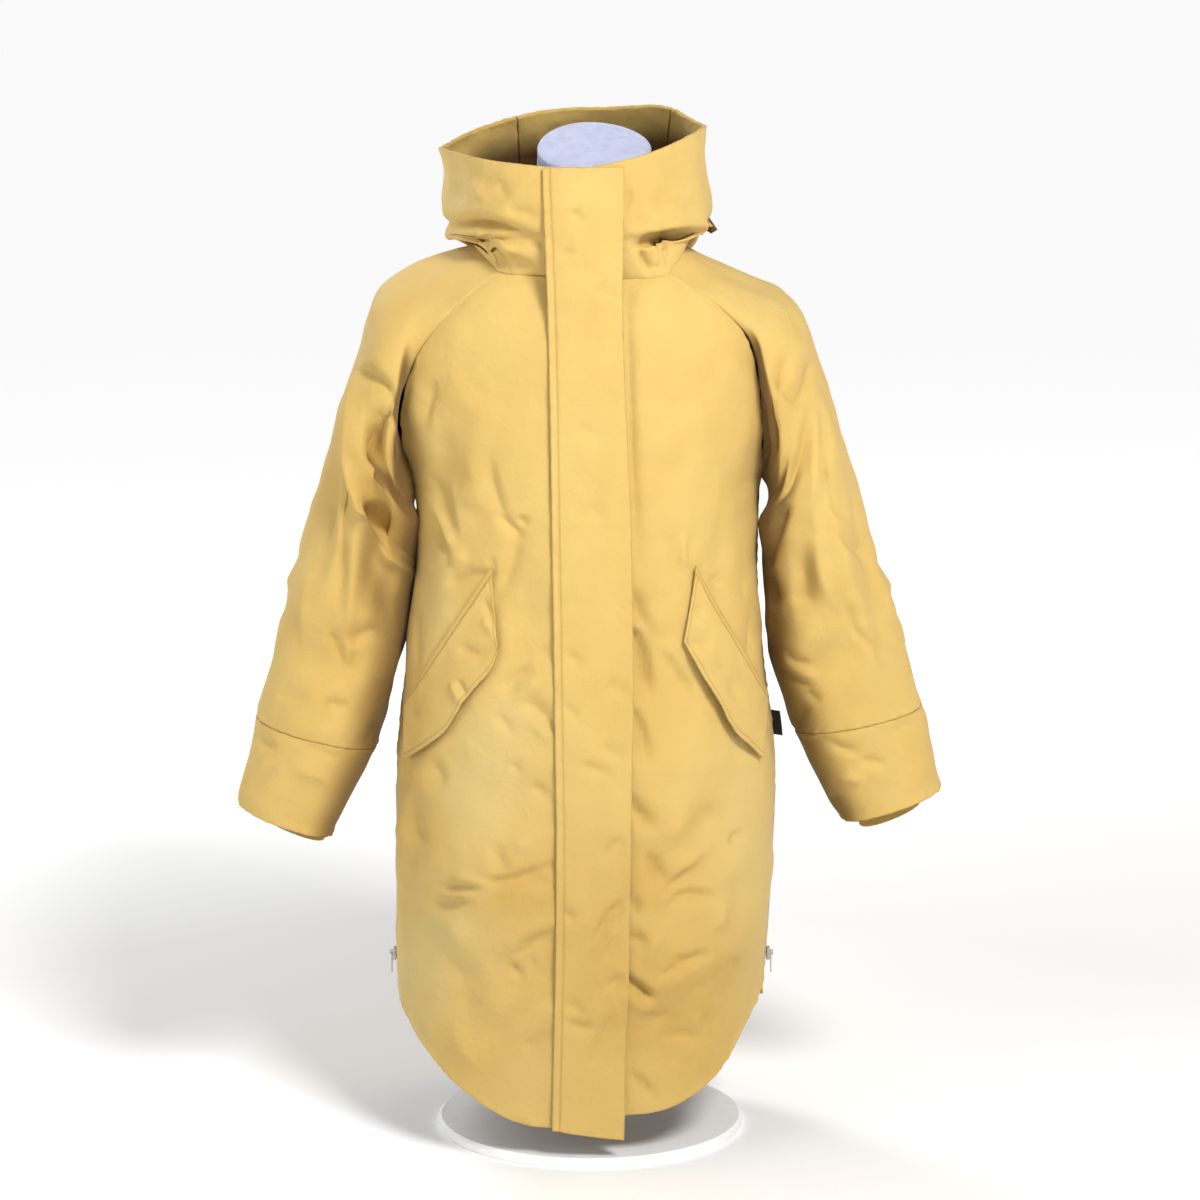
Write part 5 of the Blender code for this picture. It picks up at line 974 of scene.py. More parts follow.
# ---------------------------------------------------------------- the torso
body_at = {name: column(BODY, "height", name) for name in Section._fields[1:]}
shoulder_at = {hand: column(SHOULDER, "reach", f"{hand}_height") for hand in SIGN}
hem_at = {side: column(HEM, "x", side) for side in ("front", "back")}


def shoulder_height(x):
    """The height of the shoulder line, blended from side to side near the centre."""
    left_share = clipped(0.5 + x / SHOULDER_BLEND)
    return (1 - left_share) * shoulder_at["right"](abs(x)) + left_share * shoulder_at["left"](abs(x))


def ring_middle(height):
    """The middle, half width and power of the torso's ring at this height."""
    height = min(height, YOKE_BASE)
    right, left = body_at["right"](height), body_at["left"](height)
    return (right + left) / 2, (left - right) / 2, body_at["power"](height)


def ring_depth(x, height, side):
    """How far the torso's ring at this height reaches in front or behind at this x."""
    height = min(height, YOKE_BASE)
    middle, half, power = ring_middle(height)
    share = clipped(abs(x - middle) / half)
    return abs(body_at[side](height)) * (1 - share**power) ** (1 / power)


def torso_y(x, height, side):
    """The torso's y at this place on its front or back."""
    depth = ring_depth(x, height, side)
    if height > YOKE_BASE:
        rise = (height - YOKE_BASE) / (shoulder_height(x) - YOKE_BASE)
        depth *= max(1 - rise**YOKE_POWER, 0.0) ** (1 / YOKE_POWER)
    return -depth if side == "front" else depth


def yoke_height(x, y):
    """The height of the torso's rounded top over a point of the plan."""
    share = clipped(abs(y) / ring_depth(x, YOKE_BASE, "front" if y < 0 else "back"))
    return YOKE_BASE + (shoulder_height(x) - YOKE_BASE) * (1 - share**YOKE_POWER) ** (1 / YOKE_POWER)


def torso_level(x, y, height):
    """Below zero inside the torso and above zero outside it."""
    side = "front" if y < 0 else "back"
    if height > YOKE_BASE:
        rise = (height - YOKE_BASE) / (shoulder_height(x) - YOKE_BASE)
        depth = max(ring_depth(x, YOKE_BASE, side), STEP)
        return (abs(y) / depth) ** YOKE_POWER + rise**YOKE_POWER - 1
    middle, half, power = ring_middle(height)
    return (abs(x - middle) / half) ** power + (abs(y) / abs(body_at[side](height))) ** power - 1


def torso_normal(point):
    """The outward direction of the torso's surface at a point on it."""
    slope = np.zeros(3)
    for axis in range(3):
        step = np.eye(3)[axis] * STEP
        slope[axis] = torso_level(*(point + step)) - torso_level(*(point - step))
    return unit(slope)


def torso_at(angle, height, side):
    """A torso point, at an angle from its centre front or back towards the left."""
    middle, half, power = ring_middle(height)
    x = middle + half * bent(math.sin(angle), power)
    return np.array([x, torso_y(x, height, side), height])


def angle_of(x, height):
    """The angle at which the torso's ring at this height has this x."""
    middle, half, power = ring_middle(height)
    share = clipped((x - middle) / half, -1.0, 1.0)
    return math.asin(math.copysign(abs(share) ** (power / 2), share))


def creased(point):
    """A torso point moved out by the folds, which die out at the side seams, and its normal."""
    normal = torso_normal(point)
    surface = "front" if point[1] < 0 else "back"
    fade = clipped(abs(point[1]) / FOLD_FADE)
    return point + normal * relief(surface, point[0], point[2]) * fade, normal


# ---------------------------------------------------------------- the neckline and raglan seams
neck_names = [corner.name for corner in NECKLINE]
neck_turns = range(-NECK_WRAP, len(NECKLINE) + NECK_WRAP + 1)
neck_plan = through(neck_turns, [NECKLINE[i % len(NECKLINE)][1:] for i in neck_turns])


def neckline_at(place):
    """A point of the neckline, by its place in the table."""
    x, y = neck_plan(place % len(NECKLINE))
    return np.array([x, y, yoke_height(x, y)])


def neck_place(name):
    """A corner's place in the table, with the left ones counted up to the centre front."""
    return float(neck_names.index(name))


def neck_places(start, end, steps):
    return list(np.linspace(start, end, steps + 1))


ZIP_PLACE = {
    "right": (ZIP_WIDTH / 2 - ZIP_X) / abs(NECKLINE[1].x),
    "left": len(NECKLINE) - (ZIP_WIDTH / 2 + ZIP_X) / abs(NECKLINE[-1].x),
}


def armpit(hand):
    height = ARMPIT_HEIGHT[hand]
    return np.array([body_at[hand](height), 0.0, height])


def raglan(hand, side):
    """A raglan seam from the neckline down to the armpit, by the share of its length."""
    table = RAGLAN_FRONT if side == "front" else RAGLAN_BACK
    top = neckline_at(neck_place(f"{hand}_raglan_{side}"))
    between = [np.array([p.x, torso_y(p.x, p.height, side), p.height]) for p in table[hand]]
    seam = by_length([top, *between, armpit(hand)])

    def at(share):
        x, _, height = seam(share)
        return np.array([x, torso_y(x, height, side), height])

    return at


raglan_at = {(hand, side): raglan(hand, side) for hand in SIGN for side in ("front", "back")}


# ---------------------------------------------------------------- sleeves and the hood
def ring_point(ring, turn, warp=0.0):
    """A point of a sleeve ring. It turns from the outer edge by the front to the inner edge.

    A warp draws its points towards the outer edge, to meet those of the armhole.
    """
    turn -= warp * math.sin(turn * math.tau)
    power = SLEEVE_POWER
    outer = np.array([ring.outer_x, 0.0, ring.outer_height])
    inner = np.array([ring.inner_x, 0.0, ring.inner_height])
    across, forward = math.cos(turn * math.tau), math.sin(turn * math.tau)
    point = (outer + inner) / 2 + (outer - inner) / 2 * bent(across, power)
    point[1] = abs(bent(forward, power)) * (ring.front if forward > 0 else ring.back)
    return point


def raglan_share(step_share):
    """How far down a raglan seam a step lies: the steps shorten towards the armpit."""
    return (step_share + math.sin(step_share * math.pi / 2)) / 2


def armhole_point(hand, turn):
    """A point of the sleeve's top edge: the neckline, then the two raglan seams."""
    turn = turn % 1.0
    if turn <= NECK_TURN or turn >= 1 - NECK_TURN:
        signed = turn if turn < 0.5 else turn - 1
        front, back = neck_place(f"{hand}_raglan_front"), neck_place(f"{hand}_raglan_back")
        return neckline_at((front + back) / 2 + signed / NECK_TURN * (front - back) / 2)
    side = "front" if turn <= 0.5 else "back"
    folded = turn if turn <= 0.5 else 1 - turn
    return raglan_at[hand, side](raglan_share((folded - NECK_TURN) / (0.5 - NECK_TURN)))


def surface_normal(surface, turn, along):
    """The direction out of a ringed surface."""
    low, high = max(along - STEP, 0.0), min(along + STEP, 1.0)
    around = surface(turn + STEP, along) - surface(turn - STEP, along)
    down = surface(turn, high) - surface(turn, low)
    return unit(np.cross(around, down)) * surface.facing


def surface_through(rings, knots=None):
    """A surface at (turn, share of the way along) through rings, each a function of the turn."""
    knots = np.linspace(0, 1, len(rings)) if knots is None else knots
    curves = {}

    def at(turn, along):
        key = round(turn % 1.0, 9)
        if key not in curves:
            curves[key] = through(knots, [ring(key) for ring in rings])
        return curves[key](along)

    at.facing = 1.0
    middle = sum(at(turn, FACING_PLACE) for turn in QUARTERS) / len(QUARTERS)
    if surface_normal(at, 0.25, FACING_PLACE) @ (at(0.25, FACING_PLACE) - middle) < 0:
        at.facing = -1.0
    return at


def sleeve_surface(hand):
    tail = []
    for k, ring in enumerate(SLEEVE[hand]):
        warp = ARMHOLE_WARP * max(1 - k / WARPED_RINGS, 0.0)
        tail.append(lambda turn, ring=ring, warp=warp: ring_point(ring, turn, warp))
    rings = [lambda turn: armhole_point(hand, turn), *tail]
    middles = [sum(ring(turn) for turn in QUARTERS) / len(QUARTERS) for ring in rings]
    run = np.cumsum([0.0] + [np.linalg.norm(b - a) for a, b in zip(middles, middles[1:])])
    return surface_through(rings, run / run[-1])


def cuff_surface(hand):
    return surface_through([lambda t, r=r: ring_point(r, t) for r in CUFF[hand]])


def hood_ring_point(ring, turn):
    """A point of a hood ring. It turns from the centre front by the right to the back."""
    forward, aside = math.cos(turn * math.tau), math.sin(turn * math.tau)
    x = (ring.right + ring.left) / 2 + (ring.right - ring.left) / 2 * bent(aside, ring.power)
    y = (ring.front + ring.back) / 2 + (ring.front - ring.back) / 2 * bent(forward, ring.power)
    end = ring.front_height if forward > 0 else ring.back_height
    edge = ring.right_height if aside > 0 else ring.left_height
    return np.array([x, y, end * forward**2 + edge * aside**2])


def hood_root_point(turn):
    """The hood's lower edge, which stands just clear of the neckline."""
    point = neckline_at(turn * len(NECKLINE))
    return point + torso_normal(point) * HOOD_LIFT


hood_base = surface_through([hood_root_point, *(lambda t, r=r: hood_ring_point(r, t) for r in HOOD)])


def folded(surface, name, turn, along):
    """A ringed surface's point, moved out by its folds, and its normal."""
    normal = surface_normal(surface, turn, along)
    fade = clipped(along / END_FADE) * clipped((1 - along) / END_FADE)
    if name == "hood":
        fade = clipped(along / END_FADE)
    return surface(turn, along) + normal * relief(name, turn % 1.0, along) * fade, normal


def hood_turn(x, along):
    """The turn, near the centre front, at which the hood has this x."""
    low, high = -HOOD_FRONT_TURN, HOOD_FRONT_TURN
    for _ in range(HALVINGS):
        turn = (low + high) / 2
        if hood_base(turn, along)[0] > x:
            low = turn
        else:
            high = turn
    return turn


front_run = np.linspace(0, 1, FRONT_PLACES)
front_rise = [hood_base(0.0, along)[2] for along in front_run]


def hood_along(x, height):
    """How far up the hood's front this height is at this x."""
    along = float(np.interp(height, front_rise, front_run))
    for _ in range(HOOD_TRIES):
        rise = hood_base(hood_turn(x, along), along)[2] - hood_base(0.0, along)[2]
        along = float(np.interp(height - rise, front_rise, front_run))
    return along


def front_at(x, height):
    """The jacket's front surface here, from the hem up to the hood's rim, and its normal."""
    below = min(height, NECK_JOIN[1])
    body, body_normal = creased(np.array([x, torso_y(x, below, "front"), below]))
    if height < NECK_JOIN[0]:
        return body, body_normal
    along = hood_along(x, height)
    hood, hood_normal = folded(hood_base, "hood", hood_turn(x, along), along)
    hood_share = 1 / (1 + math.exp((hood[1] - body[1]) / JOIN_SOFTNESS))
    y = min(body[1], hood[1]) + JOIN_SOFTNESS * math.log(max(hood_share, 1 - hood_share))
    normal = unit((1 - hood_share) * body_normal + hood_share * hood_normal)
    return np.array([x, y, height]), normal


sleeve_surfaces = {hand: sleeve_surface(hand) for hand in SIGN}
cuff_surfaces = {hand: cuff_surface(hand) for hand in SIGN}


# ---------------------------------------------------------------- pictures that creases are drawn in
# A side picture is in millimetres, seen from that side, with its second number up from the floor.
PictureSide = namedtuple("PictureSide", "across toward")
PICTURE_SIDES = {
    "back": PictureSide((-1, 0, 0), (0, 1, 0)),
    "right": PictureSide((0, -1, 0), (-1, 0, 0)),
    "left": PictureSide((0, 1, 0), (1, 0, 0)),
}


def drawn(view, points):
    """Where points lie in a picture, in millimetres right and down, and the way to its viewer."""
    if view != "front":
        side = PICTURE_SIDES[view]
        across = points @ np.array(side.across, float) * MM
        return np.stack([across, -points[..., 2] * MM], axis=-1), np.array(side.toward, float)
    rise = points[..., 2] - VIEW_HEIGHT
    away = VIEW_DISTANCE + points[..., 1] * math.cos(VIEW_PITCH) - rise * math.sin(VIEW_PITCH)
    up = points[..., 1] * math.sin(VIEW_PITCH) + rise * math.cos(VIEW_PITCH)
    across = PICTURE / 2 + VIEW_FOCUS * (points[..., 0] - VIEW_X) / away
    down = PICTURE / 2 - VIEW_FOCUS * up / away
    toward = np.array([0.0, -math.cos(VIEW_PITCH), math.sin(VIEW_PITCH)])
    return np.stack([across, down], axis=-1) * PIXEL, toward


def strokes_of(crease):
    """A crease's points in its picture's millimetres right and down."""
    points = np.array(crease.points, float)
    return points * PIXEL if crease.view == "front" else points * (1, -1)


def smooth_step(value, low, high):
    t = np.clip((value - low) / (high - low), 0, 1)
    return t * t * (3 - 2 * t)


def stroke_move(crease, flat):
    """How far one crease moves each point, in millimetres."""
    line = strokes_of(crease)
    steps = np.diff(line, axis=0)
    lengths = np.linalg.norm(steps, axis=1)
    run = np.concatenate([[0.0], np.cumsum(lengths)])
    nearest = np.full(len(flat), np.inf)
    side = np.zeros(len(flat))
    along = np.zeros(len(flat))
    for k, (start, step, length) in enumerate(zip(line, steps, lengths)):
        offset = flat - start
        t = np.clip(offset @ step / length**2, 0, 1)
        gap = offset - t[:, None] * step
        distance = np.linalg.norm(gap, axis=1)
        closer = distance < nearest
        nearest[closer] = distance[closer]
        side[closer] = step[0] * gap[closer, 1] - step[1] * gap[closer, 0]
        along[closer] = (run[k] + t[closer] * length) / run[-1]
    width = np.where(side > 0, crease.left, crease.right)
    rise = at_least(crease.start, smooth_step(along, 0, CREASE_START))
    fall = at_least(crease.end, smooth_step(1 - along, 0, CREASE_END))
    reach = nearest / width / CREASE_SPREAD
    profile = (1 - CREASE_CRISP) * np.exp(-(reach**2)) + CREASE_CRISP * np.exp(-CREASE_LINE * reach)
    return CREASE_DEPTH * crease.depth * rise * fall * profile


def crease_moves(names, points, normals):
    """How far the creases drawn for these pieces move each point, in metres."""
    move = np.zeros(len(points))
    for view in ("front", *PICTURE_SIDES):
        chosen = [c for c in CREASES if c.piece in names and c.view == view]
        if not chosen:
            continue
        flat, toward = drawn(view, points)
        facing = smooth_step(normals @ toward, *CREASE_FACING)
        for crease in chosen:
            reach = CREASE_REACH * max(crease.left, crease.right)
            line = strokes_of(crease)
            near = (flat > line.min(axis=0) - reach).all(axis=1)
            near &= (flat < line.max(axis=0) + reach).all(axis=1) & (facing > 0)
            move[near] += stroke_move(crease, flat[near]) * facing[near] / MM
    return move


def swelled(names, points):
    """Points moved by the swells that these pieces take part in."""
    total = points.copy()
    for swell in SWELLS:
        if swell.piece in names:
            apart = np.linalg.norm(points - np.array(swell.centre), axis=-1) / swell.reach
            total += np.exp(-(apart**2))[..., None] * np.array(swell.move)
    return total


def ripples(points, wave):
    """A soft, uneven ripple over points: the sum of a few waves in fixed directions."""
    rng = np.random.default_rng(wave.seed)
    total = np.zeros(points.shape[:-1])
    for _ in range(RIPPLE_WAVES):
        way = rng.normal(size=3)
        way *= math.tau / (np.linalg.norm(way) * wave.length * rng.uniform(*WAVE_LENGTHS))
        total += np.cos(points @ way + rng.uniform(0, math.tau))
    return total * wave.height / math.sqrt(RIPPLE_WAVES)


# ---------------------------------------------------------------- fine grids
def resample(grid, places, axis, closed):
    """A grid's points at places between its rows or columns, on smooth curves through them."""
    rows = np.moveaxis(grid, axis, 0)
    count = len(rows)
    places = np.asarray(places, float)
    if closed:
        i = np.floor(places).astype(int)
        p0, p1, p2, p3 = (rows[(i + k) % count] for k in (-1, 0, 1, 2))
    else:
        i = np.clip(np.floor(places).astype(int), 0, count - 2)
        longer = np.concatenate([[2 * rows[0] - rows[1]], rows, [2 * rows[-1] - rows[-2]]])
        p0, p1, p2, p3 = (longer[i + k] for k in (0, 1, 2, 3))
    t = (places - i).reshape(-1, *[1] * (grid.ndim - 1))
    bend = (2 * p0 - 5 * p1 + 4 * p2 - p3) * t**2 + (3 * p1 - p0 - 3 * p2 + p3) * t**3
    return np.moveaxis(0.5 * (2 * p1 + (p2 - p0) * t + bend), 0, axis)


def grid_of(rows, columns, pair_at):
    """The points and the normals that a function gives, as pairs, at each row and column."""
    pairs = [[pair_at(row, column) for column in columns] for row in rows]
    return tuple(np.array([[pair[k] for pair in line] for line in pairs]) for k in (0, 1))


def wrapped(grid):
    """A closed grid with its first column once more at its end."""
    return np.concatenate([grid, grid[:, :1]], axis=1)


def quads(index):
    """The four-cornered faces of a grid of point numbers."""
    return np.stack([index[:-1, :-1], index[:-1, 1:], index[1:, 1:], index[1:, :-1]], axis=-1).reshape(-1, 4)


def runs(grid, axis):
    """Each point's distance along its row or column from the grid's first border."""
    step = np.linalg.norm(np.diff(grid, axis=axis), axis=2)
    start = np.zeros_like(step[:1]) if axis == 0 else np.zeros_like(step[:, :1])
    return np.concatenate([start, np.cumsum(step, axis=axis)], axis=axis)


def spread(grid, steps, axis, closed, insets):
    """Even places along one way of a grid, and closer ones by its borders and stitched lines."""
    count = grid.shape[axis]
    if closed:
        return np.arange(steps) * count / steps
    run = runs(grid, axis).mean(axis=1 - axis)
    first, last = run[1] - run[0], run[-1] - run[-2]
    near, far = (
        np.array([*EDGE_STEPS, *(i + d for i in inset for d in (-GROOVE_HALF, 0, GROOVE_HALF))])
        for inset in insets
    )
    clear = EDGE_STEPS[-1] * EDGE_CLEAR
    even = np.linspace(0, count - 1, steps + 1)
    inside = [t for t in even if clear / first < t < count - 1 - clear / last]
    return np.array(sorted({0.0, float(count - 1), *inside, *near / first, *count - 1 - far / last}))


def grid_normals(points, closed):
    """Unit directions across a grid's surface at each point."""
    if closed:
        around = np.roll(points, -1, axis=1) - np.roll(points, 1, axis=1)
    else:
        around = np.gradient(points, axis=1)
    normals = np.cross(around, np.gradient(points, axis=0))
    return normals / np.maximum(np.linalg.norm(normals, axis=2, keepdims=True), TINY)


def border_distance(points, closed, borders):
    """Each point's distance to the nearest of the named borders."""
    down, across = runs(points, 0), runs(points, 1)
    distances = {
        "first_row": down,
        "last_row": down[-1:] - down,
        "first_column": across,
        "last_column": across[:, -1:] - across,
    }
    chosen = [distances[b] for b in borders if not (closed and b.endswith("column"))]
    return np.minimum.reduce([np.full(down.shape, FAR), *chosen])


ENDS, SIDES = ("first_row", "last_row"), ("first_column", "last_column")
ALL_BORDERS = (*ENDS, *SIDES)
Shell = namedtuple("Shell", "points normals base")
shells = {}


def crumpled(name, base, distance):
    """How far soft ripples, ridges and puckered seams move each point out."""
    still = smooth_step(distance, 0.0, SEAM_FADE)
    soft = sum(ripples(base, wave) for wave in SOFT_WAVES)
    ridges = sum(np.abs(ripples(base, wave)) for wave in RIDGE_WAVES)
    share = at_least(RIDGES_BODY, smooth_step(base[..., 2], *RIDGE_HEIGHTS))
    if name.startswith(("sleeve", "cuff", "hood")):
        share = RIDGES_LIMBS
    pucker = ripples(base, PUCKER_WAVE) * np.exp(-((distance / PUCKER_REACH) ** 2))
    return soft * at_least(SOFT_HOLD, still) - ridges * share * at_least(RIDGE_HOLD, still) + pucker


def lining_marks(name, base, normals):
    """How much painted shade, in the inside colour, each point takes: outside, on the arms' inner sides, and
    inside.
    """
    outside = np.zeros(base.shape[:2])
    # Painted shade on the arms' sides that face the body.
    if name.startswith(("sleeve", "cuff")):
        inward = -np.sign(base[..., 0]) * normals[..., 0]
        outside = INNER_ARM_DARK * smooth_step(inward, *INNER_ARM_TURNS)
    # Painted shade inside the hood, deeper away from its rim; other insides take an even share.
    if name.startswith("hood"):
        return outside, smooth_step(border_distance(base, False, ENDS[1:]), *RIM_DARK)
    return outside, np.full(outside.shape, INSIDE_SHADE)


def shell(name, coarse, steps, thickness, closed=False, group=None, sewn=ALL_BORDERS,
          ripple=1.0, paint="cloth", slot="shell", ribs=None):
    """A closed thin shell over a coarse grid and its normals, made finer and creased."""
    grid, directions = coarse
    lines = STITCHED.get(name, STITCHED.get(name.rsplit("_", 1)[0], ()))
    rows, columns = (
        spread(grid, steps[axis], axis, closed and axis == 1,
               [[line.inset for line in lines if line.border == border] for border in borders])
        for axis, borders in enumerate((ENDS, SIDES))
    )
    base, out = (resample(resample(part, rows, 0, False), columns, 1, closed) for part in (grid, directions))
    base = swelled((name, group), base)
    normals = grid_normals(base, closed)
    normals *= np.sign((normals * out).sum(axis=2).mean())
    distance = border_distance(base, closed, sewn)
    move = crease_moves((name, group), base.reshape(-1, 3), normals.reshape(-1, 3)).reshape(distance.shape)
    move *= at_least(SEAM_HOLD, smooth_step(distance, 0.0, SEAM_FADE))
    move += crumpled(name, base, distance) * ripple
    line_marks = np.zeros(distance.shape)
    for line in lines:
        off = (border_distance(base, closed, (line.border,)) - line.inset) / GROOVE_HALF
        move -= GROOVE_DEPTH * np.exp(-(off**2))
        line_marks = np.maximum(line_marks, np.exp(-(off**2)))
    if ribs:
        move += ribs(base)
    off_edge = np.clip(border_distance(base, closed, ALL_BORDERS) / (thickness / 2), 0, 1)
    rounding = np.sqrt(1 - (1 - off_edge) ** 2)
    fall = thickness * (1 - EDGE_SHARE) * (1 - rounding)
    outer = base + normals * (move - fall * EDGE_OUTSIDE)[..., None]
    inner = base + normals * (move - thickness + fall * (1 - EDGE_OUTSIDE))[..., None]
    # Of these marks, the crease, seam, shade and line marks and the inside-colour mark drive painted shade in
    # the colour; the fade mark drives fading, and painted shade over the lower front.
    marks = {
        "crease": move * MM,
        "seam": distance * MM,
        "line": line_marks,
        "fade": spotted(base, FADING_AND_SHADE),
        "shade": spotted(base, SHADED),
    }
    marks = {key: (values, values) for key, values in marks.items()}
    marks["lining"] = lining_marks(name, base, normals)
    obj = shell_object(name, outer, inner, base, closed, marks)
    obj.data.materials.append(paints[paint])
    shells[name] = Shell(outer, normals, base)
    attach(obj, "jacket")
    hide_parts(name)
    if name in CUTS:
        cut = CUTS[name]
        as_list(cut.rests_on)


def linked(name, data):
    """A new object in the scene."""
    obj = bpy.data.objects.new(name, data)
    bpy.context.scene.collection.objects.link(obj)
    return obj


def solid_object(name, vertices, faces):
    """An object of these faces, all turned outwards."""
    mesh = bpy.data.meshes.new(name)
    mesh.from_pydata(vertices.tolist(), [], faces)
    bm = bmesh.new()
    bm.from_mesh(mesh)
    bmesh.ops.recalc_face_normals(bm, faces=bm.faces)
    bm.to_mesh(mesh)
    bm.free()
    return linked(name, mesh)


def lay_cloth(mesh, places):
    """Gives a smooth mesh its cloth's own coordinates, known at each of its points."""
    corners = np.zeros(len(mesh.loops), np.int32)
    mesh.loops.foreach_get("vertex_index", corners)
    layer = mesh.uv_layers.new(name="cloth")
    layer.data.foreach_set("uv", places[corners].astype(np.float32).reshape(-1))
    mesh.shade_smooth()


def shell_object(name, outer, inner, base, closed, marks):
    """The mesh of a shell, with its cloth's own coordinates and its marks, outside and inside."""
    rows, columns = outer.shape[:2]
    count = rows * columns
    index = np.arange(count).reshape(rows, columns)
    loops = [np.concatenate([index[0], index[1:, -1], index[-1, -2::-1], index[-2::-1, 0]])]
    if closed:
        index = wrapped(index)
        loops = [index[0], index[-1][::-1]]
    top = quads(index)
    rim = [np.stack([loop[1:], loop[:-1], loop[:-1] + count, loop[1:] + count], axis=-1) for loop in loops]
    faces = np.concatenate([top, top[:, ::-1] + count, *rim])
    vertices = np.concatenate([outer.reshape(-1, 3), inner.reshape(-1, 3)])
    obj = solid_object(f"cloth_{name}", vertices, faces.tolist())
    across = runs(wrapped(base) if closed else base, 1)[:, :columns]
    cloth = np.stack([across - across.mean(), runs(base, 0)], axis=-1).reshape(-1, 2)
    lay_cloth(obj.data, np.concatenate([cloth, cloth]))
    for key, sides in marks.items():
        attribute = obj.data.attributes.new(key, "FLOAT", "POINT")
        attribute.data.foreach_set("value", np.concatenate(sides).astype(np.float32).reshape(-1))
    return obj


def spotted(points, spots):
    """How strong these soft spots are at each point."""
    total = np.zeros(points.shape[:2])
    flat, _ = drawn("front", points)
    facing = points[..., 1] < 0
    for spot in spots:
        centre = np.array([spot.across, spot.down]) * PIXEL
        reach = np.array([spot.half_across, spot.half_down]) * PIXEL
        total += spot.strength * np.exp(-(((flat - centre) / reach) ** 2).sum(axis=-1)) * facing
    return np.clip(total, 0, 1)


# ---------------------------------------------------------------- the panels, as in the solids
def tucked(grid):
    """A grid with one more row, where its first one goes on under the next piece."""
    outer, normals = grid
    way = outer[0] - outer[1]
    way /= np.linalg.norm(way, axis=1, keepdims=True)
    under = outer[0] + way * TUCK_REACH - normals[0] * TUCK_DEPTH
    return np.concatenate([[under], outer]), np.concatenate([normals[:1], normals])


def pull_in(outer, axis, end, distance):
    """Draws one border of a grid back along the surface, to leave a seam's gap."""
    border, beside = (0, 1) if end == "first" else (-1, -2)
    edge = (border,) if axis == 0 else (slice(None), border)
    near = (beside,) if axis == 0 else (slice(None), beside)
    step = outer[near] - outer[edge]
    length = np.linalg.norm(step, axis=1, keepdims=True)
    outer[edge] += step / length * np.broadcast_to(distance, (len(step),))[:, None]


def coons(bottom, top, first, last, rise):
    """A patch of (angle, height) between four edges. The rows lie at the shares in rise."""
    u = np.linspace(0, 1, len(bottom))[None, :, None]
    v = np.asarray(rise)[:, None, None]
    across = (1 - u) * first[:, None] + u * last[:, None]
    along = (1 - v) * bottom[None] + v * top[None]
    corners = (1 - v) * ((1 - u) * bottom[0] + u * bottom[-1]) + v * ((1 - u) * top[0] + u * top[-1])
    return across + along - corners


def edge_heights(hand, side):
    """The heights of a side edge's points from the hem up to the armpit."""
    middle, half, _ = ring_middle(HEM_LEVEL)
    hem = hem_at[side](middle + SIGN[hand] * half)
    lower = np.linspace(hem, VENT_ZIP_TOP, ZIP_ROWS + 1)
    upper = np.linspace(VENT_ZIP_TOP, ARMPIT_HEIGHT[hand], SIDE_ROWS + 1)
    return np.concatenate([lower, upper[1:]])


def side_edge(hand, side):
    """A panel's outer edge, up its side seam and its raglan seam, as (angle, height)."""
    seam = [(SIGN[hand] * math.pi / 2, height) for height in edge_heights(hand, side)]
    for k in range(1, RAGLAN_ROWS + 1):
        x, _, height = raglan_at[hand, side](raglan_share(1 - k / RAGLAN_ROWS))
        seam.append((angle_of(x, height), height))
    return np.array(seam)


def hem_point(angle, side):
    """A hem point at this angle, as (angle, height)."""
    middle, half, power = ring_middle(HEM_LEVEL)
    return angle, hem_at[side](middle + half * bent(math.sin(angle), power))


def neck_edge(places):
    """A stretch of the neckline as (angle, height)."""
    points = [neckline_at(place) for place in places]
    return np.array([(angle_of(p[0], p[2]), p[2]) for p in points])


def panel(patch, side, opened):
    """A torso panel's points and normals over a patch of (angle, height)."""
    points = np.array([[torso_at(a, h, side) for a, h in row] for row in patch])
    moved, normals = grid_of(points, range(points.shape[1]), lambda row, k: creased(row[k]))
    for end, name_of_end in ((0, "first"), (-1, "last")):
        if name_of_end in opened:
            reach = np.linalg.norm(points - points[:, [end]], axis=2)
            fade = np.clip(reach / FOLD_FADE, 0, 1)[..., None]
            moved = points + (moved - points) * fade
    zipped = np.array([h < VENT_ZIP_TOP + STEP for h in patch[:, -1, 1]])
    gaps = np.where(zipped, VENT_ZIP_WIDTH / 2 + SEAM_GAP, SEAM_GAP)
    for end in ("first", "last"):
        pull_in(moved, 1, end, gaps if end in opened else SEAM_GAP / 2)
    pull_in(moved, 0, "last", SEAM_GAP / 2)
    return moved, normals


def front_panel(hand):
    side = side_edge(hand, "front")
    rise = (side[:, 1] - side[0, 1]) / (side[-1, 1] - side[0, 1])
    place = ZIP_PLACE[hand]
    corner = neck_place(f"{hand}_raglan_front")
    top = neck_edge(neck_places(place, corner, FRONT_COLUMNS))
    zip_edge = ZIP_X + SIGN[hand] * ZIP_WIDTH / 2
    foot = hem_at["front"](zip_edge)
    heights = foot + rise * (top[0, 1] - foot)
    first = np.array([(angle_of(zip_edge, h), h) for h in heights])
    first[-1] = top[0]
    angles = np.linspace(first[0, 0], side[0, 0], FRONT_COLUMNS + 1)
    bottom = np.array([hem_point(a, "front") for a in angles])
    first[0], side[0] = bottom[0], bottom[-1]
    return panel(coons(bottom, top, first, side, rise), "front", ("last",))


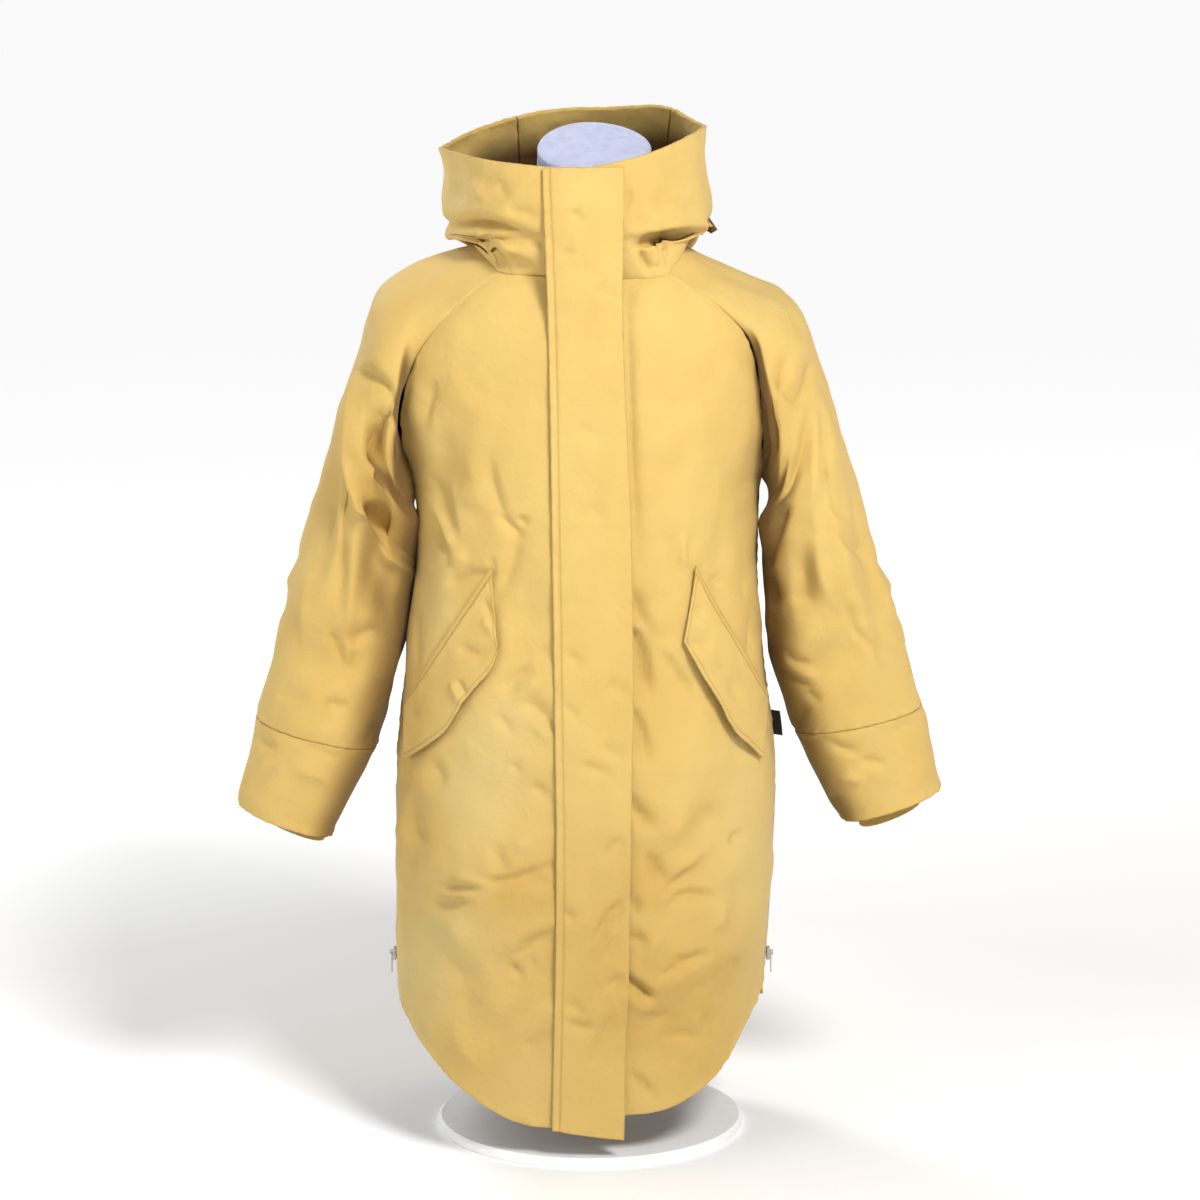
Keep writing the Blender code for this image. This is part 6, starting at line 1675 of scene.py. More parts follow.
def back_panel():
    right, left = side_edge("right", "back"), side_edge("left", "back")
    rise = (right[:, 1] - right[0, 1]) / (right[-1, 1] - right[0, 1])
    places = neck_places(neck_place("right_raglan_back"), neck_place("left_raglan_back"), BACK_COLUMNS)
    top = neck_edge(places)
    angles = np.linspace(-math.pi / 2, math.pi / 2, BACK_COLUMNS + 1)
    bottom = np.array([hem_point(a, "back") for a in angles])
    right[0], left[0] = bottom[0], bottom[-1]
    return panel(coons(bottom, top, right, left, rise), "back", ("first", "last"))


def ringed_grids(surface, name, turns, alongs):
    """The points and normals of a ringed surface at these turns and shares."""
    return grid_of(alongs, turns, lambda along, turn: folded(surface, name, turn, along))


def sleeve_grid(hand):
    turns = np.arange(SLEEVE_SIDES) / SLEEVE_SIDES
    alongs = [*SLEEVE_TOP_ROWS[:-1], *np.linspace(SLEEVE_TOP_ROWS[-1], 1, SLEEVE_ROWS - 1)]
    outer, normals = ringed_grids(sleeve_surfaces[hand], f"{hand}_sleeve", turns, alongs)
    pull_in(outer, 0, "last", SEAM_GAP / 2)
    return tucked((outer, normals))


def cuff_grid(hand):
    turns = np.arange(SLEEVE_SIDES) / SLEEVE_SIDES
    outer, normals = ringed_grids(cuff_surfaces[hand], "cuff", turns, np.linspace(0, 1, 2 * CUFF_ROWS + 1))
    pull_in(outer, 0, "first", SEAM_GAP / 2)
    return outer, normals


def knit_grid(hand):
    """The ribbed cuff's plain surface, under its ribs."""
    cuff_at = cuff_surfaces[hand]

    def seated(along):
        return lambda turn: cuff_at(turn, along) - surface_normal(cuff_at, turn, along) * KNIT_SEAT

    rings = [seated(KNIT_START), *(lambda t, r=r: ring_point(r, t) for r in KNIT_CUFF[hand])]
    turns = np.arange(KNIT_RIBS) / KNIT_RIBS
    return ringed_grids(surface_through(rings), "knit", turns, np.linspace(0, 1, 2 * KNIT_ROWS + 1))


def seam_turn(hand, along):
    """Where the crown panel's seam runs, between the nape and the rim."""
    foot = neck_place(f"{hand}_nape") / len(NECKLINE)
    return foot + (HOOD_SEAM_TURN[hand] - foot) * along


def hood_grid(places, first_turn, last_turn):
    """A hood panel's grid between two seams, each a function of the share of the way up."""
    shares = (np.array(places) - places[0]) / (places[-1] - places[0])

    def pair_at(along, share):
        first, last = first_turn(along), last_turn(along)
        return folded(hood_base, "hood", first + share * (last - first), along)

    outer, normals = grid_of(np.linspace(0, 1, HOOD_ROWS + 1), shares, pair_at)
    for end in ("first", "last"):
        pull_in(outer, 1, end, SEAM_GAP)
    return outer, normals


def hood_side_grid(hand):
    stops = [
        neck_places(ZIP_PLACE[hand], neck_place(f"{hand}_raglan_front"), FRONT_COLUMNS),
        neck_places(neck_place(f"{hand}_raglan_front"), neck_place(f"{hand}_raglan_back"), YOKE_COLUMNS),
        neck_places(neck_place(f"{hand}_raglan_back"), neck_place(f"{hand}_nape"), NAPE_COLUMNS),
    ]
    places = [*stops[0], *stops[1][1:], *stops[2][1:]]
    zip_edge = ZIP_X + SIGN[hand] * ZIP_WIDTH / 2
    whole_turn = 1.0 if hand == "left" else 0.0
    grid = hood_grid(
        places,
        lambda along: whole_turn + hood_turn(zip_edge, along),
        lambda along: seam_turn(hand, along),
    )
    return tucked(grid)


def hood_centre_grid():
    crown = neck_places(neck_place("right_nape"), neck_place("left_nape"), CROWN_COLUMNS)
    grid = hood_grid(crown, lambda along: seam_turn("right", along), lambda along: seam_turn("left", along))
    return tucked(grid)


def strip(x_right, x_left, heights, columns, lift):
    """Points and normals of a strip up the jacket's front, moved out by lift.

    Each row has a height at either end.
    """

    def pair_at(row, u):
        height = (1 - u) * row[0] + u * row[1]
        x = (1 - u) * x_right(height) + u * x_left(height)
        point, normal = front_at(x, height)
        return point + normal * lift(u), normal

    return grid_of(heights, np.linspace(0, 1, columns + 1), pair_at)


def placket_grid():
    """The storm flap over the front zip, from below the hem up to the hood's rim."""
    sewn, free = (column(PLACKET, "height", name) for name in ("sewn", "free"))
    sewn_run, free_run = (
        np.linspace(PLACKET_BOTTOM[name], NECK_JOIN[0], PLACKET_ROWS + 1) for name in ("sewn", "free")
    )
    top = np.linspace(NECK_JOIN[0], PLACKET_TOP, PLACKET_HOOD_ROWS + 1)[1:]
    heights = [*zip(sewn_run, free_run), *zip(top, top)]

    def lift(u):
        return PLACKET_CLOTH + SEWN_CLEAR + (PLACKET_CLEAR - SEWN_CLEAR) * clipped(SEWN_STRIP * u)

    points, normals = strip(sewn, free, heights, PLACKET_COLUMNS, lift)
    taut = points[..., 1].copy()
    for _ in range(TAUT_ROUNDS):
        taut[1:-1] = np.minimum(points[1:-1, :, 1], (taut[:-2] + taut[2:]) / 2)
    near_neck = smooth_step(points[..., 2], *TAUT_FROM) * smooth_step(points[..., 2], *TAUT_TO)
    points[..., 1] += (taut - points[..., 1]) * near_neck * TAUT_SHARE
    return points, normals


def flap_grid(hand, rows, lifts):
    """Points over a pocket flap's outline, and over the strip above its sewn edge."""
    corner = {name: np.array(place) for name, place in FLAP[hand].items()}
    along = corner["tip"] - corner["inner"]
    away = np.array([along[1], -along[0]]) / np.linalg.norm(along)
    away *= np.sign((corner["inner"] - corner["top"]) @ away)
    bulge_at = through(*zip(*FLAP_BULGE[hand]))

    def pair_at(v, u):
        sewn = corner["top"] * (1 - u) + corner["outer"] * u
        free = corner["inner"] * (1 - u) + corner["tip"] * u + away * float(bulge_at(u))
        x, height = sewn + (free - sewn) * v
        point, normal = creased(np.array([x, torso_y(x, height, "front"), height]))
        return point + normal * lifts(u, v), normal

    return grid_of(rows, np.linspace(0, 1, FLAP_COLUMNS + 1), pair_at)


def pocket_flap_grid(hand):
    bow = FLAP_BOW[hand]

    def lifts(u, v):
        return FLAP_CLEAR + FLAP_CLOTH + v * (FLAP_LIFT + bow * math.sin(math.pi * u))

    return flap_grid(hand, np.linspace(FLAP_START, 1, FLAP_ROWS + 1), lifts)


def pocket_welt_grid(hand):
    """The narrow strip stitched down along the flap's sewn edge."""
    rows = np.linspace(-WELT_SHARE, 0.0, WELT_ROWS + 1)
    return flap_grid(hand, rows, lambda u, v: FLAP_CLEAR + WELT_CLOTH)


# ---------------------------------------------------------------- materials
MIX_SHARE, MIX_A, MIX_B, MIX_COLOUR = 0, 6, 7, 2  # a mix node's sockets for colours, by their numbers


class Nodes:
    """A material's node tree, built up by name."""

    def __init__(self, name):
        self.material = bpy.data.materials.new(name)
        self.material.use_nodes = True
        self.tree = self.material.node_tree
        self.shader = self.tree.nodes["Principled BSDF"]

    def add(self, kind, inputs=None, **settings):
        node = self.tree.nodes.new(kind)
        for key, value in settings.items():
            setattr(node, key, value)
        for key, value in (inputs or {}).items():
            self.put(node, key, value)
        return node

    def put(self, node, key, value):
        if isinstance(value, bpy.types.NodeSocket):
            self.tree.links.new(value, node.inputs[key])
        else:
            node.inputs[key].default_value = value

    def noise(self, where, scale, detail, rough, twist=0.0):
        node = self.add("ShaderNodeTexNoise", {"Vector": where, "Scale": scale, "Detail": detail,
                                               "Roughness": rough, "Distortion": twist})
        return node.outputs["Fac"]

    def ranged(self, value, low, high, to_low=0.0, to_high=1.0):
        node = self.add("ShaderNodeMapRange", {"Value": value, "From Min": low, "From Max": high,
                                               "To Min": to_low, "To Max": to_high})
        return node.outputs["Result"]

    def math(self, operation, a, b=0.0):
        node = self.add("ShaderNodeMath", {0: a, 1: b}, operation=operation)
        return node.outputs["Value"]

    def mix(self, share, a, b):
        node = self.add("ShaderNodeMix", {MIX_SHARE: share, MIX_A: a, MIX_B: b}, data_type="RGBA")
        return node.outputs[MIX_COLOUR]

    def bump(self, height, distance, strength=1.0, after=None):
        inputs = {"Height": height, "Distance": distance, "Strength": strength}
        if after is not None:
            inputs["Normal"] = after
        return self.add("ShaderNodeBump", inputs).outputs["Normal"]

    def attribute(self, name):
        return self.add("ShaderNodeAttribute", attribute_name=name).outputs["Fac"]


# Noise patterns: their scale, detail, roughness and, for some, how twisted they are.
BROAD, PATCHES, UNEVEN, SLUBS = (7.0, 2.0, 0.5), (26.0, 3.0, 0.6, 0.4), (90.0, 3.0, 0.6), (700.0, 2.0, 0.7)
CRUMPLES, FINE_CRUMPLES, WOBBLE = (38.0, 4.0, 0.55, 0.5), (150.0, 3.0, 0.6, 0.3), (260.0, 2.0, 0.55)
WEAR, GRAIN, FLOOR_TONE = (60.0, 5.0, 0.65), (900.0, 2.0, 0.6), (3.0, 4.0, 0.55)
THREAD_WAVES, THREAD_WOBBLE = 0.314, 0.8  # a wave texture's scale for one thread, and its jitter

# What values of a pattern or a mark are turned into: from low to high, and between which shares.
DYE, PALE_DYE, PALE_SLUBS = (0.35, 0.65), (0.45, 0.75, 0.0, 0.22), (0.55, 0.85, 0.0, 0.25)
# Painted shade in crease troughs: the crease mark darkens the colour towards the deep one from this depth on,
# in millimetres.
CREASE_SHADE = (-7.5, -20.0, 0.0, 0.80)  # millimetres that a crease lies in
# Painted shade along seams, in uneven patches:
SEAM_SHADE, SEAM_SHADE_PATCHES = (1.8, 0.3), (0.4, 0.7, 0.3, 0.7)  # millimetres from the seam
# The faded spots, one of them painted shade, and the spots of painted shade are made uneven by these.
FADING_AND_SHADE_PATCHES, SHADE_PATCHES = (0.25, 0.65, 0.6, 1.0), (0.25, 0.65, 0.7, 1.0)
# The first makes the painted shade inside and on the arms' inner sides uneven; the second paints shade on
# stitched lines.
INSIDE_SHADE_PATCHES, LINE_SHADE, ROUGH_PATCHES = (0.3, 0.7, 0.94, 1.0), (0.2, 1.0, 0.0, 0.45), (0.3, 0.7)
WEAR_SPOTS, ROUGH_WEAR = (0.55, 0.75), (0.3, 0.75)
CLOTH_SPECULAR, SHEEN_ROUGHNESS = 0.28, 0.45
FINE_BUMP, THREAD_BUMP, THREAD_STRENGTH = 0.22, 0.12, 0.7  # shares of the crumple's and a thread's size


def weave(nodes, pitch):
    """Two crossing sets of threads, from the cloth's own coordinates."""
    cloth = nodes.add("ShaderNodeUVMap", uv_map="cloth").outputs["UV"]
    wobble = nodes.noise(cloth, *WOBBLE)
    shifted = nodes.add("ShaderNodeVectorMath", {0: cloth}, operation="ADD")
    jitter = nodes.add("ShaderNodeVectorMath", {0: wobble, "Scale": pitch * THREAD_WOBBLE}, operation="SCALE")
    nodes.put(shifted, 1, jitter.outputs["Vector"])
    threads = []
    for direction in ("X", "Y"):
        wave = nodes.add(
            "ShaderNodeTexWave",
            {"Vector": shifted.outputs["Vector"], "Scale": THREAD_WAVES / pitch},
            wave_type="BANDS", bands_direction=direction, wave_profile="SIN",
        )
        threads.append(wave.outputs["Fac"])
    return nodes.math("MULTIPLY", threads[0], threads[1])


def cloth_material(name, look):
    """Cotton-like cloth: uneven dye, fading, partly painted shade, painted shade in creases, by seams, on
    stitched lines, in soft spots and inside, threads and a fine crumple.
    """
    nodes = Nodes(name)
    place = nodes.add("ShaderNodeTexCoord").outputs["Object"]
    patches = nodes.noise(place, *PATCHES)
    threads = weave(nodes, look.pitch)

    def in_patches(mark, span):
        """A mark of the mesh, made uneven."""
        return nodes.math("MULTIPLY", nodes.attribute(mark), nodes.ranged(patches, *span))

    # Painted shade beside the seams, made uneven.
    seam_shade = nodes.math(
        "MULTIPLY",
        nodes.ranged(nodes.attribute("seam"), *SEAM_SHADE),
        nodes.ranged(nodes.noise(place, *UNEVEN), *SEAM_SHADE_PATCHES),
    )
    colour = nodes.mix(nodes.ranged(nodes.noise(place, *BROAD), *DYE), look.base, look.warm)
    for share, tint in (
        (nodes.ranged(patches, *PALE_DYE), look.pale),
        # Painted shade: in crease troughs, beside seams, in soft spots, inside and on the arms' inner sides,
        # and on stitched lines.
        (nodes.ranged(nodes.attribute("crease"), *CREASE_SHADE), look.deep),
        (seam_shade, look.deep),
        (in_patches("fade", FADING_AND_SHADE_PATCHES), look.faded),
        (in_patches("shade", SHADE_PATCHES), look.shaded),
        (in_patches("lining", INSIDE_SHADE_PATCHES), look.inside),
        (nodes.ranged(nodes.attribute("line"), *LINE_SHADE), look.deep),
        (nodes.ranged(threads, 0.0, 1.0, look.thread_shade, 0.0), look.deep),
        (nodes.ranged(nodes.noise(place, *SLUBS), *PALE_SLUBS), look.pale),
    ):
        colour = nodes.mix(share, colour, tint)
    normal = nodes.bump(nodes.noise(place, *CRUMPLES), look.crumple)
    normal = nodes.bump(nodes.noise(place, *FINE_CRUMPLES), look.crumple * FINE_BUMP, 1.0, normal)
    normal = nodes.bump(threads, look.pitch * THREAD_BUMP, THREAD_STRENGTH, normal)
    for key, value in (
        ("Base Color", colour),
        ("Roughness", nodes.ranged(patches, *ROUGH_PATCHES, *look.rough)),
        ("Specular IOR Level", CLOTH_SPECULAR),
        ("Sheen Weight", look.sheen),
        ("Sheen Roughness", SHEEN_ROUGHNESS),
        ("Sheen Tint", look.sheen_tint),
        ("Normal", normal),
    ):
        nodes.put(nodes.shader, key, value)
    return nodes.material


Look = namedtuple(
    "Look",
    "base warm pale deep faded shaded inside pitch thread_shade rough sheen sheen_tint crumple",
)
# Painted shade: the shaded and inside colours, and the deep colour in creases, by seams and on stitched
# lines; the deep colour also gives the threads their darker tone.
SHELL_LOOK = Look(
    base=(0.600, 0.420, 0.132, 1), warm=(0.575, 0.390, 0.116, 1), pale=(0.670, 0.495, 0.195, 1),
    deep=(0.330, 0.185, 0.035, 1), faded=(0.560, 0.475, 0.215, 1), shaded=(0.500, 0.320, 0.085, 1),
    inside=(0.050, 0.015, 0.001, 1), pitch=0.0006, thread_shade=0.12, rough=(0.74, 0.84),
    sheen=0.10, sheen_tint=(1.0, 0.88, 0.60, 1), crumple=0.0018,
)
KNIT_LOOK = SHELL_LOOK._replace(
    base=(0.470, 0.310, 0.085, 1), warm=(0.440, 0.280, 0.070, 1), pale=(0.560, 0.400, 0.140, 1),
    deep=(0.220, 0.115, 0.022, 1), pitch=0.0014, thread_shade=0.40, rough=(0.86, 0.96),
    sheen=0.45, crumple=0.0006,
)
COVER_LOOK = SHELL_LOOK._replace(
    base=(0.500, 0.535, 0.700, 1), warm=(0.530, 0.555, 0.690, 1), pale=(0.600, 0.620, 0.720, 1),
    deep=(0.300, 0.330, 0.520, 1), faded=(0.70, 0.73, 0.85, 1), pitch=0.0007, thread_shade=0.10,
    rough=(0.79, 0.89), sheen=0.30, sheen_tint=(0.95, 0.96, 1.0, 1), crumple=0.0009,
)
TAPE_LOOK = SHELL_LOOK._replace(
    base=(0.420, 0.270, 0.080, 1), warm=(0.400, 0.250, 0.070, 1), pale=(0.520, 0.350, 0.120, 1),
    deep=(0.200, 0.110, 0.030, 1), faded=(0.420, 0.270, 0.080, 1), shaded=(0.360, 0.220, 0.060, 1),
    crumple=0.0002,
)
TAB_LOOK = SHELL_LOOK._replace(
    base=(0.012, 0.012, 0.014, 1), warm=(0.010, 0.010, 0.011, 1), pale=(0.040, 0.040, 0.045, 1),
    deep=(0.004, 0.004, 0.004, 1), faded=(0.012, 0.012, 0.014, 1), shaded=(0.010, 0.010, 0.011, 1),
    inside=(0.008, 0.008, 0.008, 1), pitch=0.0005, thread_shade=0.4,
    rough=(0.74, 0.84), sheen=0.2, sheen_tint=(1, 1, 1, 1), crumple=0.0002,
)


def hard_material(name, colour, worn_colour, metallic, rough, bump):
    """Metal or paint with faint wear, rough within this range."""
    nodes = Nodes(name)
    place = nodes.add("ShaderNodeTexCoord").outputs["Object"]
    wear = nodes.noise(place, *WEAR)
    nodes.put(nodes.shader, "Base Color", nodes.mix(nodes.ranged(wear, *WEAR_SPOTS), colour, worn_colour))
    nodes.put(nodes.shader, "Metallic", metallic)
    nodes.put(nodes.shader, "Roughness", nodes.ranged(wear, *ROUGH_WEAR, *rough))
    nodes.put(nodes.shader, "Normal", nodes.bump(nodes.noise(place, *GRAIN), bump))
    return nodes.material


paints = {
    "cloth": cloth_material("mustard_cloth", SHELL_LOOK),
    "knit": cloth_material("rib_knit", KNIT_LOOK),
    "cover": cloth_material("form_cover", COVER_LOOK),
    "tape": cloth_material("zip_tape", TAPE_LOOK),
    "tab": cloth_material("woven_tab", TAB_LOOK),
    "thread": hard_material(
        "thread", (0.52, 0.34, 0.09, 1), (0.44, 0.27, 0.06, 1), 0.0, (0.62, 0.82), 0.00002),
    "metal": hard_material(
        "dull_nickel", (0.45, 0.43, 0.40, 1), (0.30, 0.27, 0.23, 1), 1.0, (0.26, 0.46), 0.00002),
    "stand": hard_material(
        "stand_paint", (0.86, 0.86, 0.86, 1), (0.78, 0.78, 0.78, 1), 0.0, (0.47, 0.67), 0.00005),
}


# ---------------------------------------------------------------- the cloth pieces
def border_path(name, border, inset):
    """The points and normals of a line at this distance inside one border of a shell."""
    made = shells[name]
    grids = [made.points, made.normals, made.base]
    if border.endswith("column"):
        grids = [np.swapaxes(grid, 0, 1) for grid in grids]
    if border.startswith("last"):
        grids = [grid[::-1] for grid in grids]
    points, normals, base = grids
    run = runs(base, 0)
    row = np.argmax(run >= inset, axis=0)
    column = np.arange(points.shape[1])
    low, high = run[row - 1, column], run[row, column]
    share = ((inset - low) / (high - low))[:, None]
    path = points[row - 1, column] * (1 - share) + points[row, column] * share
    return path, normals[row, column]


def stitch_boxes(path, normals, seed):
    """Uneven flat stitches along a path, as the corners of small boxes."""
    rng = np.random.default_rng(seed)
    run = np.concatenate([[0.0], np.cumsum(np.linalg.norm(np.diff(path, axis=0), axis=1))])
    starts = np.arange(STITCH_ENDS[0], run[-1] - STITCH_ENDS[1], STITCH_PITCH)
    starts = starts + rng.uniform(-STITCH_JITTER, STITCH_JITTER, len(starts))

    def at(places, values):
        return np.stack([np.interp(places, run, values[:, k]) for k in range(3)], axis=-1)

    begin = at(starts, path)
    end = at(starts + STITCH * rng.uniform(*STITCH_LENGTHS, len(starts)), path)
    normal = at(starts, normals)
    normal /= np.linalg.norm(normal, axis=1, keepdims=True)
    way = end - begin
    side = np.cross(way, normal)
    side *= STITCH_HALF / np.linalg.norm(side, axis=1, keepdims=True)
    low, high = normal * -STITCH_SINK, normal * STITCH_RISE
    narrow, short = side * STITCH_TOP, way * STITCH_SLOPE
    foot = [begin + side, begin - side, end - side, end + side]
    top = [begin + narrow + short, begin - narrow + short, end - narrow - short, end + narrow - short]
    return np.stack([*(corner + low for corner in foot), *(corner + high for corner in top)], axis=1)


BOX_FACES = ((3, 2, 1, 0), (4, 5, 6, 7), (0, 1, 5, 4), (1, 2, 6, 5), (2, 3, 7, 6), (3, 0, 4, 7))


def boxes_object(name, corners, paint):
    """Many eight-cornered pieces as one mesh."""
    faces = (np.array(BOX_FACES)[None] + np.arange(len(corners))[:, None, None] * 8).reshape(-1, 4)
    obj = solid_object(name, corners.reshape(-1, 3), faces.tolist())
    obj.data.materials.append(paints[paint])
    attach(obj, "jacket")


def build_stitches():
    corners = []
    for key, lines in STITCHED.items():
        names = [name for name in (key, f"{key}_right", f"{key}_left") if name in shells]
        for name in names:
            for line in lines:
                corners.append(stitch_boxes(*border_path(name, line.border, line.inset), len(corners)))
    boxes_object("stitches", np.concatenate(corners), "thread")


def torso_strip(hand, heights, across):
    """Points and normals over a side seam, at these heights and distances behind it."""

    def pair_at(height, behind_seam):
        edge = torso_at(SIGN[hand] * math.pi / 2, height, "front")
        normal = torso_normal(edge)
        return edge - normal * ZIP_INSET + np.array([0, behind_seam, 0]), normal

    return grid_of(heights, across, pair_at)


def build_trims():
    """The zips' tapes and the plain woven tab."""
    tape = {"sewn": (), "ripple": 0.0, "paint": "tape", "slot": "zip"}
    across = np.linspace(-VENT_ZIP_WIDTH / 2, VENT_ZIP_WIDTH / 2, TAPE_COLUMNS + 1)
    for hand in SIGN:
        grid = torso_strip(hand, np.linspace(VENT_TOP, VENT_ZIP_TOP - SEAM_GAP, SIDE_ZIP_ROWS + 1), across)
        shell(f"side_zip_{hand}", grid, SIDE_ZIP_STEPS, ZIP_DEPTH, **tape)
    reach = ZIP_WIDTH / 2 - 2 * SEAM_GAP
    heights = [(h, h) for h in np.linspace(ZIP_FOOT, ZIP_TOP, FRONT_ZIP_ROWS + 1)]
    grid = strip(
        lambda h: ZIP_X - reach, lambda h: ZIP_X + reach, heights, TAPE_COLUMNS, lambda u: -ZIP_INSET)
    shell("front_zip", grid, FRONT_ZIP_STEPS, ZIP_DEPTH, **tape)
    out = np.array([LABEL_OUT, -1.0, 0.0]) / math.hypot(LABEL_OUT, 1.0)
    normal = np.array([-out[1], out[0], 0.0])

    def label_at(share, place):
        edge = torso_at(math.pi / 2, LABEL_FOOT + share * LABEL_HEIGHT, "front")
        base = np.array([edge[0] + LABEL_STANDOFF, -LABEL_SHIFT, edge[2]])
        return base + out * LABEL_REACH * place, normal

    grid = grid_of(np.linspace(0, 1, LABEL_ROWS + 1), LABEL_PLACES, label_at)
    shell("side_tab", grid, LABEL_STEPS, LABEL_THICKNESS, sewn=(), ripple=0.25, paint="tab", slot="woven_tab")


def knit_ribs(base):
    """Rounded ribs that run along a knitted cuff."""
    turn = np.arange(base.shape[1]) / base.shape[1]
    wave = np.abs(np.cos(math.pi * KNIT_FINE_RIBS * turn))
    return np.broadcast_to(KNIT_WAVE * (wave - KNIT_MIDDLE), base.shape[:2])


def build_knits():
    for hand in SIGN:
        shell(f"knit_cuff_{hand}", knit_grid(hand), KNIT_STEPS, KNIT, closed=True, sewn=("first_row",),
              ripple=0.3, paint="knit", slot="knit", ribs=knit_ribs)


def build_cap():
    """The neck's padded cap, with its cover drawn over it and a seam across."""
    top = NECK_TOP
    middle_x, middle_y = (top.right + top.left) / 2, (top.front + top.back) / 2
    share_at, rise_at = (through(range(len(CAP)), values) for values in zip(*CAP))
    turn = math.tau * np.arange(CAP_SIDES) / CAP_SIDES
    rings = []
    for place in np.linspace(0, len(CAP) - 1, CAP_RINGS):
        share = min(float(share_at(place)), 1.0)
        aside = (top.left - top.right) / 2 * share * np.sin(turn)
        ahead = (top.front - top.back) / 2 * share * np.cos(turn)
        off = (ahead - CAP_FOLD_PLACE - CAP_FOLD_SLOPE * aside) / CAP_FOLD_HALF
        fold = CAP_FOLD * np.exp(-(off**2)) * (place > CAP_FOLD_FROM)
        dent = CAP_DENT * np.sin(2 * turn + CAP_DENT_START) * smooth_step(place, *CAP_DENT_RINGS)
        y = middle_y + ahead
        foot = top.height + math.tan(math.radians(top.lean)) * y + SEAM_GAP
        height = foot + rise_at(place) * CAP_HEIGHT + fold + dent
        rings.append(np.stack([middle_x + aside, y, height], axis=-1))
    points = np.concatenate([*rings, [rings[-1].mean(axis=0), rings[0].mean(axis=0)]])
    crown, floor = len(points) - 2, len(points) - 1
    index = wrapped(np.arange(CAP_RINGS * CAP_SIDES).reshape(CAP_RINGS, CAP_SIDES))
    first, last = index[0].tolist(), index[-1].tolist()
    faces = quads(index).tolist()
    faces += [[a, b, crown] for a, b in zip(last, last[1:])]
    faces += [[b, a, floor] for a, b in zip(first, first[1:])]
    obj = solid_object("form_cap_cover", points, faces)
    lay_cloth(obj.data, points[:, :2])
    obj.data.materials.append(paints["cover"])
    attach(obj, "jacket")
    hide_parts("form_neck_cap")


def build_teeth():
    """The teeth of the two side zips, each side's in turn."""
    corners = []
    for hand in SIGN:
        angle = SIGN[hand] * math.pi / 2
        heights = np.arange(VENT_TOP + TOOTH_START, VENT_ZIP_TOP - TOOTH_STOP, TOOTH_PITCH / 2)
        for k, height in enumerate(heights):
            edge = torso_at(angle, height, "front")
            out = torso_normal(edge)
            aside = TOOTH_ASIDE if k % 2 else -TOOTH_ASIDE
            middle = edge - out * (ZIP_INSET - TOOTH_LIFT) + np.array([0, aside, 0])
            across, up = np.array([0, TOOTH_ACROSS, 0]), np.array([0, 0, TOOTH_UP])
            low, high = middle - out * TOOTH_IN, middle + out * TOOTH_OUT
            ring = [-across - up, across - up, across + up, -across + up]
            corners.append([*(low + r for r in ring), *(high + r * TOOTH_TOP for r in ring)])
    boxes_object("side_zip_teeth", np.array(corners), "metal")


def build_cloth():
    tube = {"closed": True, "sewn": ENDS}
    for hand in SIGN:
        shell(f"front_{hand}", front_panel(hand), FRONT_STEPS, CLOTH)
    shell("back", back_panel(), BACK_STEPS, CLOTH)
    for hand in SIGN:
        shell(f"sleeve_{hand}", sleeve_grid(hand), SLEEVE_STEPS, CLOTH, group=f"arm_{hand}", **tube)
        shell(f"cuff_{hand}", cuff_grid(hand), CUFF_STEPS, CLOTH, group=f"arm_{hand}", **tube)
        shell(f"hood_{hand}", hood_side_grid(hand), HOOD_STEPS, HOOD_CLOTH, group="hood")
        shell(f"pocket_flap_{hand}", pocket_flap_grid(hand), FLAP_STEPS, FLAP_CLOTH, ripple=0.5)
        shell(f"pocket_welt_{hand}", pocket_welt_grid(hand), WELT_STEPS, WELT_CLOTH, ripple=0.2)
    shell("hood_centre", hood_centre_grid(), CROWN_STEPS, HOOD_CLOTH, group="hood")
    shell("placket", placket_grid(), PLACKET_STEPS, PLACKET_CLOTH, ripple=0.8)


build_cloth()
build_stitches()
build_trims()
build_knits()
build_cap()
build_teeth()

# ---------------------------------------------------------------- stage, lights and camera
Light = namedtuple("Light", "name place aim size power colour")
LIGHTS = table(
    Light,
    ("key", (1.25, -2.5, 2.9), 0.75, 1.0, 125.0, (1.0, 0.98, 0.95)),
    ("fill", (-2.6, -2.2, 1.9), 0.6, 1.8, 26.0, (0.95, 0.97, 1.0)),
    ("back", (-1.9, 2.3, 2.6), 0.6, 1.4, 60.0, (1.0, 1.0, 1.0)),
)
# The sky is bright up to the first height over the horizon and dim above the second one.
HORIZON_LIGHT, SKY_LIGHT, SKY_HEIGHTS = 0.95, 0.30, (0.10, 0.45)
FLOOR_HALF, FLOOR_GREYS, FLOOR_GLOW, GLOW_REACH = 14.0, ((0.90,) * 3, (0.92,) * 3), 0.62, (0.9, 3.6)
SENSOR, CLIP_END = 36.0, 60.0


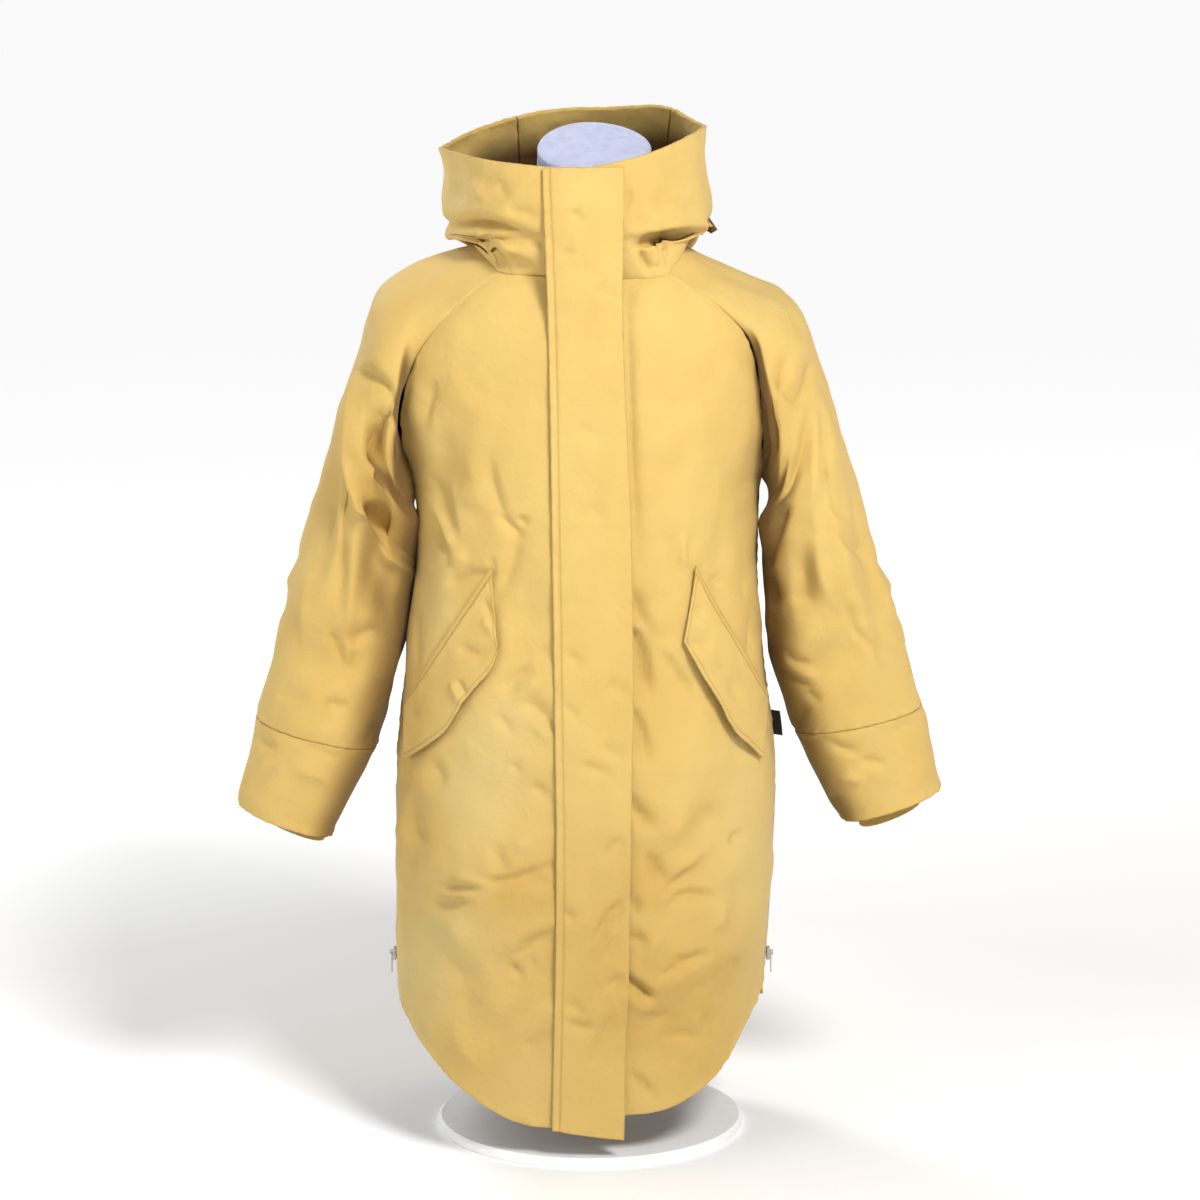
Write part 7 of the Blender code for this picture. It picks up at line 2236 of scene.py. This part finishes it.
def light_stage():
    """Round lamps, each aimed at a height of the jacket's middle, and a studio's sky."""
    for light in LIGHTS:
        data = bpy.data.lights.new(light.name, "AREA")
        data.shape = "DISK"
        data.size = light.size
        data.energy = light.power
        data.color = light.colour
        lamp = linked(light.name, data)
        lamp.location = light.place
        way = Vector((0, 0, light.aim)) - Vector(light.place)
        lamp.rotation_euler = way.to_track_quat("-Z", "Y").to_euler()
    world = bpy.data.worlds.new("studio")
    world.use_nodes = True
    nodes, links = world.node_tree.nodes, world.node_tree.links
    background = nodes["Background"]
    split = nodes.new("ShaderNodeSeparateXYZ")
    band = nodes.new("ShaderNodeMapRange")
    ends = ("From Min", "From Max", "To Min", "To Max")
    for key, value in zip(ends, (*SKY_HEIGHTS, HORIZON_LIGHT, SKY_LIGHT)):
        band.inputs[key].default_value = value
    links.new(nodes.new("ShaderNodeTexCoord").outputs["Generated"], split.inputs["Vector"])
    links.new(split.outputs["Z"], band.inputs["Value"])
    links.new(band.outputs["Result"], background.inputs["Strength"])
    background.inputs["Color"].default_value = (1.0, 1.0, 1.0, 1)
    bpy.context.scene.world = world


def floor_stage():
    """A white floor that glows into the background away from the jacket."""
    corners = [(x * FLOOR_HALF, y * FLOOR_HALF, 0.0) for x, y in ((-1, -1), (1, -1), (1, 1), (-1, 1))]
    mesh = bpy.data.meshes.new("floor")
    mesh.from_pydata(corners, [], [(0, 1, 2, 3)])
    floor = linked("floor", mesh)
    nodes = Nodes("floor")
    place = nodes.add("ShaderNodeTexCoord").outputs["Object"]
    low, high = ((*grey, 1) for grey in FLOOR_GREYS)
    away = nodes.add("ShaderNodeVectorMath", {0: place}, operation="LENGTH").outputs["Value"]
    for key, value in (
        ("Base Color", nodes.mix(nodes.noise(place, *FLOOR_TONE), low, high)),
        ("Roughness", 1.0),
        ("Specular IOR Level", 0.0),
        ("Emission Color", (1, 1, 1, 1)),
        ("Emission Strength", nodes.ranged(away, *GLOW_REACH, 0.0, FLOOR_GLOW)),
    ):
        nodes.put(nodes.shader, key, value)
    mesh.materials.append(nodes.material)


def camera():
    """The photograph's own camera: its tilt, its distance and its width of view."""
    data = bpy.data.cameras.new("camera")
    data.sensor_fit = "HORIZONTAL"
    data.sensor_width = SENSOR
    data.lens = SENSOR * VIEW_FOCUS / PICTURE
    data.clip_end = CLIP_END
    eye = linked("camera", data)
    eye.location = (
        VIEW_X,
        -VIEW_DISTANCE * math.cos(VIEW_PITCH),
        VIEW_HEIGHT + VIEW_DISTANCE * math.sin(VIEW_PITCH),
    )
    eye.rotation_euler = (math.pi / 2 - VIEW_PITCH, 0, 0)
    bpy.context.scene.camera = eye


def dress_nodes():
    """Materials for the nodes that stay as they are."""
    for node, paint in NODE_PAINTS.items():
        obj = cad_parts[node]
        obj.data.materials.clear()
        obj.data.materials.append(paints[paint])


bpy.context.scene.view_settings.view_transform = "Standard"
floor_stage()
light_stage()
camera()
dress_nodes()
